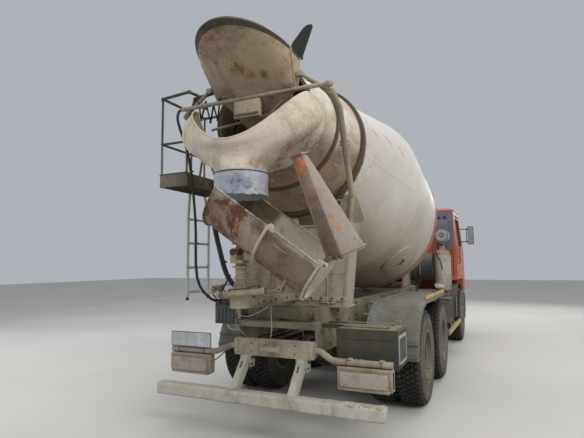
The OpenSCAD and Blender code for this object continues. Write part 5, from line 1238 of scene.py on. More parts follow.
for sg, side in ((-1, "left"), (1, "right")):
    B_ = Build()
    lo, hi = (0.69, 1.2) if sg > 0 else (-1.2, -0.69)
    B_.plate(round_rect(lo, hi, 0.505, 0.70, 0.02), (0, -0.042, 0), (1, 0, 0), (0, 0, 1), 0.078, 0.006, 0)
    # bent lip below, side cheeks and a shade above
    B_.box((lo + 0.012, -0.1295, 0.4955), (hi - 0.03, -0.045, 0.5055), 0.002, 0)
    B_.box((lo + 0.012, -0.1298, 0.4955), (hi - 0.03, -0.1245, 0.524), 0.002, 0)
    B_.box((lo + 0.0, -0.128, 0.675), (hi, -0.05, 0.6995), 0.008, 0)
    B_.box((hi - 0.026 if sg > 0 else lo, -0.128, 0.53), (hi if sg > 0 else lo + 0.026, -0.06, 0.69), 0.006, 0)
    # lens with rounded corners, in four fields
    B_.plate(round_rect(lo + 0.03, hi - 0.045, 0.527, 0.655, 0.024), (0, -0.113, 0), (1, 0, 0), (0, 0, 1), 0.0145, 0.005, 1)
    B_.plate(list(reversed(round_rect(lo + 0.03, hi - 0.045, 0.527, 0.655, 0.024))), (0, -0.1275, 0), (1, 0, 0), (0, 0, 1), 0.0145, 0.005, 1)
    for q in (0.27, 0.5, 0.74):
        xx_ = lo + 0.03 + (hi - lo - 0.075) * q
        B_.box((xx_ - 0.0015, -0.1288, 0.532), (xx_ + 0.0015, -0.1268, 0.65), 0.0006, 0)
    for xx_ in (lo + 0.045, hi - 0.06, (lo + hi) / 2 - 0.12, (lo + hi) / 2 + 0.1):
        B_.cyl((xx_, -0.1265, 0.641 if xx_ < (lo + hi) / 2 else 0.541), (xx_, -0.1292, 0.641 if xx_ < (lo + hi) / 2 else 0.541), 0.006, 14, 2, 0.001)
    for k in range(5):
        B_.cyl((lo + 0.05 + k * 0.016, -0.1265, 0.648), (lo + 0.05 + k * 0.016, -0.1285, 0.648), 0.0028, 8, 2, 0.0005)
    # brackets up to the carrier, cable gland and its short lead
    for xx_ in (lo + 0.10, hi - 0.12):
        B_.box((xx_, -0.075, 0.69), (xx_ + 0.04, -0.069, 0.775), 0.002, 0)
        B_.bolt((xx_ + 0.02, -0.0755, 0.715), (0, -1, 0), 0.008, 0.007, 0)
        B_.box((xx_, -0.125, 0.763), (xx_ + 0.04, -0.055, 0.769), 0.002, 0)
    gx = lo + 0.08 if sg > 0 else hi - 0.08
    B_.cyl((gx, -0.045, 0.6), (gx, -0.028, 0.6), 0.012, 16, 2)
    B_.tube(spline([(gx, -0.03, 0.6), (gx - sg * 0.02, -0.005, 0.605), (gx - sg * 0.10, 0.0, 0.66), (sg * 0.55, -0.02, 0.745), (sg * 0.45, 0.01, 0.775)], 6), 0.006, 8, 2)
    B_.done("lamp_cluster_" + side, [MAT["beige"], MAT["lens"], MAT["black"]], "chassis", ["tail_lamps"] if sg > 0 else [], sharp=30)

B_ = Build()
for sg in (-1, 1):
    p = [V((sg * 0.437, -0.025, 0.80)), V((sg * 0.49, -0.025, 0.80)), V((sg * 0.56, -0.055, 0.772)), V((sg * 0.64, -0.088, 0.74)), V((sg * 0.72, -0.09, 0.735)), V((sg * 1.0, -0.09, 0.735)), V((sg * 1.192, -0.09, 0.735))]
    q = spline(p, 5)
    B_.tube(q, 0.030, 18, 0, wob=0.04)
    B_.cyl((sg * 1.188, -0.09, 0.735), (sg * 1.1995, -0.09, 0.735), 0.0312, 24, 0, 0.002)
    B_.cyl((sg * 1.199, -0.09, 0.735), (sg * 1.1998, -0.09, 0.735), 0.022, 20, 1, 0.0)
    # flange on the crossmember's end, with bolts
    B_.box((sg * 0.4332, -0.058, 0.74), (sg * 0.445, 0.015, 0.865), 0.003, 0)
    for z in (0.752, 0.852):
        B_.bolt((sg * 0.445, -0.045, z), (sg, 0, 0), 0.009, 0.008, 0)
        B_.bolt((sg * 0.445, 0.002, z), (sg, 0, 0), 0.009, 0.008, 0)
    for x_ in (0.78, 1.10):
        B_.tube([V((sg * x_, -0.09 + 0.033 * math.cos(a), 0.735 + 0.033 * math.sin(a))) for a in [math.tau * i / 20 for i in range(20)]], 0.0035, 6, 1, closed=True)
    B_.crust([V((sg * rng.uniform(0.5, 1.18), -0.09 + rng.uniform(-0.012, 0.012), 0.765)) for _ in range(16)], 0.009, 2, 51)
# holder and the blank plate on the left
B_.box((-1.1, -0.126, 0.768), (-0.80, -0.08, 0.774), 0.002, 0)
for x_ in (-1.05, -0.865):
    B_.box((x_, -0.1, 0.744), (x_ + 0.03, -0.08, 0.79), 0.003, 0)
B_.done("lamp_carrier_tubes", [MAT["beige"], MAT["dark"], MAT["concrete"]], "chassis", ["lamp_carriers"], sharp=35)
B_ = Build()
B_.plate(round_rect(-1.19, -0.68, 0.771, 0.925, 0.012), (0, -0.1262, 0), (1, 0, 0), (0, 0, 1), 0.006, 0.002, 1)
B_.plate(round_rect(-1.184, -0.686, 0.777, 0.919, 0.01), (0, -0.1325, 0), (1, 0, 0), (0, 0, 1), 0.002, 0.0008, 0)
B_.tube([V((x_, -0.1318, z_)) for x_, z_ in round_rect(-1.187, -0.683, 0.774, 0.922, 0.012)], 0.0032, 8, 1, closed=True)
for x_ in (-1.085, -0.785):
    B_.cyl((x_, -0.131, 0.845), (x_, -0.1349, 0.845), 0.007, 16, 2, 0.001)
B_.done("blank_plate", [MAT["plate"], MAT["black"], MAT["dark"]], "chassis", sharp=30)

# ---------------------------------------------------------------- rear end: crossmember, underride guard, toolbox
B_ = Build()
B_.box((-0.432, -0.0665, 0.872), (0.432, 0.019, 0.882), 0.003, 0)
B_.box((-0.432, -0.0665, 0.719), (0.432, -0.02, 0.729), 0.003, 0)
for sg in (-1, 1):
    B_.plate([(sg * 0.15, 0.735), (sg * 0.20, 0.735), (sg * 0.20, 0.865), (sg * 0.15, 0.865)][::sg], (0, -0.0602, 0), (1, 0, 0), (0, 0, 1), 0.006, 0.002, 0)
    B_.box((sg * 0.30, -0.068, 0.79), (sg * 0.40, -0.0595, 0.815), 0.004, 0)
    B_.tube(spline([(sg * 0.425, -0.0605, 0.735), (sg * 0.36, -0.0605, 0.745), (sg * 0.345, -0.0605, 0.80), (sg * 0.35, -0.0605, 0.868)], 5), 0.0035, 6, 0)
    B_.box((sg * 0.392, -0.069, 0.725), (sg * 0.432, -0.0595, 0.876), 0.003, 0)
    for z in (0.745, 0.80, 0.857):
        B_.bolt((sg * 0.412, -0.069, z), (0, -1, 0), 0.011, 0.010, 0)
    # washers round the bolt holes
    for z in (0.76, 0.84):
        B_.lathe([(0, 0.0095), (0, 0.018), (0.002, 0.019), (0.0035, 0.018), (0.0035, 0.0095)], (sg * 0.24, -0.0598, z), (0, -1, 0), 28, 0)
for sg in (-1, 1):
    B_.box((sg * 0.080, -0.128, 0.768), (sg * 0.092, -0.059, 0.842), 0.003, 0)
    B_.tube([V((sg * 0.091, -0.0615, 0.775)), V((sg * 0.091, -0.0615, 0.835))], 0.004, 6, 0)
B_.lathe([(-0.001, 0.0203), (-0.001, 0.034), (0.001, 0.036), (0.006, 0.036), (0.008, 0.034), (0.008, 0.0203)], (0, -0.11, 0.825), (0, 0, 1), 32, 0)
# small lumps of dried concrete and a bent wire
B_.crust([V((rng.uniform(-0.42, 0.42), rng.uniform(-0.06, 0.01), 0.884)) for _ in range(26)], 0.010, 1, 61)
B_.tube(spline([(0.31, -0.03, 0.885), (0.33, -0.04, 0.93), (0.30, -0.02, 0.99), (0.27, 0.02, 1.02), (0.26, 0.034, 1.005)], 6), 0.0035, 6, 2)
B_.done("crossmember_fittings", [MAT["cross"], MAT["concrete"], MAT["dark"]], "chassis", sharp=32)

B_ = Build()
for sg in (-1, 1):
    B_.box((sg * 1.174, -0.366, 0.343), (sg * 1.1798, -0.244, 0.417), 0.003, 0)
    B_.box((sg * 1.160, -0.342, 0.3195), (sg * 1.1796, -0.268, 0.4405), 0.004, 0)
    # bracket cheeks at the top, and the bolts that clamp the arm
    for x_ in (0.252, 0.362):
        B_.box((sg * x_, -0.062, 0.60), (sg * (x_ + 0.006), 0.03, 0.72), 0.003, 0)
        for yy, z in ((-0.035, 0.69), (0.01, 0.69), (-0.035, 0.63)):
            B_.bolt((sg * (x_ + (0.006 if x_ > 0.3 else 0.0)), yy, z), (sg if x_ > 0.3 else -sg, 0, 0), 0.011, 0.010, 1)
    ar = Matrix.Translation((sg * 0.31, -0.02, 0.712)) @ Matrix.Rotation(RAD(-40.6), 4, "X")
    B_.box((-0.010, -0.0475, -0.17), (0.010, -0.0445, -0.10), 0.001, 2, ar)
    for z in (-0.20, -0.075):
        B_.box((-0.0355, -0.046, z), (0.0355, 0.046, z + 0.008), 0.002, 0, ar)
# seams along the beam; dried crust on its top, heavier at the right end
for x_ in (-0.72, -0.02, 0.66):
    B_.tube([V((x_, -0.305 + yy, 0.38 + zz)) for yy, zz in ((-0.0605, -0.03), (-0.0605, 0.03), (-0.04, 0.058), (0.04, 0.0605))], 0.0028, 6, 0)
B_.crust([V((rng.uniform(-1.15, 1.15), rng.uniform(-0.35, -0.26), 0.438)) for _ in range(80)], 0.013, 3, 71)
B_.crust([V((rng.uniform(0.85, 1.17), rng.uniform(-0.36, -0.25), 0.437)) for _ in range(60)], 0.016, 3, 72)
B_.done("underride_fittings", [MAT["pale"], MAT["dark"], MAT["black"], MAT["concrete"]], "chassis", sharp=32)
B_ = Build()
# toolbox body: pressed panels, rolled edges, hinge, brackets and bolts
B_.plate(round_rect(0.645, 1.19, 0.68, 0.90, 0.02), (0, 0.051, 0), (1, 0, 0), (0, 0, 1), 0.003, 0.001, 0)
B_.plate(list(reversed(round_rect(0.645, 1.19, 0.68, 0.905, 0.02))), (0, 0.0495, 0), (1, 0, 0), (0, 0, 1), 0.004, 0.0015, 0)
B_.plate(list(reversed(round_rect(0.66, 1.175, 0.925, 1.0, 0.015))), (0, 0.0495, 0), (1, 0, 0), (0, 0, 1), 0.0035, 0.0015, 0)
B_.tube([V((0.634, 0.053, 0.668)), V((0.634, 0.053, 1.011)), V((1.198, 0.053, 1.011)), V((1.198, 0.053, 0.668))], 0.006, 8, 0, closed=True)
B_.tube([V((0.634, 0.447, 0.668)), V((0.634, 0.447, 1.011)), V((1.198, 0.447, 1.011)), V((1.198, 0.447, 0.668))], 0.006, 8, 0, closed=True)
for y in (0.17, 0.37):
    B_.box((0.4335, y - 0.03, 0.96), (0.445, y + 0.03, 1.045), 0.003, 1)
    for z in (0.975, 1.03):
        B_.bolt((0.445, y, z), (1, 0, 0), 0.010, 0.008, 1)
    B_.box((0.60, y - 0.024, 1.0385), (1.12, y + 0.024, 1.0435), 0.002, 1)
    for x_ in (0.68, 0.9, 1.08):
        B_.bolt((x_, y, 1.0435), (0, 0, 1), 0.009, 0.007, 1)
    B_.box((1.1, y - 0.02, 1.015), (1.12, y + 0.02, 1.042), 0.002, 1)
B_.crust([V((rng.uniform(0.65, 1.15), rng.uniform(0.06, 0.4), 1.016)) for _ in range(22)], 0.012, 2, 81)
B_.box((0.64, 0.058, 1.0145), (1.19, 0.44, 1.018), 0.0015, 3)
B_.done("toolbox_fittings", [MAT["olive"], MAT["frame"], MAT["concrete"], MAT["olive2"]], "chassis", sharp=32)
B_ = Build()
B_.plate([(0.06, 0.675), (0.44, 0.675), (0.44, 0.995), (0.06, 0.995)], (1.2128, 0, 0), (0, 1, 0), (0, 0, 1), 0.002, 0.0008, 0)
B_.plate(round_rect(0.085, 0.415, 0.70, 0.965, 0.025), (1.2135, 0, 0), (0, 1, 0), (0, 0, 1), 0.004, 0.0015, 1)
B_.plate(round_rect(0.115, 0.385, 0.73, 0.935, 0.02), (1.2172, 0, 0), (0, 1, 0), (0, 0, 1), 0.0015, 0.0006, 0)
for y in (0.13, 0.37):
    B_.box((1.213, y - 0.02, 0.672), (1.221, y + 0.02, 0.71), 0.002, 2)
    B_.cyl((1.219, y - 0.024, 0.682), (1.219, y + 0.024, 0.682), 0.006, 14, 2)
    B_.tube([V((1.222, y - 0.015, 0.69)), V((1.2265, y - 0.012, 0.70)), V((1.2265, y + 0.012, 0.70)), V((1.222, y + 0.015, 0.69))], 0.003, 8, 2)
for y0 in (0.075, 0.225, 0.365):
    B_.cyl((1.214, y0, 1.008), (1.214, y0 + 0.06, 1.008), 0.0088, 18, 2)
B_.done("toolbox_door", [MAT["olive"], MAT["bluewhite"], MAT["dark"]], "toolbox_lid", sharp=32)

# ---------------------------------------------------------------- fittings of the frame that carries the hopper


def ring_on(B, p, axis, r, t=0.004, mat=0, n=24):
    """A round band or weld bead about a tube."""
    u, v, w = frame_of(axis)
    B.tube([V(p) + u * r * math.cos(math.tau * i / n) + v * r * math.sin(math.tau * i / n) for i in range(n)], t, 6, mat, closed=True)


B_ = Build()
for sg in (-1, 1):
    leg = [V((sg * 0.69, 0.325, 1.90)), V((sg * 0.74, 0.295, 2.30)), V((sg * 0.80, -0.23, 3.08)), V((sg * 0.80, -0.44, 3.165))]
    for a_, b_, q in ((leg[0], leg[1], 0.25), (leg[1], leg[2], 0.04), (leg[1], leg[2], 0.5), (leg[1], leg[2], 0.96), (leg[2], leg[3], 0.9)):
        ring_on(B_, a_.lerp(b_, q), b_ - a_, 0.031, 0.004)
    # clamp with two bolts half way up, and a foot plate
    m_ = leg[1].lerp(leg[2], 0.62)
    ax_ = (leg[2] - leg[1]).normalized()
    B_.lathe([(-0.03, 0.0302), (-0.03, 0.036), (0.03, 0.036), (0.03, 0.0302)], m_, ax_, 28, 0)
    u_, v_, w_ = frame_of(ax_, (sg, 0, 0))
    for k in (-1, 1):
        B_.bar(m_ + ax_ * k * 0.018 - v_ * 0.05, m_ + ax_ * k * 0.018 + v_ * 0.05, 0.008, 0.008, 0.001, 1)
    B_.box((sg * 0.64, 0.3335, 1.862), (sg * 0.72, 0.3395, 1.958), 0.003, 0)
    for x_ in (0.655, 0.705):
        for z_ in (1.88, 1.94):
            B_.bolt((sg * x_, 0.3335, z_), (0, -1, 0), 0.009, 0.008, 1)
    ring_on(B_, (sg * 0.76, -0.50, 3.212), (1, 0, 0), 0.0215, 0.004)
    ring_on(B_, (sg * 0.52, -0.44, 3.366), (-0.3, 0, 0.215), 0.0215, 0.004)
    B_.box((sg * 0.47, -0.47, 3.35), (sg * 0.53, -0.41, 3.40), 0.006, 0)
for x_ in (-0.55, -0.2, 0.22, 0.58):
    B_.lathe([(-0.018, 0.0202), (-0.018, 0.0255), (0.018, 0.0255), (0.018, 0.0202)], (x_, -0.50, 3.212), (1, 0, 0), 24, 0)
    B_.box((x_ - 0.02, -0.478, 3.19), (x_ + 0.02, -0.44, 3.235), 0.004, 0)
    B_.bolt((x_, -0.5, 3.2375), (0, 0, 1), 0.009, 0.008, 1, washer=False)
# the second tube below the bar
B_.tube([V((-0.502, -0.40, 2.985)), V((0.161, -0.40, 3.05)), V((0.30, -0.42, 3.16))], 0.013, 14, 0)
# plate between the funnel and the ring, and zigzag links on the left
B_.plate([(0.55, 2.80), (0.69, 2.84), (0.71, 3.02), (0.66, 3.12), (0.565, 3.10)], (0, -0.396, 0), (1, 0, 0), (0, 0, 1), 0.008, 0.002, 2)
for x_, z_ in ((0.585, 2.84), (0.66, 2.87), (0.675, 3.05), (0.59, 3.07)):
    B_.bolt((x_, -0.405, z_), (0, -1, 0), 0.010, 0.009, 2)
zz = [V((-0.72, -0.45, 3.19)), V((-0.64, -0.45, 3.34)), V((-0.60, -0.45, 3.09)), V((-0.545, -0.45, 3.27)), V((-0.485, -0.45, 3.05)), V((-0.45, -0.45, 3.22)), V((-0.40, -0.45, 3.06)), V((-0.37, -0.45, 3.30))]
B_.bar((-0.70, -0.44, 3.325), (-0.34, -0.44, 3.365), 0.028, 0.028, 0.004, 3)
B_.bar((-0.74, -0.44, 3.15), (-0.68, -0.44, 3.33), 0.028, 0.028, 0.004, 3)
for a_, b_ in zip(zz, zz[1:]):
    B_.bar(a_, b_, 0.022, 0.006, 0.001, 3)
    B_.cyl(b_ - V((0, 0.008, 0)), b_ + V((0, 0.008, 0)), 0.012, 16, 3)
B_.done("hopper_frame_fittings", [MAT["beige"], MAT["dark"], MAT["hopper"], MAT["black"]], "chassis", sharp=32)

# ---------------------------------------------------------------- platform, ladder
B_ = Build()
for k in range(9):
    x_ = -1.185 + k * 0.0405
    B_.box((x_, -0.342, 2.50), (x_ + 0.005, 0.442, 2.583), 0.0, 0)
for k in range(5):
    y = -0.30 + k * 0.165
    B_.box((-1.197, y, 2.545), (-0.848, y + 0.006, 2.583), 0.0, 0)
for k in range(16):
    for j in range(7):
        y, x_ = -0.33 + k * 0.0495, -1.18 + j * 0.048 + (0.024 if k % 2 else 0)
        B_.box((x_ - 0.012, y - 0.004, 2.5895), (x_ + 0.012, y + 0.004, 2.5935), 0.001, 0)
B_.box((-1.2045, -0.349, 2.455), (-0.8405, -0.3435, 2.475), 0.002, 1)
B_.box((-1.2045, 0.4435, 2.455), (-0.8405, 0.449, 2.475), 0.002, 1)
B_.box((-1.2045, -0.349, 2.575), (-0.8405, -0.344, 2.605), 0.002, 1)
B_.box((-1.2045, 0.444, 2.575), (-0.8405, 0.449, 2.605), 0.002, 1)
for x_, y in ((-1.19, 0.43), (-1.19, -0.34), (-1.19, 0.17), (-0.86, 0.43), (-0.86, -0.34)):
    B_.lathe([(0, 0.0122), (0, 0.026), (0.006, 0.026), (0.012, 0.016), (0.012, 0.0122)], (x_ + (0.012 if x_ < -1 else -0.012) * 0, y, 2.5905), (0, 0, 1), 20, 1)
    ring_on(B_, (x_, y, 2.93), (0, 0, 1), 0.014, 0.004, 1)
for p_ in ((-1.19, 0.43, 3.44), (-1.19, -0.34, 3.44), (-0.86, 0.43, 3.44), (-0.80, -0.39, 3.44)):
    B_.lathe([(-0.02, 0.0005), (-0.018, 0.019), (0.012, 0.019), (0.016, 0.0005)], p_, (0, 0, 1), 18, 1)
for y in (-0.08, 0.12, 0.33):
    B_.bolt((-0.841, y, 2.51), (1, 0, 0), 0.010, 0.009, 1)
    B_.bolt((-1.2045, y, 2.51), (-1, 0, 0), 0.0085, 0.0035, 1, washer=False)
ring_on(B_, (-0.80, 0.15, 2.52), (1, 0, 0), 0.0195, 0.004, 1)
B_.crust([V((rng.uniform(-1.18, -0.87), rng.uniform(-0.32, 0.42), 2.592)) for _ in range(40)], 0.011, 2, 91)
B_.done("platform_fittings", [MAT["grate"], MAT["dark"], MAT["concrete"]], "chassis", sharp=32)
B_ = Build()
for i in range(4):
    z = 1.32 + i * 0.28
    for k in range(9):
        ring_on(B_, (-1.20, 0.18 + k * 0.0406, z), (0, 1, 0), 0.0142, 0.0018, 0, 14)
    for y in (0.158, 0.527):
        ring_on(B_, (-1.20, y, z), (0, 1, 0), 0.0155, 0.0035, 0, 16)
for y in (0.14, 0.545):
    B_.lathe([(-0.004, 0.0005), (-0.004, 0.0175), (0.03, 0.0175), (0.03, 0.0162)], (-1.20, y, 1.232), (0, 0, 1), 20, 1)
    for z in (1.62, 2.16):
        B_.lathe([(-0.022, 0.0162), (-0.022, 0.020), (0.022, 0.020), (0.022, 0.0162)], (-1.20, y, z), (0, 0, 1), 22, 0)
for p_ in ((-1.19, 0.3427, 1.32), (-0.80, 0.4067, 1.32), (-0.70, 0.4237, 1.32)):
    B_.lathe([(-0.015, 0.0162), (-0.015, 0.021), (0.015, 0.021), (0.015, 0.0162)], p_, (0.54, 0.09, 0), 20, 0)
B_.box((-0.70, 0.386, 1.27), (-0.66, 0.392, 1.37), 0.002, 0)
for z in (1.285, 1.355):
    B_.bolt((-0.68, 0.386, z), (0, -1, 0), 0.009, 0.008, 1)
B_.crust([V((-1.20 + rng.uniform(-0.01, 0.01), rng.uniform(0.16, 0.53), 1.32 + 0.28 * rng.randrange(4) + 0.014)) for _ in range(22)], 0.007, 2, 92)
B_.done("ladder_fittings", [MAT["white"], MAT["dark"], MAT["concrete"]], "chassis", sharp=32)

# ---------------------------------------------------------------- rear pedestal: ribs, flanges, bracket plates, arm
B_ = Build()


def edge_x(z, e=0.0):
    return 0.61 + (z - 1.18) * 0.09 / 0.86 + e


for sg in (-1, 1):
    B_.plate([(sg * edge_x(1.20, -0.03), 1.20), (sg * edge_x(1.20, -0.002), 1.20), (sg * edge_x(2.02, -0.002), 2.02), (sg * edge_x(2.02, -0.03), 2.02)][::sg], (0, 0.3995, 0), (1, 0, 0), (0, 0, 1), 0.009, 0.002, 0)
    for x_ in (0.22, 0.42):
        B_.plate([(0.3995, 1.19), (0.3995, 2.02), (0.386, 2.02), (0.372, 1.19)], (sg * x_ - 0.004, 0, 0), (0, 1, 0), (0, 0, 1), 0.008, 0.002, 0)
    # roller bearing shelf ends and the block brackets below them
    for z_ in (1.90, 1.96):
        B_.box((sg * 0.47, 0.37, z_), (sg * 0.56, 0.3995, z_ + 0.035), 0.004, 0)
        B_.bolt((sg * 0.515, 0.37, z_ + 0.018), (0, -1, 0), 0.010, 0.009, 1)
B_.box((-0.625, 0.378, 1.195), (0.625, 0.3995, 1.207), 0.003, 0)
B_.box((-0.625, 0.384, 1.245), (0.625, 0.3995, 1.290), 0.004, 0)
for k in range(11):
    B_.bolt((-0.58 + k * 0.116, 0.384, 1.268), (0, -1, 0), 0.009, 0.008, 1)
for k in range(8):
    if abs(-0.6 + k * 0.17) > 0.06:
        B_.bolt((-0.6 + k * 0.17, 0.39, 1.1955), (0, 0, 1), 0.011, 0.010, 1)
for z_ in (1.52, 1.78):
    B_.tube([V((-edge_x(z_, -0.035), 0.3985, z_)), V((0, 0.3975, z_ + 0.004)), V((edge_x(z_, -0.035), 0.3985, z_))], 0.0035, 6, 0)
# plates by the rollers; their round holes are black discs, painted shade standing in for the open holes
for sg in (-1, 1):
    B_.plate([(sg * 0.575, 2.047), (sg * 0.83, 2.047), (sg * 0.85, 2.09), (sg * 0.80, 2.28), (sg * 0.765, 2.335), (sg * 0.66, 2.34), (sg * 0.60, 2.27)][::sg], (0, 0.335, 0), (1, 0, 0), (0, 0, 1), 0.012, 0.003, 0)
    for x_, z_, r_ in ((0.645, 2.225, 0.032), (0.742, 2.135, 0.034), (0.812, 2.085, 0.015)):
        B_.cyl((sg * x_, 0.3365, z_), (sg * x_, 0.3325, z_), r_, 28, 2, 0.0008)
        B_.lathe([(0.0, r_ * 0.98), (0.004, r_ * 1.0), (0.004, r_ * 1.16), (0.0, r_ * 1.18)], (sg * x_, 0.336, z_), (0, -1, 0), 28, 0)
    B_.plate([(sg * 0.60, 2.05), (sg * 0.68, 2.05), (sg * 0.60, 2.16)][::sg], (0, 0.318, 0), (1, 0, 0), (0, 0, 1), 0.014, 0.003, 0)
# arm: bottom flange, ribs, bolts, and a ring of bolts
B_.box((-0.085, -0.72, 1.2495), (0.085, 0.40, 1.257), 0.003, 0)
for y in (-0.45, -0.2, 0.05, 0.28):
    for sg in (-1, 1):
        B_.plate([(sg * 0.059, 1.255), (sg * 0.083, 1.255), (sg * 0.059, 1.312)][::sg], (0, y, 0), (1, 0, 0), (0, 0, 1), 0.008, 0.002, 0)
        B_.bolt((sg * 0.0605, y + 0.1, 1.285), (sg, 0, 0), 0.010, 0.009, 1)
for i in range(8):
    a_ = math.tau * (i + 0.5) / 8
    B_.bolt((0.079 * math.cos(a_), -0.66 + 0.079 * math.sin(a_), 1.252), (0, 0, -1), 0.009, 0.009, 1)
B_.crust([V((rng.uniform(-0.6, 0.6), 0.392 + rng.uniform(-0.004, 0.0), 1.292)) for _ in range(30)], 0.012, 3, 93)
B_.crust([V((rng.uniform(0.30, 0.50), 0.378, rng.uniform(1.21, 1.25))) for _ in range(18)], 0.02, 3, 94)
B_.crust([V((rng.uniform(-0.05, 0.05), rng.uniform(-0.6, 0.3), 1.3185)) for _ in range(26)], 0.011, 3, 95)
B_.done("pedestal_fittings", [MAT["beige"], MAT["dark"], MAT["black"], MAT["concrete"]], "chassis", sharp=32)

# ---------------------------------------------------------------- chute column and jack
B_ = Build()
cp = lambda x, y, z: COL @ V((x, y, z))
zc_ = COL.to_3x3() @ V((0, 0, 1))
for i in range(8):
    a_ = math.tau * i / 8 + 0.2
    if not (2.2 < a_ < 4.6):
        B_.bolt(cp(0.084 * math.cos(a_), 0.084 * math.sin(a_), 1.36), zc_, 0.008, 0.008, 1)
for i in range(6):
    a_ = math.tau * i / 6
    d_ = COL.to_3x3() @ V((math.cos(a_), math.sin(a_), 0))
    o_ = cp(0, 0, 0)
    t_ = d_.cross(V((0, 0, 1)))
    B_.plate([(0.050, 1.462), (0.0735, 1.405), (0.0855, 1.372), (0.088, 1.372), (0.072, 1.43), (0.062, 1.47), (0.050, 1.49)], o_ - t_ * 0.004, d_, (0, 0, 1), 0.008, 0.0015, 0)
B_.lathe([(0, 0.0502), (0, 0.058), (0.01, 0.062), (0.02, 0.058), (0.02, 0.0502)], cp(0, 0, 1.50), zc_, 32, 0)
for i in range(8):
    a_ = math.tau * (i + 0.5) / 8
    B_.bolt(cp(0.064 * math.cos(a_), 0.064 * math.sin(a_), 1.6145), zc_, 0.006, 0.006, 1, washer=False)
# pins through the lugs, with their heads and a split pin
lift = (-0.04, 1.74)
B_.cyl(cp(lift[0], -0.1005, lift[1]), cp(lift[0], 0.1005, lift[1]), 0.0193, 28, 1, 0.002)
for sg in (-1, 1):
    B_.lathe([(0, 0.0195), (0, 0.031), (0.004, 0.0315), (0.006, 0.030), (0.006, 0.0195)], cp(lift[0], sg * 0.0902, lift[1]), COL.to_3x3() @ V((0, sg, 0)), 28, 1)
for y in (-0.1825, -0.0775):
    B_.lathe([(-0.003, 0.0118), (-0.003, 0.021), (0.003, 0.021), (0.003, 0.0118)], cp(-0.11, y, 1.365), COL.to_3x3() @ V((0, 1, 0)), 24, 1)
B_.cyl(cp(0.03, 0.052, 1.55), cp(0.036, 0.062, 1.55), 0.005, 10, 1, 0.001)
B_.done("column_fittings", [MAT["column"], MAT["dark"]], "column", sharp=32)

JA = math.degrees(math.atan2(1.42 - 1.365, 0.40 + 0.11))
JK = COL @ Matrix.Translation((-0.11, -0.13, 1.365)) @ Matrix.Rotation(RAD(-JA), 4, "Y")
J3 = JK.to_3x3()
B_ = Build()
for s_ in (0.035, 0.30):
    B_.lathe([(-0.006, 0.0272), (-0.005, 0.030), (0.005, 0.030), (0.006, 0.0272)], JK @ V((s_, 0, 0)), J3 @ V((1, 0, 0)), 32, 0)
B_.lathe([(0.3805, 0.0175), (0.3805, 0.026), (0.3845, 0.026), (0.386, 0.0185)], JK @ V((0, 0, 0)), J3 @ V((1, 0, 0)), 32, 1)
for s_ in (0.06, 0.33):
    B_.cyl(JK @ V((s_, 0, 0.024)), JK @ V((s_, 0, 0.042)), 0.010, 18, 1)
    B_.lathe([(0, 0.0005), (0, 0.0125), (0.012, 0.0125), (0.013, 0.0005)], JK @ V((s_, 0, 0.036)), J3 @ V((0, 0, 1)), 6, 1)
B_.tube(spline([JK @ V((0.33, 0, 0.047)), JK @ V((0.30, 0.004, 0.052)), JK @ V((0.2, 0.012, 0.040)), JK @ V((0.1, 0.01, 0.042)), JK @ V((0.066, 0.0, 0.047))], 6), 0.0055, 10, 2)
B_.done("jack_fittings", [MAT["column"], MAT["dark"], MAT["black"]], "jack_barrel", sharp=32)
B_ = Build()
JL = math.hypot(0.51, 0.055)
for sg in (-1, 1):
    B_.lathe([(0, 0.0185), (0, 0.0222), (0.0015, 0.0222), (0.0015, 0.0185)], JK @ V((JL, sg * 0.0215, 0)), J3 @ V((0, sg, 0)), 28, 1)
B_.done("jack_eye_fittings", [MAT["rod"], MAT["dark"]], "jack_rod", sharp=32)

# ---------------------------------------------------------------- control box, levers, cables
B_ = Build()
for k in range(6):
    x_ = -0.735 + k * 0.047
    B_.box((x_, 0.050, 1.015), (x_ + 0.022, 0.0605, 1.165), 0.004, 0)
B_.box((-0.757, 0.052, 1.215), (-0.473, 0.0605, 1.238), 0.004, 0)
B_.box((-0.765, 0.055, 1.2385), (-0.466, 0.305, 1.246), 0.003, 0)
for k in range(5):
    B_.box((-0.767, 0.09 + k * 0.042, 1.03), (-0.7595, 0.11 + k * 0.042, 1.20), 0.003, 0)
for x_ in (-0.74, -0.49):
    for z in (1.195, 1.03):
        B_.bolt((x_, 0.0595, z), (0, -1, 0), 0.007, 0.007, 1)
for i in range(3):
    a_, b_ = V((-0.69 + i * 0.08, 0.06, 1.20)), V((-0.72 + i * 0.08, -0.06, 1.33))
    d_ = (b_ - a_).normalized()
    B_.lathe([(-0.012, 0.0005), (-0.010, 0.014), (0.012, 0.018), (0.030, 0.013), (0.034, 0.0005)], b_, d_, 20, 2)
    B_.lathe([(0.012, 0.022), (0.012, 0.0092), (0.03, 0.0092), (0.034, 0.015)], a_, d_, 18, 3)
# beige bracket at the right and the curved one below
B_.box((-0.469, 0.045, 1.03), (-0.435, 0.055, 1.20), 0.003, 4)
B_.tube(spline([(-0.60, 0.058, 0.99), (-0.56, 0.05, 0.955), (-0.50, 0.05, 0.945), (-0.44, 0.056, 0.955)], 5), 0.009, 10, 2)
for z in (1.05, 1.18):
    B_.bolt((-0.452, 0.045, z), (0, -1, 0), 0.008, 0.007, 1)
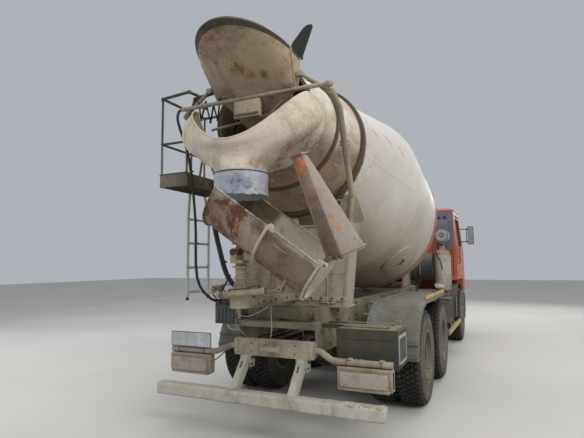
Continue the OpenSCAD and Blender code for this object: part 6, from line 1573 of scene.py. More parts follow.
# bundle of pale blue cables, thin light leads, a crumpled sheet and black rod
for k in range(5):
    o_ = 0.010 * k
    B_.tube(spline([(-0.70 + o_, 0.10, 1.33), (-0.69 + o_, 0.04, 1.395 + o_ * 0.4), (-0.62 + o_, 0.01 + o_, 1.42), (-0.55 + o_, 0.10, 1.40 + o_), (-0.50 + o_, 0.28, 1.33), (-0.47 + o_, 0.385, 1.30)], 5), 0.0055, 8, 5)
B_.tube(spline([(-0.49, 0.055, 1.22), (-0.43, -0.02, 1.13), (-0.30, -0.03, 1.10), (-0.12, 0.02, 1.18), (-0.062, 0.06, 1.26)], 6), 0.0035, 7, 2)
B_.tube(spline([(-0.50, 0.055, 1.06), (-0.44, 0.0, 0.98), (-0.38, 0.0, 0.93), (-0.34, 0.01, 0.89)], 6), 0.0035, 7, 2)
B_.tube(spline([(-0.062, 0.20, 1.29), (-0.10, 0.12, 1.20), (-0.07, 0.05, 1.10), (-0.05, 0.02, 0.98), (-0.06, 0.01, 0.884)], 6), 0.004, 7, 2)
B_.tube([V((-0.47, -0.10, 1.52)), V((-0.66, 0.03, 1.345))], 0.010, 10, 3)
rows = []
for i in range(7):
    rows.append([V((-0.80 + i * 0.022, 0.04 + 0.018 * math.sin(j * 1.7 + i), 1.33 + j * 0.013 + 0.008 * math.cos(i * 2.1 + j))) for j in range(7)])
B_.shell(rows, 0.002, 4, closed=False)
B_.done("control_fittings", [MAT["control"], MAT["dark"], MAT["white"], MAT["black"], MAT["beige"], MAT["bluewhite"]], "chassis", sharp=32)
B_ = Build()
for p_, d_, r_ in (((-0.757, -0.30, 1.85), (-0.03, 0, 0.6), 0.0145), ((-0.806, -0.336, 2.60), (0.05, 0.05, -0.62), 0.0145), ((-0.516, -0.156, 1.655), (0.09, 0.03, -0.3), 0.0265), ((-0.66, -0.142, 2.18), (0.04, -0.05, -0.2), 0.0265)):
    B_.lathe([(-0.009, r_ + 0.0002), (-0.009, r_ + 0.003), (0.009, r_ + 0.003), (0.009, r_ + 0.0002)], p_, d_, 24, 0)
    B_.box(tuple(V(p_) + V((r_ + 0.001, -0.008, -0.008))), tuple(V(p_) + V((r_ + 0.015, 0.008, 0.008))), 0.002, 0)
B_.done("hose_clamps", [MAT["dark"]], "chassis", sharp=32)

# ---------------------------------------------------------------- exhaust, air cleaner, heat guard
B_ = Build()
for z in (1.13, 1.36, 1.60, 1.80):
    B_.lathe([(-0.012, 0.1402), (-0.012, 0.1445), (0.012, 0.1445), (0.012, 0.1402)], (0.95, 5.48, z), (0, 0, 1), 56, 0)
    B_.box((1.085, 5.465, z - 0.012), (1.105, 5.495, z + 0.012), 0.003, 0)
    B_.bolt((1.105, 5.48, z), (1, 0, 0), 0.008, 0.008, 1)
B_.lathe([(0, 0.0553), (0, 0.139), (0.012, 0.139), (0.05, 0.075), (0.07, 0.0553)], (0.95, 5.48, 1.829), (0, 0, 1), 48, 0)
for z in (1.98, 2.42):
    B_.lathe([(-0.010, 0.0552), (-0.010, 0.060), (0.010, 0.060), (0.010, 0.0552)], (0.95, 5.48, z), (0, 0, 1), 32, 1)
# perforated guard wrapped round the silencer's rear and outer side; the perforations are black discs, painted shade
# standing in for the holes
rows = []
for k in range(11):
    rows.append([V((0.95 + 0.158 * math.sin(RAD(a_)), 5.48 - 0.158 * math.cos(RAD(a_)), 1.20 + k * 0.058)) for a_ in range(-75, 126, 8)])
B_.shell(rows, 0.003, 2, closed=False)
for k in range(15):
    for j in range(12):
        a_ = RAD(-66 + j * 16.5 + (8 if k % 2 else 0))
        if a_ < RAD(122):
            d_ = V((math.sin(a_), -math.cos(a_), 0))
            q_ = V((0.95, 5.48, 1.225 + k * 0.038)) + d_ * 0.158
            B_.cyl(q_ - d_ * 0.0005, q_ + d_ * 0.0009, 0.0085, 8, 3, 0.0)
for a_ in (-75, 125):
    d_ = V((math.sin(RAD(a_)), -math.cos(RAD(a_)), 0))
    B_.tube([V((0.95, 5.48, 1.198)) + d_ * 0.157, V((0.95, 5.48, 1.782)) + d_ * 0.157], 0.005, 8, 2)
# air cleaner: end cover with clips, ribs round the drum
B_.lathe([(0, 0.0005), (0.0, 0.045), (0.010, 0.055), (0.012, 0.10), (0.002, 0.112), (0.0, 0.128), (-0.01, 0.1345), (-0.03, 0.1345), (-0.03, 0.129)], (0.965, 5.302, 2.16), (0, -1, 0), 56, 5, close=False)
B_.cyl((0.965, 5.298, 2.16), (0.965, 5.284, 2.16), 0.02, 28, 5, 0.006)
for i in range(6):
    a_ = math.tau * i / 6 + 0.3
    d_ = V((math.cos(a_), 0, math.sin(a_)))
    B_.box((-0.010, -0.02, 0.0), (0.010, 0.02, 0.008), 0.002, 1, Matrix.Translation(V((0.965, 5.325, 2.16)) + d_ * 0.1335) @ Matrix.Rotation(math.atan2(d_.x, d_.z), 4, "Y"))
for y in (5.40, 5.47, 5.54):
    B_.lathe([(-0.008, 0.1302), (-0.006, 0.1345), (0.006, 0.1345), (0.008, 0.1302)], (0.965, y, 2.16), (0, 1, 0), 56, 2)
# bluish plate with two round holes drawn as black discs, painted shade standing in for the openings, box below it and a
# loop of cable
B_.plate([(0.812, 2.46), (1.168, 2.46), (1.168, 2.70), (0.812, 2.70)], (0, 5.6395, 0), (1, 0, 0), (0, 0, 1), 0.006, 0.0015, 4)
for x_ in (0.885, 1.005):
    B_.cyl((x_, 5.634, 2.545), (x_, 5.6325, 2.545), 0.034, 30, 3, 0.0005)
    B_.lathe([(0, 0.034), (0.003, 0.0345), (0.003, 0.042), (0, 0.0425)], (x_, 5.6335, 2.545), (0, -1, 0), 30, 4)
B_.box((0.85, 5.42, 2.12), (1.07, 5.639, 2.47), 0.010, 4)
for x_ in (0.89, 0.96, 1.03):
    B_.box((x_ - 0.012, 5.414, 2.31), (x_ + 0.012, 5.421, 2.455), 0.003, 4)
B_.tube(spline([(0.90, 5.50, 2.33), (0.86, 5.40, 2.28), (0.835, 5.34, 2.05), (0.86, 5.33, 1.80), (0.93, 5.325, 1.66), (0.96, 5.318, 1.50)], 6), 0.011, 10, 3)
# ribbed duct and the plates at the lower bracket
q = spline([(0.985, 4.30, 1.235), (0.99, 4.7, 1.205), (0.985, 5.1, 1.175), (0.96, 5.33, 1.14)], 8)
B_.tube(q, 0.034, 16, 2)
for i in range(34):
    t_ = i / 33 * (len(q) - 1.001)
    a_, b_ = q[int(t_)], q[int(t_) + 1]
    ring_on(B_, a_.lerp(b_, t_ - int(t_)), b_ - a_, 0.0355, 0.004, 2, 16)
for x_ in (0.50, 0.75, 0.99):
    B_.box((x_, 5.433, 1.01), (x_ + 0.01, 5.4405, 1.095), 0.002, 0)
    B_.bolt((x_ + 0.035, 5.4402, 1.05), (0, -1, 0), 0.010, 0.009, 1)
for z in (1.95, 2.15, 2.38, 2.58):
    B_.bolt((1.135, 5.6405, z), (0, -1, 0), 0.008, 0.007, 1)
B_.done("exhaust_fittings", [MAT["beige"], MAT["dark"], MAT["pale"], MAT["black"], MAT["greyblue"], MAT["cap"]], "chassis", sharp=32)

# ---------------------------------------------------------------- water tank, fuel tank, air tanks, battery box
B_ = Build()
# bands and end caps share the tank's dark grey, painted shade
for x_ in (-0.62, -0.38, 0.0, 0.38, 0.62):
    B_.lathe([(-0.02, 0.2703), (-0.018, 0.2745), (0.018, 0.2745), (0.02, 0.2703)], (x_, 5.48, 1.56), (1, 0, 0), 72, 1 if abs(x_) in (0.38,) else 0)
for sg in (-1, 1):
    B_.lathe([(0, 0.0005), (0.0, 0.10), (-0.002, 0.20), (-0.006, 0.245), (-0.02, 0.272), (-0.035, 0.273), (-0.035, 0.2702)], (sg * 0.781, 5.48, 1.56), (sg, 0, 0), 64, 0, close=False)
    B_.lathe([(-0.004, 0.262), (-0.004, 0.276), (0.004, 0.276), (0.004, 0.262)], (sg * 0.765, 5.48, 1.56), (sg, 0, 0), 64, 0)
B_.cyl((0.15, 5.48, 1.82), (0.15, 5.48, 1.87), 0.075, 36, 0, 0.006)
B_.cyl((0.15, 5.48, 1.865), (0.15, 5.48, 1.892), 0.084, 36, 1, 0.006)
B_.tube([V((0.55, 5.21, 1.40)), V((0.55, 5.195, 1.42)), V((0.55, 5.195, 1.70)), V((0.55, 5.22, 1.72))], 0.009, 10, 2)
for z in (1.40, 1.72):
    B_.cyl((0.55, 5.23, z), (0.55, 5.205, z), 0.016, 16, 1)
B_.lathe([(0, 0.0605), (0, 0.066), (0.03, 0.066), (0.03, 0.0605)], (-0.99, 5.48, 1.70), (1, 0, 0), 32, 1)
for i in range(8):
    a_ = math.tau * i / 8
    B_.bolt((-1.0, 5.48 + 0.045 * math.cos(a_), 1.70 + 0.045 * math.sin(a_)), (-1, 0, 0), 0.006, 0.006, 1, washer=False)
B_.tube(spline([(-0.1, 5.48, 1.29), (-0.1, 5.46, 1.22), (-0.2, 5.38, 1.19), (-0.36, 5.2, 1.20), (-0.40, 4.9, 1.20)], 6), 0.018, 12, 3)
for x_ in (-0.38, 0.38):
    for y in (5.405, 5.555):
        B_.bolt((x_ - 0.0, y + (0.0 if y < 5.5 else 0.0), 1.30), (0, -1 if y < 5.5 else 1, 0), 0.010, 0.010, 1)
B_.done("water_tank_fittings", [MAT["tank"], MAT["dark"], MAT["chromed"], MAT["rubber"]], "chassis", sharp=32)
B_ = Build()


def ft_loop(k):
    return round_rect(-0.86 - 0.32 - k, -0.86 + 0.32 + k, 0.80 - 0.25 - k, 0.80 + 0.25 + k, 0.045 + k, 6)


for y in (3.93, 4.58):
    B_.tube([V((x_, y - 0.018, z_)) for x_, z_ in ft_loop(0.0015)], 0.004, 6, 1, closed=True)
    B_.tube([V((x_, y + 0.018, z_)) for x_, z_ in ft_loop(0.0015)], 0.004, 6, 1, closed=True)
    B_.tube([V((x_, y, z_)) for x_, z_ in ft_loop(0.0)], 0.006, 6, 1, closed=True)
    B_.bolt((-1.186, y, 0.72), (-1, 0, 0), 0.010, 0.010, 1)
for y, sg in ((3.64, -1), (4.89, 1)):
    B_.tube([V((x_, y, z_)) for x_, z_ in ft_loop(-0.006)], 0.007, 8, 0, closed=True)
    B_.tube([V((x_, y + sg * 0.001, z_)) for x_, z_ in ft_loop(-0.07)], 0.006, 8, 0, closed=True)
    B_.tube([V((x_, y + sg * 0.001, z_)) for x_, z_ in ft_loop(-0.12)], 0.004, 8, 0, closed=True)
B_.tube([V((-1.1806, 3.70, 0.80)), V((-1.1806, 4.84, 0.80))], 0.003, 6, 0)
B_.cyl((-0.95, 4.25, 1.045), (-0.95, 4.25, 1.085), 0.05, 30, 0, 0.004)
B_.lathe([(0, 0.0005), (0, 0.058), (0.006, 0.062), (0.026, 0.060), (0.032, 0.05), (0.032, 0.0005)], (-0.95, 4.25, 1.082), (0, 0, 1), 18, 1, close=False)
B_.cyl((-0.75, 4.05, 1.048), (-0.75, 4.05, 1.062), 0.035, 24, 1, 0.002)
B_.cyl((-0.86, 4.2, 0.55), (-0.86, 4.2, 0.535), 0.02, 6, 1, 0.002)
for y in (4.0, 4.45):
    B_.box((-1.15, y - 0.01, 0.46), (-0.60, y + 0.01, 0.475), 0.003, 1)
B_.done("fuel_tank_fittings", [MAT["cast"], MAT["dark"]], "chassis", sharp=32)
B_ = Build()
for z in (0.64, 0.92):
    for y, sg in ((3.65, -1), (4.55, 1)):
        B_.lathe([(0.030, 0.0005), (0.028, 0.04), (0.018, 0.085), (0.0, 0.118), (-0.015, 0.1265), (-0.03, 0.1265), (-0.03, 0.1252)], (0.70, y, z), (0, sg, 0), 48, 0, close=False)
        B_.cyl((0.70, y + sg * 0.028, z), (0.70, y + sg * 0.045, z), 0.014, 6, 1, 0.002)
    for y in (3.83, 4.33):
        B_.lathe([(-0.02, 0.1252), (-0.02, 0.129), (0.02, 0.129), (0.02, 0.1252)], (0.70, y, z), (0, 1, 0), 48, 1)
        B_.bolt((0.832, y, z), (1, 0, 0), 0.010, 0.012, 1)
    B_.cyl((0.70, 4.1, z - 0.124), (0.70, 4.1, z - 0.145), 0.012, 12, 1, 0.002)
    B_.tube(spline([(0.70, 4.60, z), (0.68, 4.62, z + 0.01), (0.56, 4.60, 0.98), (0.45, 4.5, 1.0)], 6), 0.007, 8, 2)
# battery box: lid, ribs, latches, handle
B_.box((0.595, 4.592, 0.955), (1.156, 5.158, 0.985), 0.008, 3)
B_.box((0.60, 4.598, 0.90), (1.154, 5.154, 0.912), 0.004, 3)
for k in range(5):
    B_.box((1.1495, 4.65 + k * 0.095, 0.60), (1.156, 4.68 + k * 0.095, 0.88), 0.003, 3)
    B_.box((0.63 + k * 0.10, 4.5945, 0.60), (0.66 + k * 0.10, 4.601, 0.88), 0.003, 3)
for y in (4.72, 5.03):
    B_.box((1.155, y - 0.02, 0.89), (1.163, y + 0.02, 0.965), 0.002, 1)
    B_.cyl((1.161, y - 0.02, 0.90), (1.161, y + 0.02, 0.90), 0.006, 10, 1, 0.001)
B_.tube(spline([(0.80, 4.80, 0.985), (0.80, 4.80, 1.01), (0.82, 4.80, 1.02), (0.93, 4.80, 1.02), (0.95, 4.80, 1.01), (0.95, 4.80, 0.985)], 4), 0.007, 8, 1)
B_.done("air_tank_fittings", [MAT["cast"], MAT["dark"], MAT["rubber"], MAT["black"]], "chassis", sharp=32)

# ---------------------------------------------------------------- engine
B_ = Build()
B_.box((-0.255, 5.86, 0.86), (0.255, 6.76, 1.12), 0.02, 0)
B_.box((-0.19, 5.92, 0.702), (0.19, 6.70, 0.87), 0.03, 1)
B_.box((-0.20, 5.90, 0.852), (0.20, 6.72, 0.868), 0.003, 0)
for sg in (-1, 1):
    for k in range(4):
        y = 5.90 + k * 0.215
        B_.box((sg * 0.12, y, 1.10), (sg * 0.325, y + 0.19, 1.215), 0.016, 0)
        B_.box((sg * 0.15, y + 0.012, 1.21), (sg * 0.305, y + 0.178, 1.252), 0.012, 1)
        for q in (0.03, 0.16):
            B_.bolt((sg * 0.228, y + q, 1.2405), (0, 0, 1), 0.010, 0.009, 1)
        B_.tube(spline([(sg * 0.315, y + 0.095, 1.16), (sg * 0.325, y + 0.095, 1.10), (sg * 0.322, y + 0.05, 1.04), (sg * 0.30, y + 0.02, 1.02)], 4), 0.022, 12, 1)
    B_.tube([V((sg * 0.295, 5.80, 1.02)), V((sg * 0.295, 6.72, 1.02))], 0.032, 16, 1)
    for k in range(9):
        B_.bolt((sg * 0.196, 5.95 + k * 0.09, 0.86), (0, 0, -1), 0.008, 0.008, 1, washer=False)
B_.lathe([(0, 0.0005), (0, 0.12), (0.01, 0.15), (0.08, 0.24), (0.115, 0.245), (0.115, 0.0005)], (0, 5.752, 0.99), (0, 1, 0), 48, 0, close=False)
B_.lathe([(0, 0.0005), (0, 0.09), (0.012, 0.10), (0.02, 0.092), (0.03, 0.10), (0.04, 0.09), (0.06, 0.05), (0.09, 0.05), (0.09, 0.0005)], (0, 6.755, 0.93), (0, 1, 0), 40, 1, close=False)
for i in range(8):
    a_ = math.tau * i / 8
    d_ = V((math.cos(a_), 0, math.sin(a_)))
    m_ = Matrix.Translation(V((0, 6.865, 0.985))) @ Matrix.Rotation(-a_, 4, "Y") @ Matrix.Rotation(RAD(24), 4, "X")
    B_.box((0.05, -0.022, -0.002), (0.262, 0.022, 0.002), 0.001, 2, m_)
B_.cyl((0, 6.83, 0.985), (0, 6.896, 0.985), 0.065, 30, 2, 0.006)
B_.cyl((-0.21, 6.2, 0.93), (-0.325, 6.2, 0.93), 0.05, 26, 1, 0.006)
B_.cyl((0.21, 6.4, 0.95), (0.325, 6.4, 0.95), 0.06, 26, 0, 0.006)
B_.done("engine_assembly", [MAT["cast"], MAT["dark"], MAT["black"]], "chassis", ["engine"], sharp=32)

# ---------------------------------------------------------------- drum drive and front pedestal
B_ = Build()
ax_ = DW
for s_, r_ in ((4.08, 0.261), (4.26, 0.261), (4.435, 0.261)):
    B_.lathe([(-0.012, r_ - 0.0005), (-0.012, r_ + 0.02), (0.012, r_ + 0.02), (0.012, r_ - 0.0005)], DO + DW * s_, ax_, 64, 0)
for i in range(16):
    a_ = math.tau * i / 16
    d_ = V((math.cos(a_), 0, 0)) + DU * math.sin(a_)
    B_.bolt(DO + DW * 4.455 + d_ * 0.235, ax_, 0.012, 0.012, 1)
    B_.bar(DO + DW * 4.10 + d_ * 0.262, DO + DW * 4.42 + d_ * 0.262, 0.012, 0.03, 0.002, 0, tuple(d_))
for i in range(10):
    B_.lathe([(-0.006, 0.1495), (-0.005, 0.162), (0.005, 0.162), (0.006, 0.1495)], DO + DW * (4.50 + i * 0.021), ax_, 48, 1)
for sg in (-1, 1):
    q = spline([tuple(DO + DW * 4.69 + V((sg * 0.08, 0, -0.10))), tuple(DO + DW * 4.72 + V((sg * 0.10, 0.03, -0.22))), (sg * 0.22, 5.16, 1.60), (sg * 0.24, 5.12, 1.30), (sg * 0.26, 5.25, 1.12)], 7)
    B_.tube(q, 0.019, 12, 2)
B_.done("drum_drive_fittings", [MAT["cast"], MAT["dark"], MAT["rubber"]], "chassis", sharp=32)
B_ = Build()
for sg in (-1, 1):
    for a0, b0 in (((4.5, 1.19), (4.80, 1.89)), ((5.15, 1.19), (5.05, 1.89))):
        B_.bar((sg * 0.365, a0[0], a0[1]), (sg * 0.365, b0[0], b0[1]), 0.03, 0.008, 0.002, 0, (1, 0, 0))
    for y in (4.7, 4.95):
        B_.bar((sg * 0.352, y, 1.20), (sg * 0.352, y + 0.03, 1.88), 0.008, 0.03, 0.002, 0, (1, 0, 0))
    for k in range(5):
        B_.bolt((sg * 0.395, 4.56 + k * 0.13, 1.20), (0, 0, 1), 0.012, 0.011, 1)
    for y in (4.84, 5.0):
        for z in (1.74, 1.86):
            B_.bolt((sg * 0.3502, y, z), (sg, 0, 0), 0.011, 0.011, 1)
    B_.lathe([(0, 0.07), (0.003, 0.072), (0.003, 0.085), (0, 0.087)], (sg * 0.3502, 4.88, 1.50), (sg, 0, 0), 36, 0)
for y in (4.79, 5.061):
    for x_ in (-0.25, 0.25):
        B_.bar((x_, y - 0.001, 1.505), (x_, y - 0.001, 1.79), 0.02, 0.006, 0.001, 0, (0, 1, 0))
B_.done("front_pedestal_fittings", [MAT["beige"], MAT["dark"]], "chassis", sharp=32)

# ---------------------------------------------------------------- frame bolts, gussets, springs, axles
B_ = Build()
for sg in (-1, 1):
    for k in range(22):
        y = 0.42 + k * 0.315
        if abs(y - 2.19) > 0.15 and y < 7.2:
            for z in (0.80, 0.985):
                B_.bolt((sg * 0.4327, y, z), (sg, 0, 0), 0.010, 0.009, 1)
    for y in (0.60, 1.25, 1.95, 2.9, 3.75, 4.7):
        B_.box((sg * 0.4325, y, 0.93), (sg * 0.4385, y + 0.09, 1.175), 0.002, 0)
        for z in (0.96, 1.02, 1.12, 1.155):
            B_.bolt((sg * 0.4387, y + 0.025, z), (sg, 0, 0), 0.009, 0.008, 1)
            B_.bolt((sg * 0.4387, y + 0.065, z), (sg, 0, 0), 0.009, 0.008, 1)
    B_.tube(spline([(sg * 0.30, 0.2, 0.86), (sg * 0.34, 1.2, 0.84), (sg * 0.33, 2.6, 0.86), (sg * 0.34, 4.0, 0.84), (sg * 0.33, 5.5, 0.86)], 8), 0.011, 8, 2)
    B_.tube(spline([(sg * 0.36, 0.3, 0.80), (sg * 0.355, 1.8, 0.79), (sg * 0.36, 3.6, 0.80), (sg * 0.355, 5.5, 0.79)], 8), 0.008, 8, 2)
B_.crust([V((sg_ * rng.uniform(0.36, 0.43), rng.uniform(0.1, 0.9), 1.0515)) for sg_ in (-1, 1) for _ in range(20)], 0.012, 3, 96)
B_.done("frame_fittings", [MAT["frame"], MAT["dark"], MAT["rubber"], MAT["concrete"]], "chassis", sharp=32)
B_ = Build()
for sg in (-1, 1):
    # balance suspension: U-bolts, saddle, clips; front springs: U-bolts and clips
    for y in (2.125, 2.255):
        B_.tube([V((sg * 0.446, y, 0.60)), V((sg * 0.446, y, 0.735)), V((sg * 0.50, y, 0.742)), V((sg * 0.544, y, 0.735)), V((sg * 0.544, y, 0.60))], 0.012, 10, 1)
        for x_ in (0.446, 0.544):
            B_.cyl((sg * x_, y, 0.622), (sg * x_, y, 0.60), 0.02, 6, 1, 0.002)
    B_.cyl((sg * 0.43, 2.19, 0.60), (sg * 0.56, 2.19, 0.60), 0.085, 40, 0, 0.01)
    B_.cyl((sg * 0.555, 2.19, 0.60), (sg * 0.575, 2.19, 0.60), 0.06, 32, 1, 0.006)
    for i in range(6):
        a_ = math.tau * i / 6
        B_.bolt((sg * 0.575, 2.19 + 0.042 * math.cos(a_), 0.60 + 0.042 * math.sin(a_)), (sg, 0, 0), 0.008, 0.008, 1, washer=False)
    for y in (1.75, 2.63):
        B_.box((sg * 0.445, y - 0.012, 0.632), (sg * 0.545, y + 0.012, 0.70), 0.003, 1)
    for y in (6.30, 6.56):
        B_.tube([V((sg * 0.346, y, 0.575)), V((sg * 0.346, y, 0.69)), V((sg * 0.39, y, 0.697)), V((sg * 0.434, y, 0.69)), V((sg * 0.434, y, 0.575))], 0.010, 10, 1)
    for y in (5.95, 6.9):
        B_.box((sg * 0.345, y - 0.012, 0.60), (sg * 0.435, y + 0.012, 0.69), 0.003, 1)
    for y in (5.74, 7.10):
        B_.cyl((sg * 0.34, y, 0.70), (sg * 0.44, y, 0.70), 0.028, 24, 1, 0.003)
B_.done("spring_fittings", [MAT["cast"], MAT["dark"]], "chassis", sharp=32)
B_ = Build()
for y in (1.49, 2.89):
    for i in range(12):
        a_ = math.tau * i / 12
        B_.bolt((0.125 * math.cos(a_), y - 0.168, 0.53 + 0.125 * math.sin(a_)), (0, -1, 0), 0.011, 0.010, 1)
    B_.lathe([(-0.008, 0.181), (-0.008, 0.19), (0.008, 0.19), (0.008, 0.181)], (0, y - 0.06, 0.53), (0, 1, 0), 48, 0)
    for sg in (-1, 1):
        B_.lathe([(-0.014, 0.0752), (-0.014, 0.10), (0.014, 0.10), (0.014, 0.0752)], (sg * 0.585, y, 0.53), (1, 0, 0), 40, 0)
        B_.box((sg * 0.44, y - 0.064, 0.6345), (sg * 0.55, y + 0.064, 0.642), 0.003, 0)
        B_.cyl((sg * 0.36, y + 0.10, 0.56), (sg * 0.36, y + 0.26, 0.60), 0.07, 30, 1, 0.008)
        B_.cyl((sg * 0.36, y + 0.20, 0.585), (sg * 0.36, y + 0.215, 0.589), 0.078, 30, 0, 0.002)
    B_.cyl((0, y + 0.262, 0.55), (0, y + 0.30, 0.55), 0.06, 28, 1, 0.004)
B_.done("axle_fittings", [MAT["cast"], MAT["dark"]], "chassis", sharp=32)

# ---------------------------------------------------------------- front bumper, mudguards, steps
B_ = Build()
B_.box((-1.15, 7.62, 0.45), (1.15, 7.80, 0.88), 0.022, 0, None, 4)
for x0, x1 in ((-1.148, -1.06), (-0.70, -0.16), (0.16, 0.70), (1.06, 1.148)):
    B_.box((x0, 7.78, 0.47), (x1, 7.8195, 0.87), 0.010, 0)
for sg in (-1, 1):
    B_.box((sg * 0.70, 7.78, 0.47), (sg * 1.06, 7.8195, 0.545), 0.008, 0)
    B_.box((sg * 0.70, 7.78, 0.80), (sg * 1.06, 7.8195, 0.87), 0.008, 0)
    # round headlamp and small side lamp in the recess
    B_.lathe([(0, 0.0005), (0.004, 0.06), (0.0, 0.092), (-0.004, 0.098), (-0.004, 0.108), (0.008, 0.110), (0.010, 0.100), (0.006, 0.094)], (sg * 0.86, 7.802, 0.672), (0, 1, 0), 48, 0, close=False, mats=[2, 2, 2, 3, 3, 3, 3, 3])
    B_.box((sg * 0.985, 7.795, 0.585), (sg * 1.045, 7.812, 0.76), 0.008, 4)
    B_.box((sg * 0.40 - 0.03, 7.352, 0.762), (sg * 0.40 + 0.03, 7.621, 0.858), 0.004, 1)
    for y in (7.42, 7.55):
        B_.bolt((sg * (0.43 + 0.0005), y, 0.81), (sg, 0, 0), 0.012, 0.011, 1)
    for k in range(9):
        B_.box((sg * (0.22 + k * 0.05), 7.8185, 0.58), (sg * (0.22 + k * 0.05) + sg * 0.022, 7.8198, 0.76), 0.0004, 5)
B_.box((-0.16, 7.78, 0.47), (0.16, 7.8195, 0.56), 0.006, 0)
B_.box((-0.16, 7.78, 0.74), (0.16, 7.8195, 0.87), 0.006, 0)
B_.box((-0.12, 7.79, 0.60), (0.12, 7.803, 0.70), 0.002, 5)
B_.box((-0.432, 7.341, 0.601), (0.432, 7.621, 0.7485), 0.008, 1)
B_.lathe([(0, 0.0205), (0, 0.034), (0.006, 0.034), (0.006, 0.0205)], (0, 7.78, 0.877), (0, 0, 1), 32, 1)
B_.cyl((0, 7.78, 0.884), (0, 7.78, 0.45), 0.0195, 24, 5, 0.001)
for k in range(26):
    B_.box((-1.10 + k * 0.0857, 7.66, 0.8795), (-1.07 + k * 0.0857, 7.76, 0.8835), 0.001, 5)
B_.done("front_bumper_dressed", [MAT["black"], MAT["dark"], MAT["lens"], MAT["chromed"], MAT["amber"], MAT["trim"]], "chassis", ["front_bumper"], sharp=32)
B_ = Build()
for sg in (-1, 1):
    arc = [V((sg * 1.153, 6.43 + 0.69 * math.cos(RAD(a_)), 0.53 + 0.69 * math.sin(RAD(a_)))) for a_ in range(5, 171, 5)]
    B_.tube(arc, 0.007, 8, 0)
    B_.tube([V((sg * 0.882, p.y, p.z)) for p in arc], 0.006, 8, 0)
    for a_ in (30, 60, 90, 120, 150):
        d_ = V((0, math.cos(RAD(a_)), math.sin(RAD(a_))))
        c_ = V((0, 6.43, 0.53))
        B_.bar(c_ + d_ * 0.697 + V((sg * 0.89, 0, 0)), c_ + d_ * 0.697 + V((sg * 1.145, 0, 0)), 0.02, 0.006, 0.002, 0, tuple(d_))
        B_.bolt(c_ + d_ * 0.70 + V((sg * 0.93, 0, 0)), d_, 0.009, 0.007, 1)
    # rear flap with ribs and its pale toothed edge
    for k in range(6):
        B_.box((sg * (0.90 + k * 0.043), 5.7335, 0.55), (sg * (0.915 + k * 0.043), 5.7365, 0.69), 0.001, 0)
    B_.box((sg * 1.135, 5.728, 0.55), (sg * 1.158, 5.7455, 0.99), 0.003, 0)
    for k in range(13):
        z = 0.57 + k * 0.031
        B_.plate([(0, 0), (0.016, 0.012), (0, 0.024)][::sg], (sg * 1.152, 5.7255, z), (sg, 0, 0), (0, 0, 1), 0.004, 0.001, 2)
    # two steps in front of the wheel: tread plates with holes and upright edges; the holes are dark discs, painted
    # shade standing in for the openings
    for z in (0.36, 0.60, 0.84):
        B_.box((sg * 1.02, 7.17, z + 0.005), (sg * 1.165, 7.54, z + 0.03), 0.006, 0)
        for k in range(8):
            B_.cyl((sg * 1.158, 7.20 + k * 0.044, z + 0.0295), (sg * 1.158, 7.20 + k * 0.044, z + 0.034), 0.006, 8, 2, 0.001)
            B_.cyl((sg * 1.09, 7.20 + k * 0.044, z + 0.0295), (sg * 1.09, 7.20 + k * 0.044, z + 0.034), 0.008, 8, 1, 0.001)
    for z0 in (0.40, 0.64):
        B_.box((sg * 1.1495, 7.19, z0), (sg * 1.1515, 7.52, z0 + 0.185), 0.0008, 3)
    for y in (7.155, 7.53):
        B_.box((sg * 1.12, y, 0.37), (sg * 1.162, y + 0.025, 0.92), 0.005, 0)
    B_.box((sg * 0.435, 7.335, 0.79), (sg * 0.74, 7.341, 0.89), 0.002, 0)
B_.done("front_mudguard_fittings", [MAT["black"], MAT["dark"], MAT["plate"], MAT["trim"]], "chassis", sharp=32)

# ---------------------------------------------------------------- cab


def scr(x, z, e=0.0):
    return V((x, 7.64 - (z - 1.95) * 0.253 + e, z))


def sidex(z):
    return 1.16 - max(0.0, z - 1.95) * 0.0904


B_ = Build()
sp = [(-1.0, 2.03), (1.0, 2.03), (0.94, 2.69), (-0.94, 2.69)]
loop = []
for i in range(4):
    a_, b_ = V((*sp[i], 0)), V((*sp[(i + 1) % 4], 0))
    for k in range(12):
        q_ = a_.lerp(b_, 0.04 + 0.92 * k / 11)
        loop.append(scr(q_.x, q_.y, 0.002))
B_.tube(loop, 0.017, 10, 0, closed=True)
rw = round_rect(-0.52, 0.52, 2.08, 2.56, 0.03)
B_.tube([V((x_, 6.10 + (z_ - 1.275) * 0.021 - 0.002, z_)) for x_, z_ in rw], 0.014, 10, 0, closed=True)
# wipers
for x_ in (-0.62, 0.0, 0.58):
    a_, b_ = scr(x_, 1.99, 0.03), scr(x_ + 0.30, 2.22, 0.03)
    B_.cyl(scr(x_, 1.985, 0.0), scr(x_, 1.985, 0.045), 0.014, 16, 0)
    B_.bar(a_, b_, 0.014, 0.007, 0.002, 0, (0, 1, 0.25))
    B_.bar(scr(x_ + 0.02, 2.19, 0.022), scr(x_ + 0.56, 2.245, 0.022), 0.010, 0.012, 0.002, 0, (0, 1, 0.25))
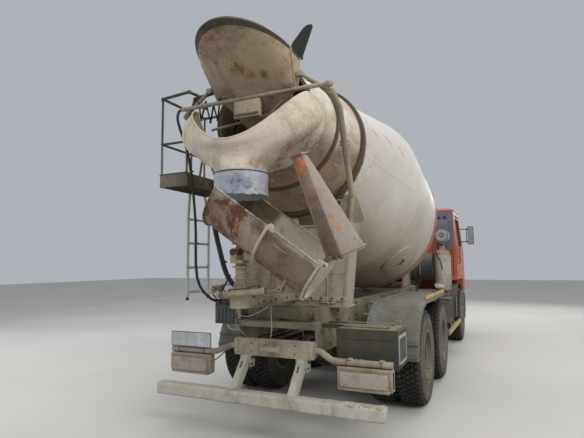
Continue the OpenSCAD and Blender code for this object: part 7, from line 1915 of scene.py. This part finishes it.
# front panel: slotted grille, seam, handles, lower panel with lamps
B_.box((-0.70, 7.722, 1.12), (0.70, 7.7385, 1.60), 0.005, 0)
for k in range(8):
    B_.box((-0.69, 7.735, 1.135 + k * 0.058), (0.69, 7.752, 1.160 + k * 0.058), 0.006, 1)
for x_ in (-0.35, 0.0, 0.35):
    B_.box((x_ - 0.012, 7.735, 1.125), (x_ + 0.012, 7.748, 1.595), 0.004, 1)
B_.tube([V((-1.12, 7.7225, 1.68)), V((1.12, 7.7225, 1.68))], 0.006, 8, 1)
B_.tube([V((-1.12, 7.7385, 1.06)), V((1.12, 7.7385, 1.06))], 0.006, 8, 1)
for sg in (-1, 1):
    B_.tube(spline([(sg * 0.95, 7.69, 1.80), (sg * 0.95, 7.735, 1.805), (sg * 0.93, 7.74, 1.805), (sg * 0.60, 7.74, 1.805), (sg * 0.58, 7.735, 1.805), (sg * 0.58, 7.69, 1.80)], 4), 0.010, 10, 0)
    B_.box((sg * 0.80, 7.733, 1.18), (sg * 1.10, 7.7425, 1.50), 0.006, 1)
    B_.box((sg * 0.83, 7.741, 1.38), (sg * 0.93, 7.7455, 1.46), 0.004, 3)
    # rear quarter: louvres, pressed panels, amber lamp, grab rail beside the door
    for k in range(9):
        z = 1.62 + k * 0.042
        B_.box((sg * 1.159, 6.20, z), (sg * 1.1665, 6.40, z + 0.018), 0.003, 0)
    B_.tube([V((sg * 1.1605, y_, z_)) for y_, z_ in round_rect(6.17, 6.43, 1.58, 2.00, 0.03)], 0.005, 8, 1, closed=True)
    B_.tube([V((sg * 1.1602, 6.47, 1.30)), V((sg * 1.1602, 6.47, 1.95)), V((sg * (sidex(2.7) + 0.0002), 6.47, 2.70))], 0.004, 6, 1)
    B_.box((sg * 1.158, 6.27, 1.40), (sg * 1.174, 6.37, 1.45), 0.006, 2)
    B_.tube(spline([(sg * 1.155, 6.445, 1.60), (sg * 1.19, 6.445, 1.63), (sg * 1.195, 6.445, 1.70), (sg * 1.185, 6.445, 2.2), (sg * 1.14, 6.445, 2.30), (sg * 1.115, 6.445, 2.32)], 5), 0.010, 10, 0)
    # rear wall ribs, cab mountings, drip rail, posts
    for x_ in (0.62, 0.78, 0.94):
        B_.box((sg * x_, 6.094, 1.36), (sg * (x_ + 0.05), 6.106, 1.98), 0.005, 1)
    B_.tube([V((sg * (sidex(2.76) + 0.004), 6.20, 2.765)), V((sg * (sidex(2.76) + 0.004), 6.8, 2.775)), V((sg * (sidex(2.76) + 0.004), 7.40, 2.775))], 0.008, 8, 1)
    B_.tube([V((sg * 1.155, 6.103, 1.30)), V((sg * 1.155, 6.11, 1.95)), V((sg * 1.092, 6.128, 2.68))], 0.010, 8, 1)
    for x_ in (1.035, 1.085):
        B_.box((sg * x_, 6.096, 1.36), (sg * (x_ + 0.014), 6.118, 2.05), 0.003, 0)
    B_.box((sg * 0.30, 6.02, 1.20), (sg * 0.42, 6.14, 1.276), 0.006, 4)
    B_.box((sg * 0.55, 7.22, 1.215), (sg * 0.75, 7.36, 1.276), 0.006, 4)
    # roof: marker lamps and ribs
    B_.box((sg * 0.78, 7.26, 2.835), (sg * 0.92, 7.33, 2.866), 0.010, 2)
    B_.box((sg * 0.35, 6.35, 2.83), (sg * 0.42, 7.10, 2.848), 0.008, 1)
    B_.box((sg * 0.70, 6.35, 2.83), (sg * 0.77, 7.10, 2.845), 0.008, 1)
B_.box((-0.05, 7.26, 2.835), (0.05, 7.33, 2.866), 0.010, 2)
B_.box((-0.26, 6.55, 2.828), (0.26, 6.98, 2.862), 0.012, 1)
B_.box((-1.02, 7.44, 2.735), (1.02, 7.56, 2.752), 0.006, 0, Matrix.Identity(4))
B_.box((-0.62, 6.094, 1.34), (0.62, 6.104, 1.40), 0.004, 1)
B_.box((-0.62, 6.096, 1.92), (0.62, 6.108, 1.99), 0.004, 1)
B_.done("cab_fittings", [MAT["black"], MAT["orange"], MAT["amber"], MAT["lens"], MAT["dark"]], "cab", sharp=32)
for sg, side in ((-1, "left"), (1, "right")):
    B_ = Build()
    wl = [(6.59, 2.01), (7.30, 2.01), (7.25, 2.60), (6.59, 2.60)]
    loop = []
    for i in range(4):
        a_, b_ = V((*wl[i], 0)), V((*wl[(i + 1) % 4], 0))
        for k in range(8):
            q_ = a_.lerp(b_, 0.05 + 0.90 * k / 7)
            loop.append(V((sg * (sidex(q_.y) - 0.002), q_.x, q_.y)))
    B_.tube(loop, 0.012, 10, 0, closed=True)
    B_.box((sg * 1.157, 6.58, 1.73), (sg * 1.165, 6.76, 1.80), 0.006, 1)
    B_.box((sg * 1.163, 6.61, 1.752), (sg * 1.182, 6.74, 1.775), 0.006, 0)
    B_.cyl((sg * 1.160, 6.645, 1.70), (sg * 1.168, 6.645, 1.70), 0.012, 18, 2, 0.002)
    B_.tube([V((sg * 1.1602, 6.54, 1.60)), V((sg * 1.1602, 7.36, 1.60))], 0.006, 8, 1)
    B_.tube([V((sg * 1.1602, y_, z_)) for y_, z_ in round_rect(6.56, 7.34, 1.37, 1.55, 0.03)], 0.004, 6, 1, closed=True)
    B_.tube([V((sg * 1.1602, 6.54, 1.93)), V((sg * 1.1602, 7.37, 1.93))], 0.005, 8, 1)
    for z in (1.50, 1.85):
        B_.cyl((sg * 1.158, 7.372, z - 0.045), (sg * 1.158, 7.372, z + 0.045), 0.0095, 18, 0, 0.002)
    B_.box((sg * (sidex(2.66) - 0.002), 6.56, 2.655), (sg * (sidex(2.66) + 0.014), 7.28, 2.665), 0.003, 0)
    B_.done("door_fittings_" + side, [MAT["black"], MAT["orange"], MAT["chromed"]], side + "_door", sharp=32)
B_ = Build()
for sg in (-1, 1):
    B_.plate(round_rect(1.298, 1.412, 2.07, 2.47, 0.02) if sg > 0 else round_rect(-1.412, -1.298, 2.07, 2.47, 0.02), (0, 7.4705, 0), (1, 0, 0), (0, 0, 1), 0.004, 0.001, 1)
    B_.tube([V((x_ * 1.0, 7.468, z_)) for x_, z_ in (round_rect(1.294, 1.416, 2.064, 2.476, 0.02) if sg > 0 else round_rect(-1.416, -1.294, 2.064, 2.476, 0.02))], 0.0035, 8, 0, closed=True)
    for z in (2.12, 2.42):
        B_.lathe([(-0.012, 0.0122), (-0.012, 0.018), (0.012, 0.018), (0.012, 0.0122)], (sg * 1.27, 7.50, z), (1, 0, 0), 20, 0)
    B_.tube([V((sg * 1.26, 7.50, 2.12)), V((sg * 1.262, 7.50, 2.42))], 0.009, 10, 0)
    B_.box((sg * 1.30, 7.528, 2.10), (sg * 1.41, 7.534, 2.44), 0.004, 0)
B_.done("mirror_fittings", [MAT["black"], MAT["chromed"]], "cab", sharp=32)


def cushion(B, lo, hi, nax, gax, k=8.0, n=26, pull=0.05, gd=0.010, mat=0):
    """A crowned closed cushion: nax is the axis it is crowned along, sewn channels lie across gax, piping round it."""
    lo, hi = V(lo), V(hi)
    c_, h_ = (lo + hi) / 2, (hi - lo) / 2
    oax = 3 - nax - gax

    def mp(q):
        m = sum(abs(v) ** k for v in q) ** (1 / k)
        q = [v / m for v in q]
        ga, oa = q[gax], q[oax]
        q[gax] = ga * (1 - pull * (1 - oa * oa))
        q[oax] = oa * (1 - pull * (1 - ga * ga))
        if q[nax] > 0:
            cut = sum(math.exp(-((ga - g_) / 0.06) ** 2) for g_ in (-0.6, -0.2, 0.2, 0.6)) * (1 - min(1, abs(oa)) ** 6) * q[nax] ** 6
            q[nax] -= cut * gd / h_[nax]
        return V([c_[i] + h_[i] * q[i] for i in range(3)])

    idx, vs, fs = {}, [], []

    def at(key):
        if key not in idx:
            idx[key] = len(vs)
            vs.append(mp([2 * v / n - 1 for v in key]))
        return idx[key]

    for d in range(3):
        a_, b_ = (d + 1) % 3, (d + 2) % 3
        for side in (0, n):
            for i in range(n):
                for j in range(n):
                    quad = []
                    for u, w in ((i, j), (i + 1, j), (i + 1, j + 1), (i, j + 1)):
                        key = [0, 0, 0]
                        key[d], key[a_], key[b_] = side, u, w
                        quad.append(at(tuple(key)))
                    fs.append(tuple(quad if side else quad[::-1]))
    B.add(vs, fs, mat)
    ring = []
    for u, w, du, dw in ((-1, -1, 1, 0), (1, -1, 0, 1), (1, 1, -1, 0), (-1, 1, 0, -1)):
        for i in range(16):
            q = [0, 0, 0]
            q[gax], q[oax], q[nax] = u + du * i / 8, w + dw * i / 8, 0.5
            ring.append(mp(q))
    B.tube(ring, 0.0045, 6, mat, closed=True)


for nm, x0 in (("left", -0.62), ("right", 0.62)):
    B_ = Build()
    cushion(B_, (x0 - 0.24, 6.405, 1.70), (x0 + 0.24, 6.875, 1.83), 2, 0)
    cushion(B_, (x0 - 0.235, 6.375, 1.80), (x0 + 0.235, 6.505, 2.37), 1, 2)
    cushion(B_, (x0 - 0.14, 6.32, 2.385), (x0 + 0.14, 6.42, 2.54), 1, 2, n=16, gd=0.0)
    for px in (-0.06, 0.06):
        B_.cyl((x0 + px, 6.37, 2.33), (x0 + px, 6.37, 2.42), 0.007, 14, 1)
    B_.done("seat_cushions_" + nm, [MAT["trim"], MAT["chromed"]], "cab")
B_ = Build()
B_.box((-0.82, 7.28, 1.84), (-0.42, 7.36, 1.97), 0.02, 1)
for x_ in (-0.72, -0.62, -0.52):
    B_.cyl((x_, 7.281, 1.905), (x_, 7.276, 1.905), 0.038, 26, 2, 0.001)
    B_.lathe([(0, 0.037), (0.004, 0.038), (0.004, 0.043), (0, 0.044)], (x_, 7.279, 1.905), (0, -1, 0), 26, 3)
B_.box((-0.30, 7.285, 1.60), (0.30, 7.31, 1.82), 0.01, 1)
for k in range(6):
    B_.box((-0.25 + k * 0.09, 7.278, 1.74), (-0.20 + k * 0.09, 7.287, 1.775), 0.003, 3)
B_.tube(spline([(-0.05, 6.95, 1.55), (-0.05, 6.96, 1.75), (-0.08, 6.93, 1.90)], 5), 0.011, 10, 1)
B_.cyl((-0.08, 6.93, 1.885), (-0.082, 6.925, 1.94), 0.024, 20, 1, 0.01)
for x_ in (-0.78, -0.64, -0.50):
    B_.box((x_ - 0.03, 7.20, 1.42), (x_ + 0.03, 7.215, 1.50), 0.004, 1)
    B_.bar((x_, 7.21, 1.46), (x_, 7.30, 1.52), 0.012, 0.012, 0.002, 1)
B_.done("cab_inside_fittings", [MAT["trim"], MAT["black"], MAT["plate"], MAT["chromed"]], "cab", sharp=32)

# ---------------------------------------------------------------- floor and light
world = bpy.data.worlds.new("studio")
scene.world = world
world.use_nodes = True
world.node_tree.nodes["Background"].inputs[0].default_value = (*c(214, 221, 228), 1)
world.node_tree.nodes["Background"].inputs[1].default_value = 0.62


def area(name, loc, aim, size, power, col=(1, 1, 1)):
    d = bpy.data.lights.new(name, "AREA")
    d.shape, d.size, d.size_y = "RECTANGLE", size[0], size[1]
    d.energy, d.color = power, col
    o = bpy.data.objects.new(name, d)
    scene.collection.objects.link(o)
    o.location = loc
    o.rotation_mode = "QUATERNION"
    o.rotation_quaternion = (V(aim) - V(loc)).to_track_quat("-Z", "Y")
    return o


area("key", (-7.5, 8.0, 8.5), (0, 1.5, 1.8), (7, 5), 620, (1, 0.985, 0.96))
area("top", (0, 0.5, 11.0), (0, 0, 0), (10, 12), 620, (0.96, 0.98, 1))
area("fill", (9.0, 4.0, 4.5), (0, 0, 1.8), (6, 5), 170, (0.95, 0.97, 1))
area("front", (-3.0, -11.0, 6.0), (0, -2, 1.6), (7, 5), 300)

bm = bmesh.new()
bmesh.ops.create_grid(bm, x_segments=60, y_segments=60, size=40)
floor_me = bpy.data.meshes.new("floor")
bm.to_mesh(floor_me)
bm.free()
floor = bpy.data.objects.new("floor", floor_me)
scene.collection.objects.link(floor)
gf = Graph("floor_plain")
gf.put(gf.b.inputs["Base Color"], gf.mix(gf.step(gf.noise(0.35, 4, 0.5), 0.3, 0.7), c(206, 202, 196), c(198, 194, 188)))
gf.b.inputs["Roughness"].default_value = 0.9
floor.data.materials.append(gf.m)
floor.location = (0, 0, 0)
scene.view_settings.view_transform = "Standard"
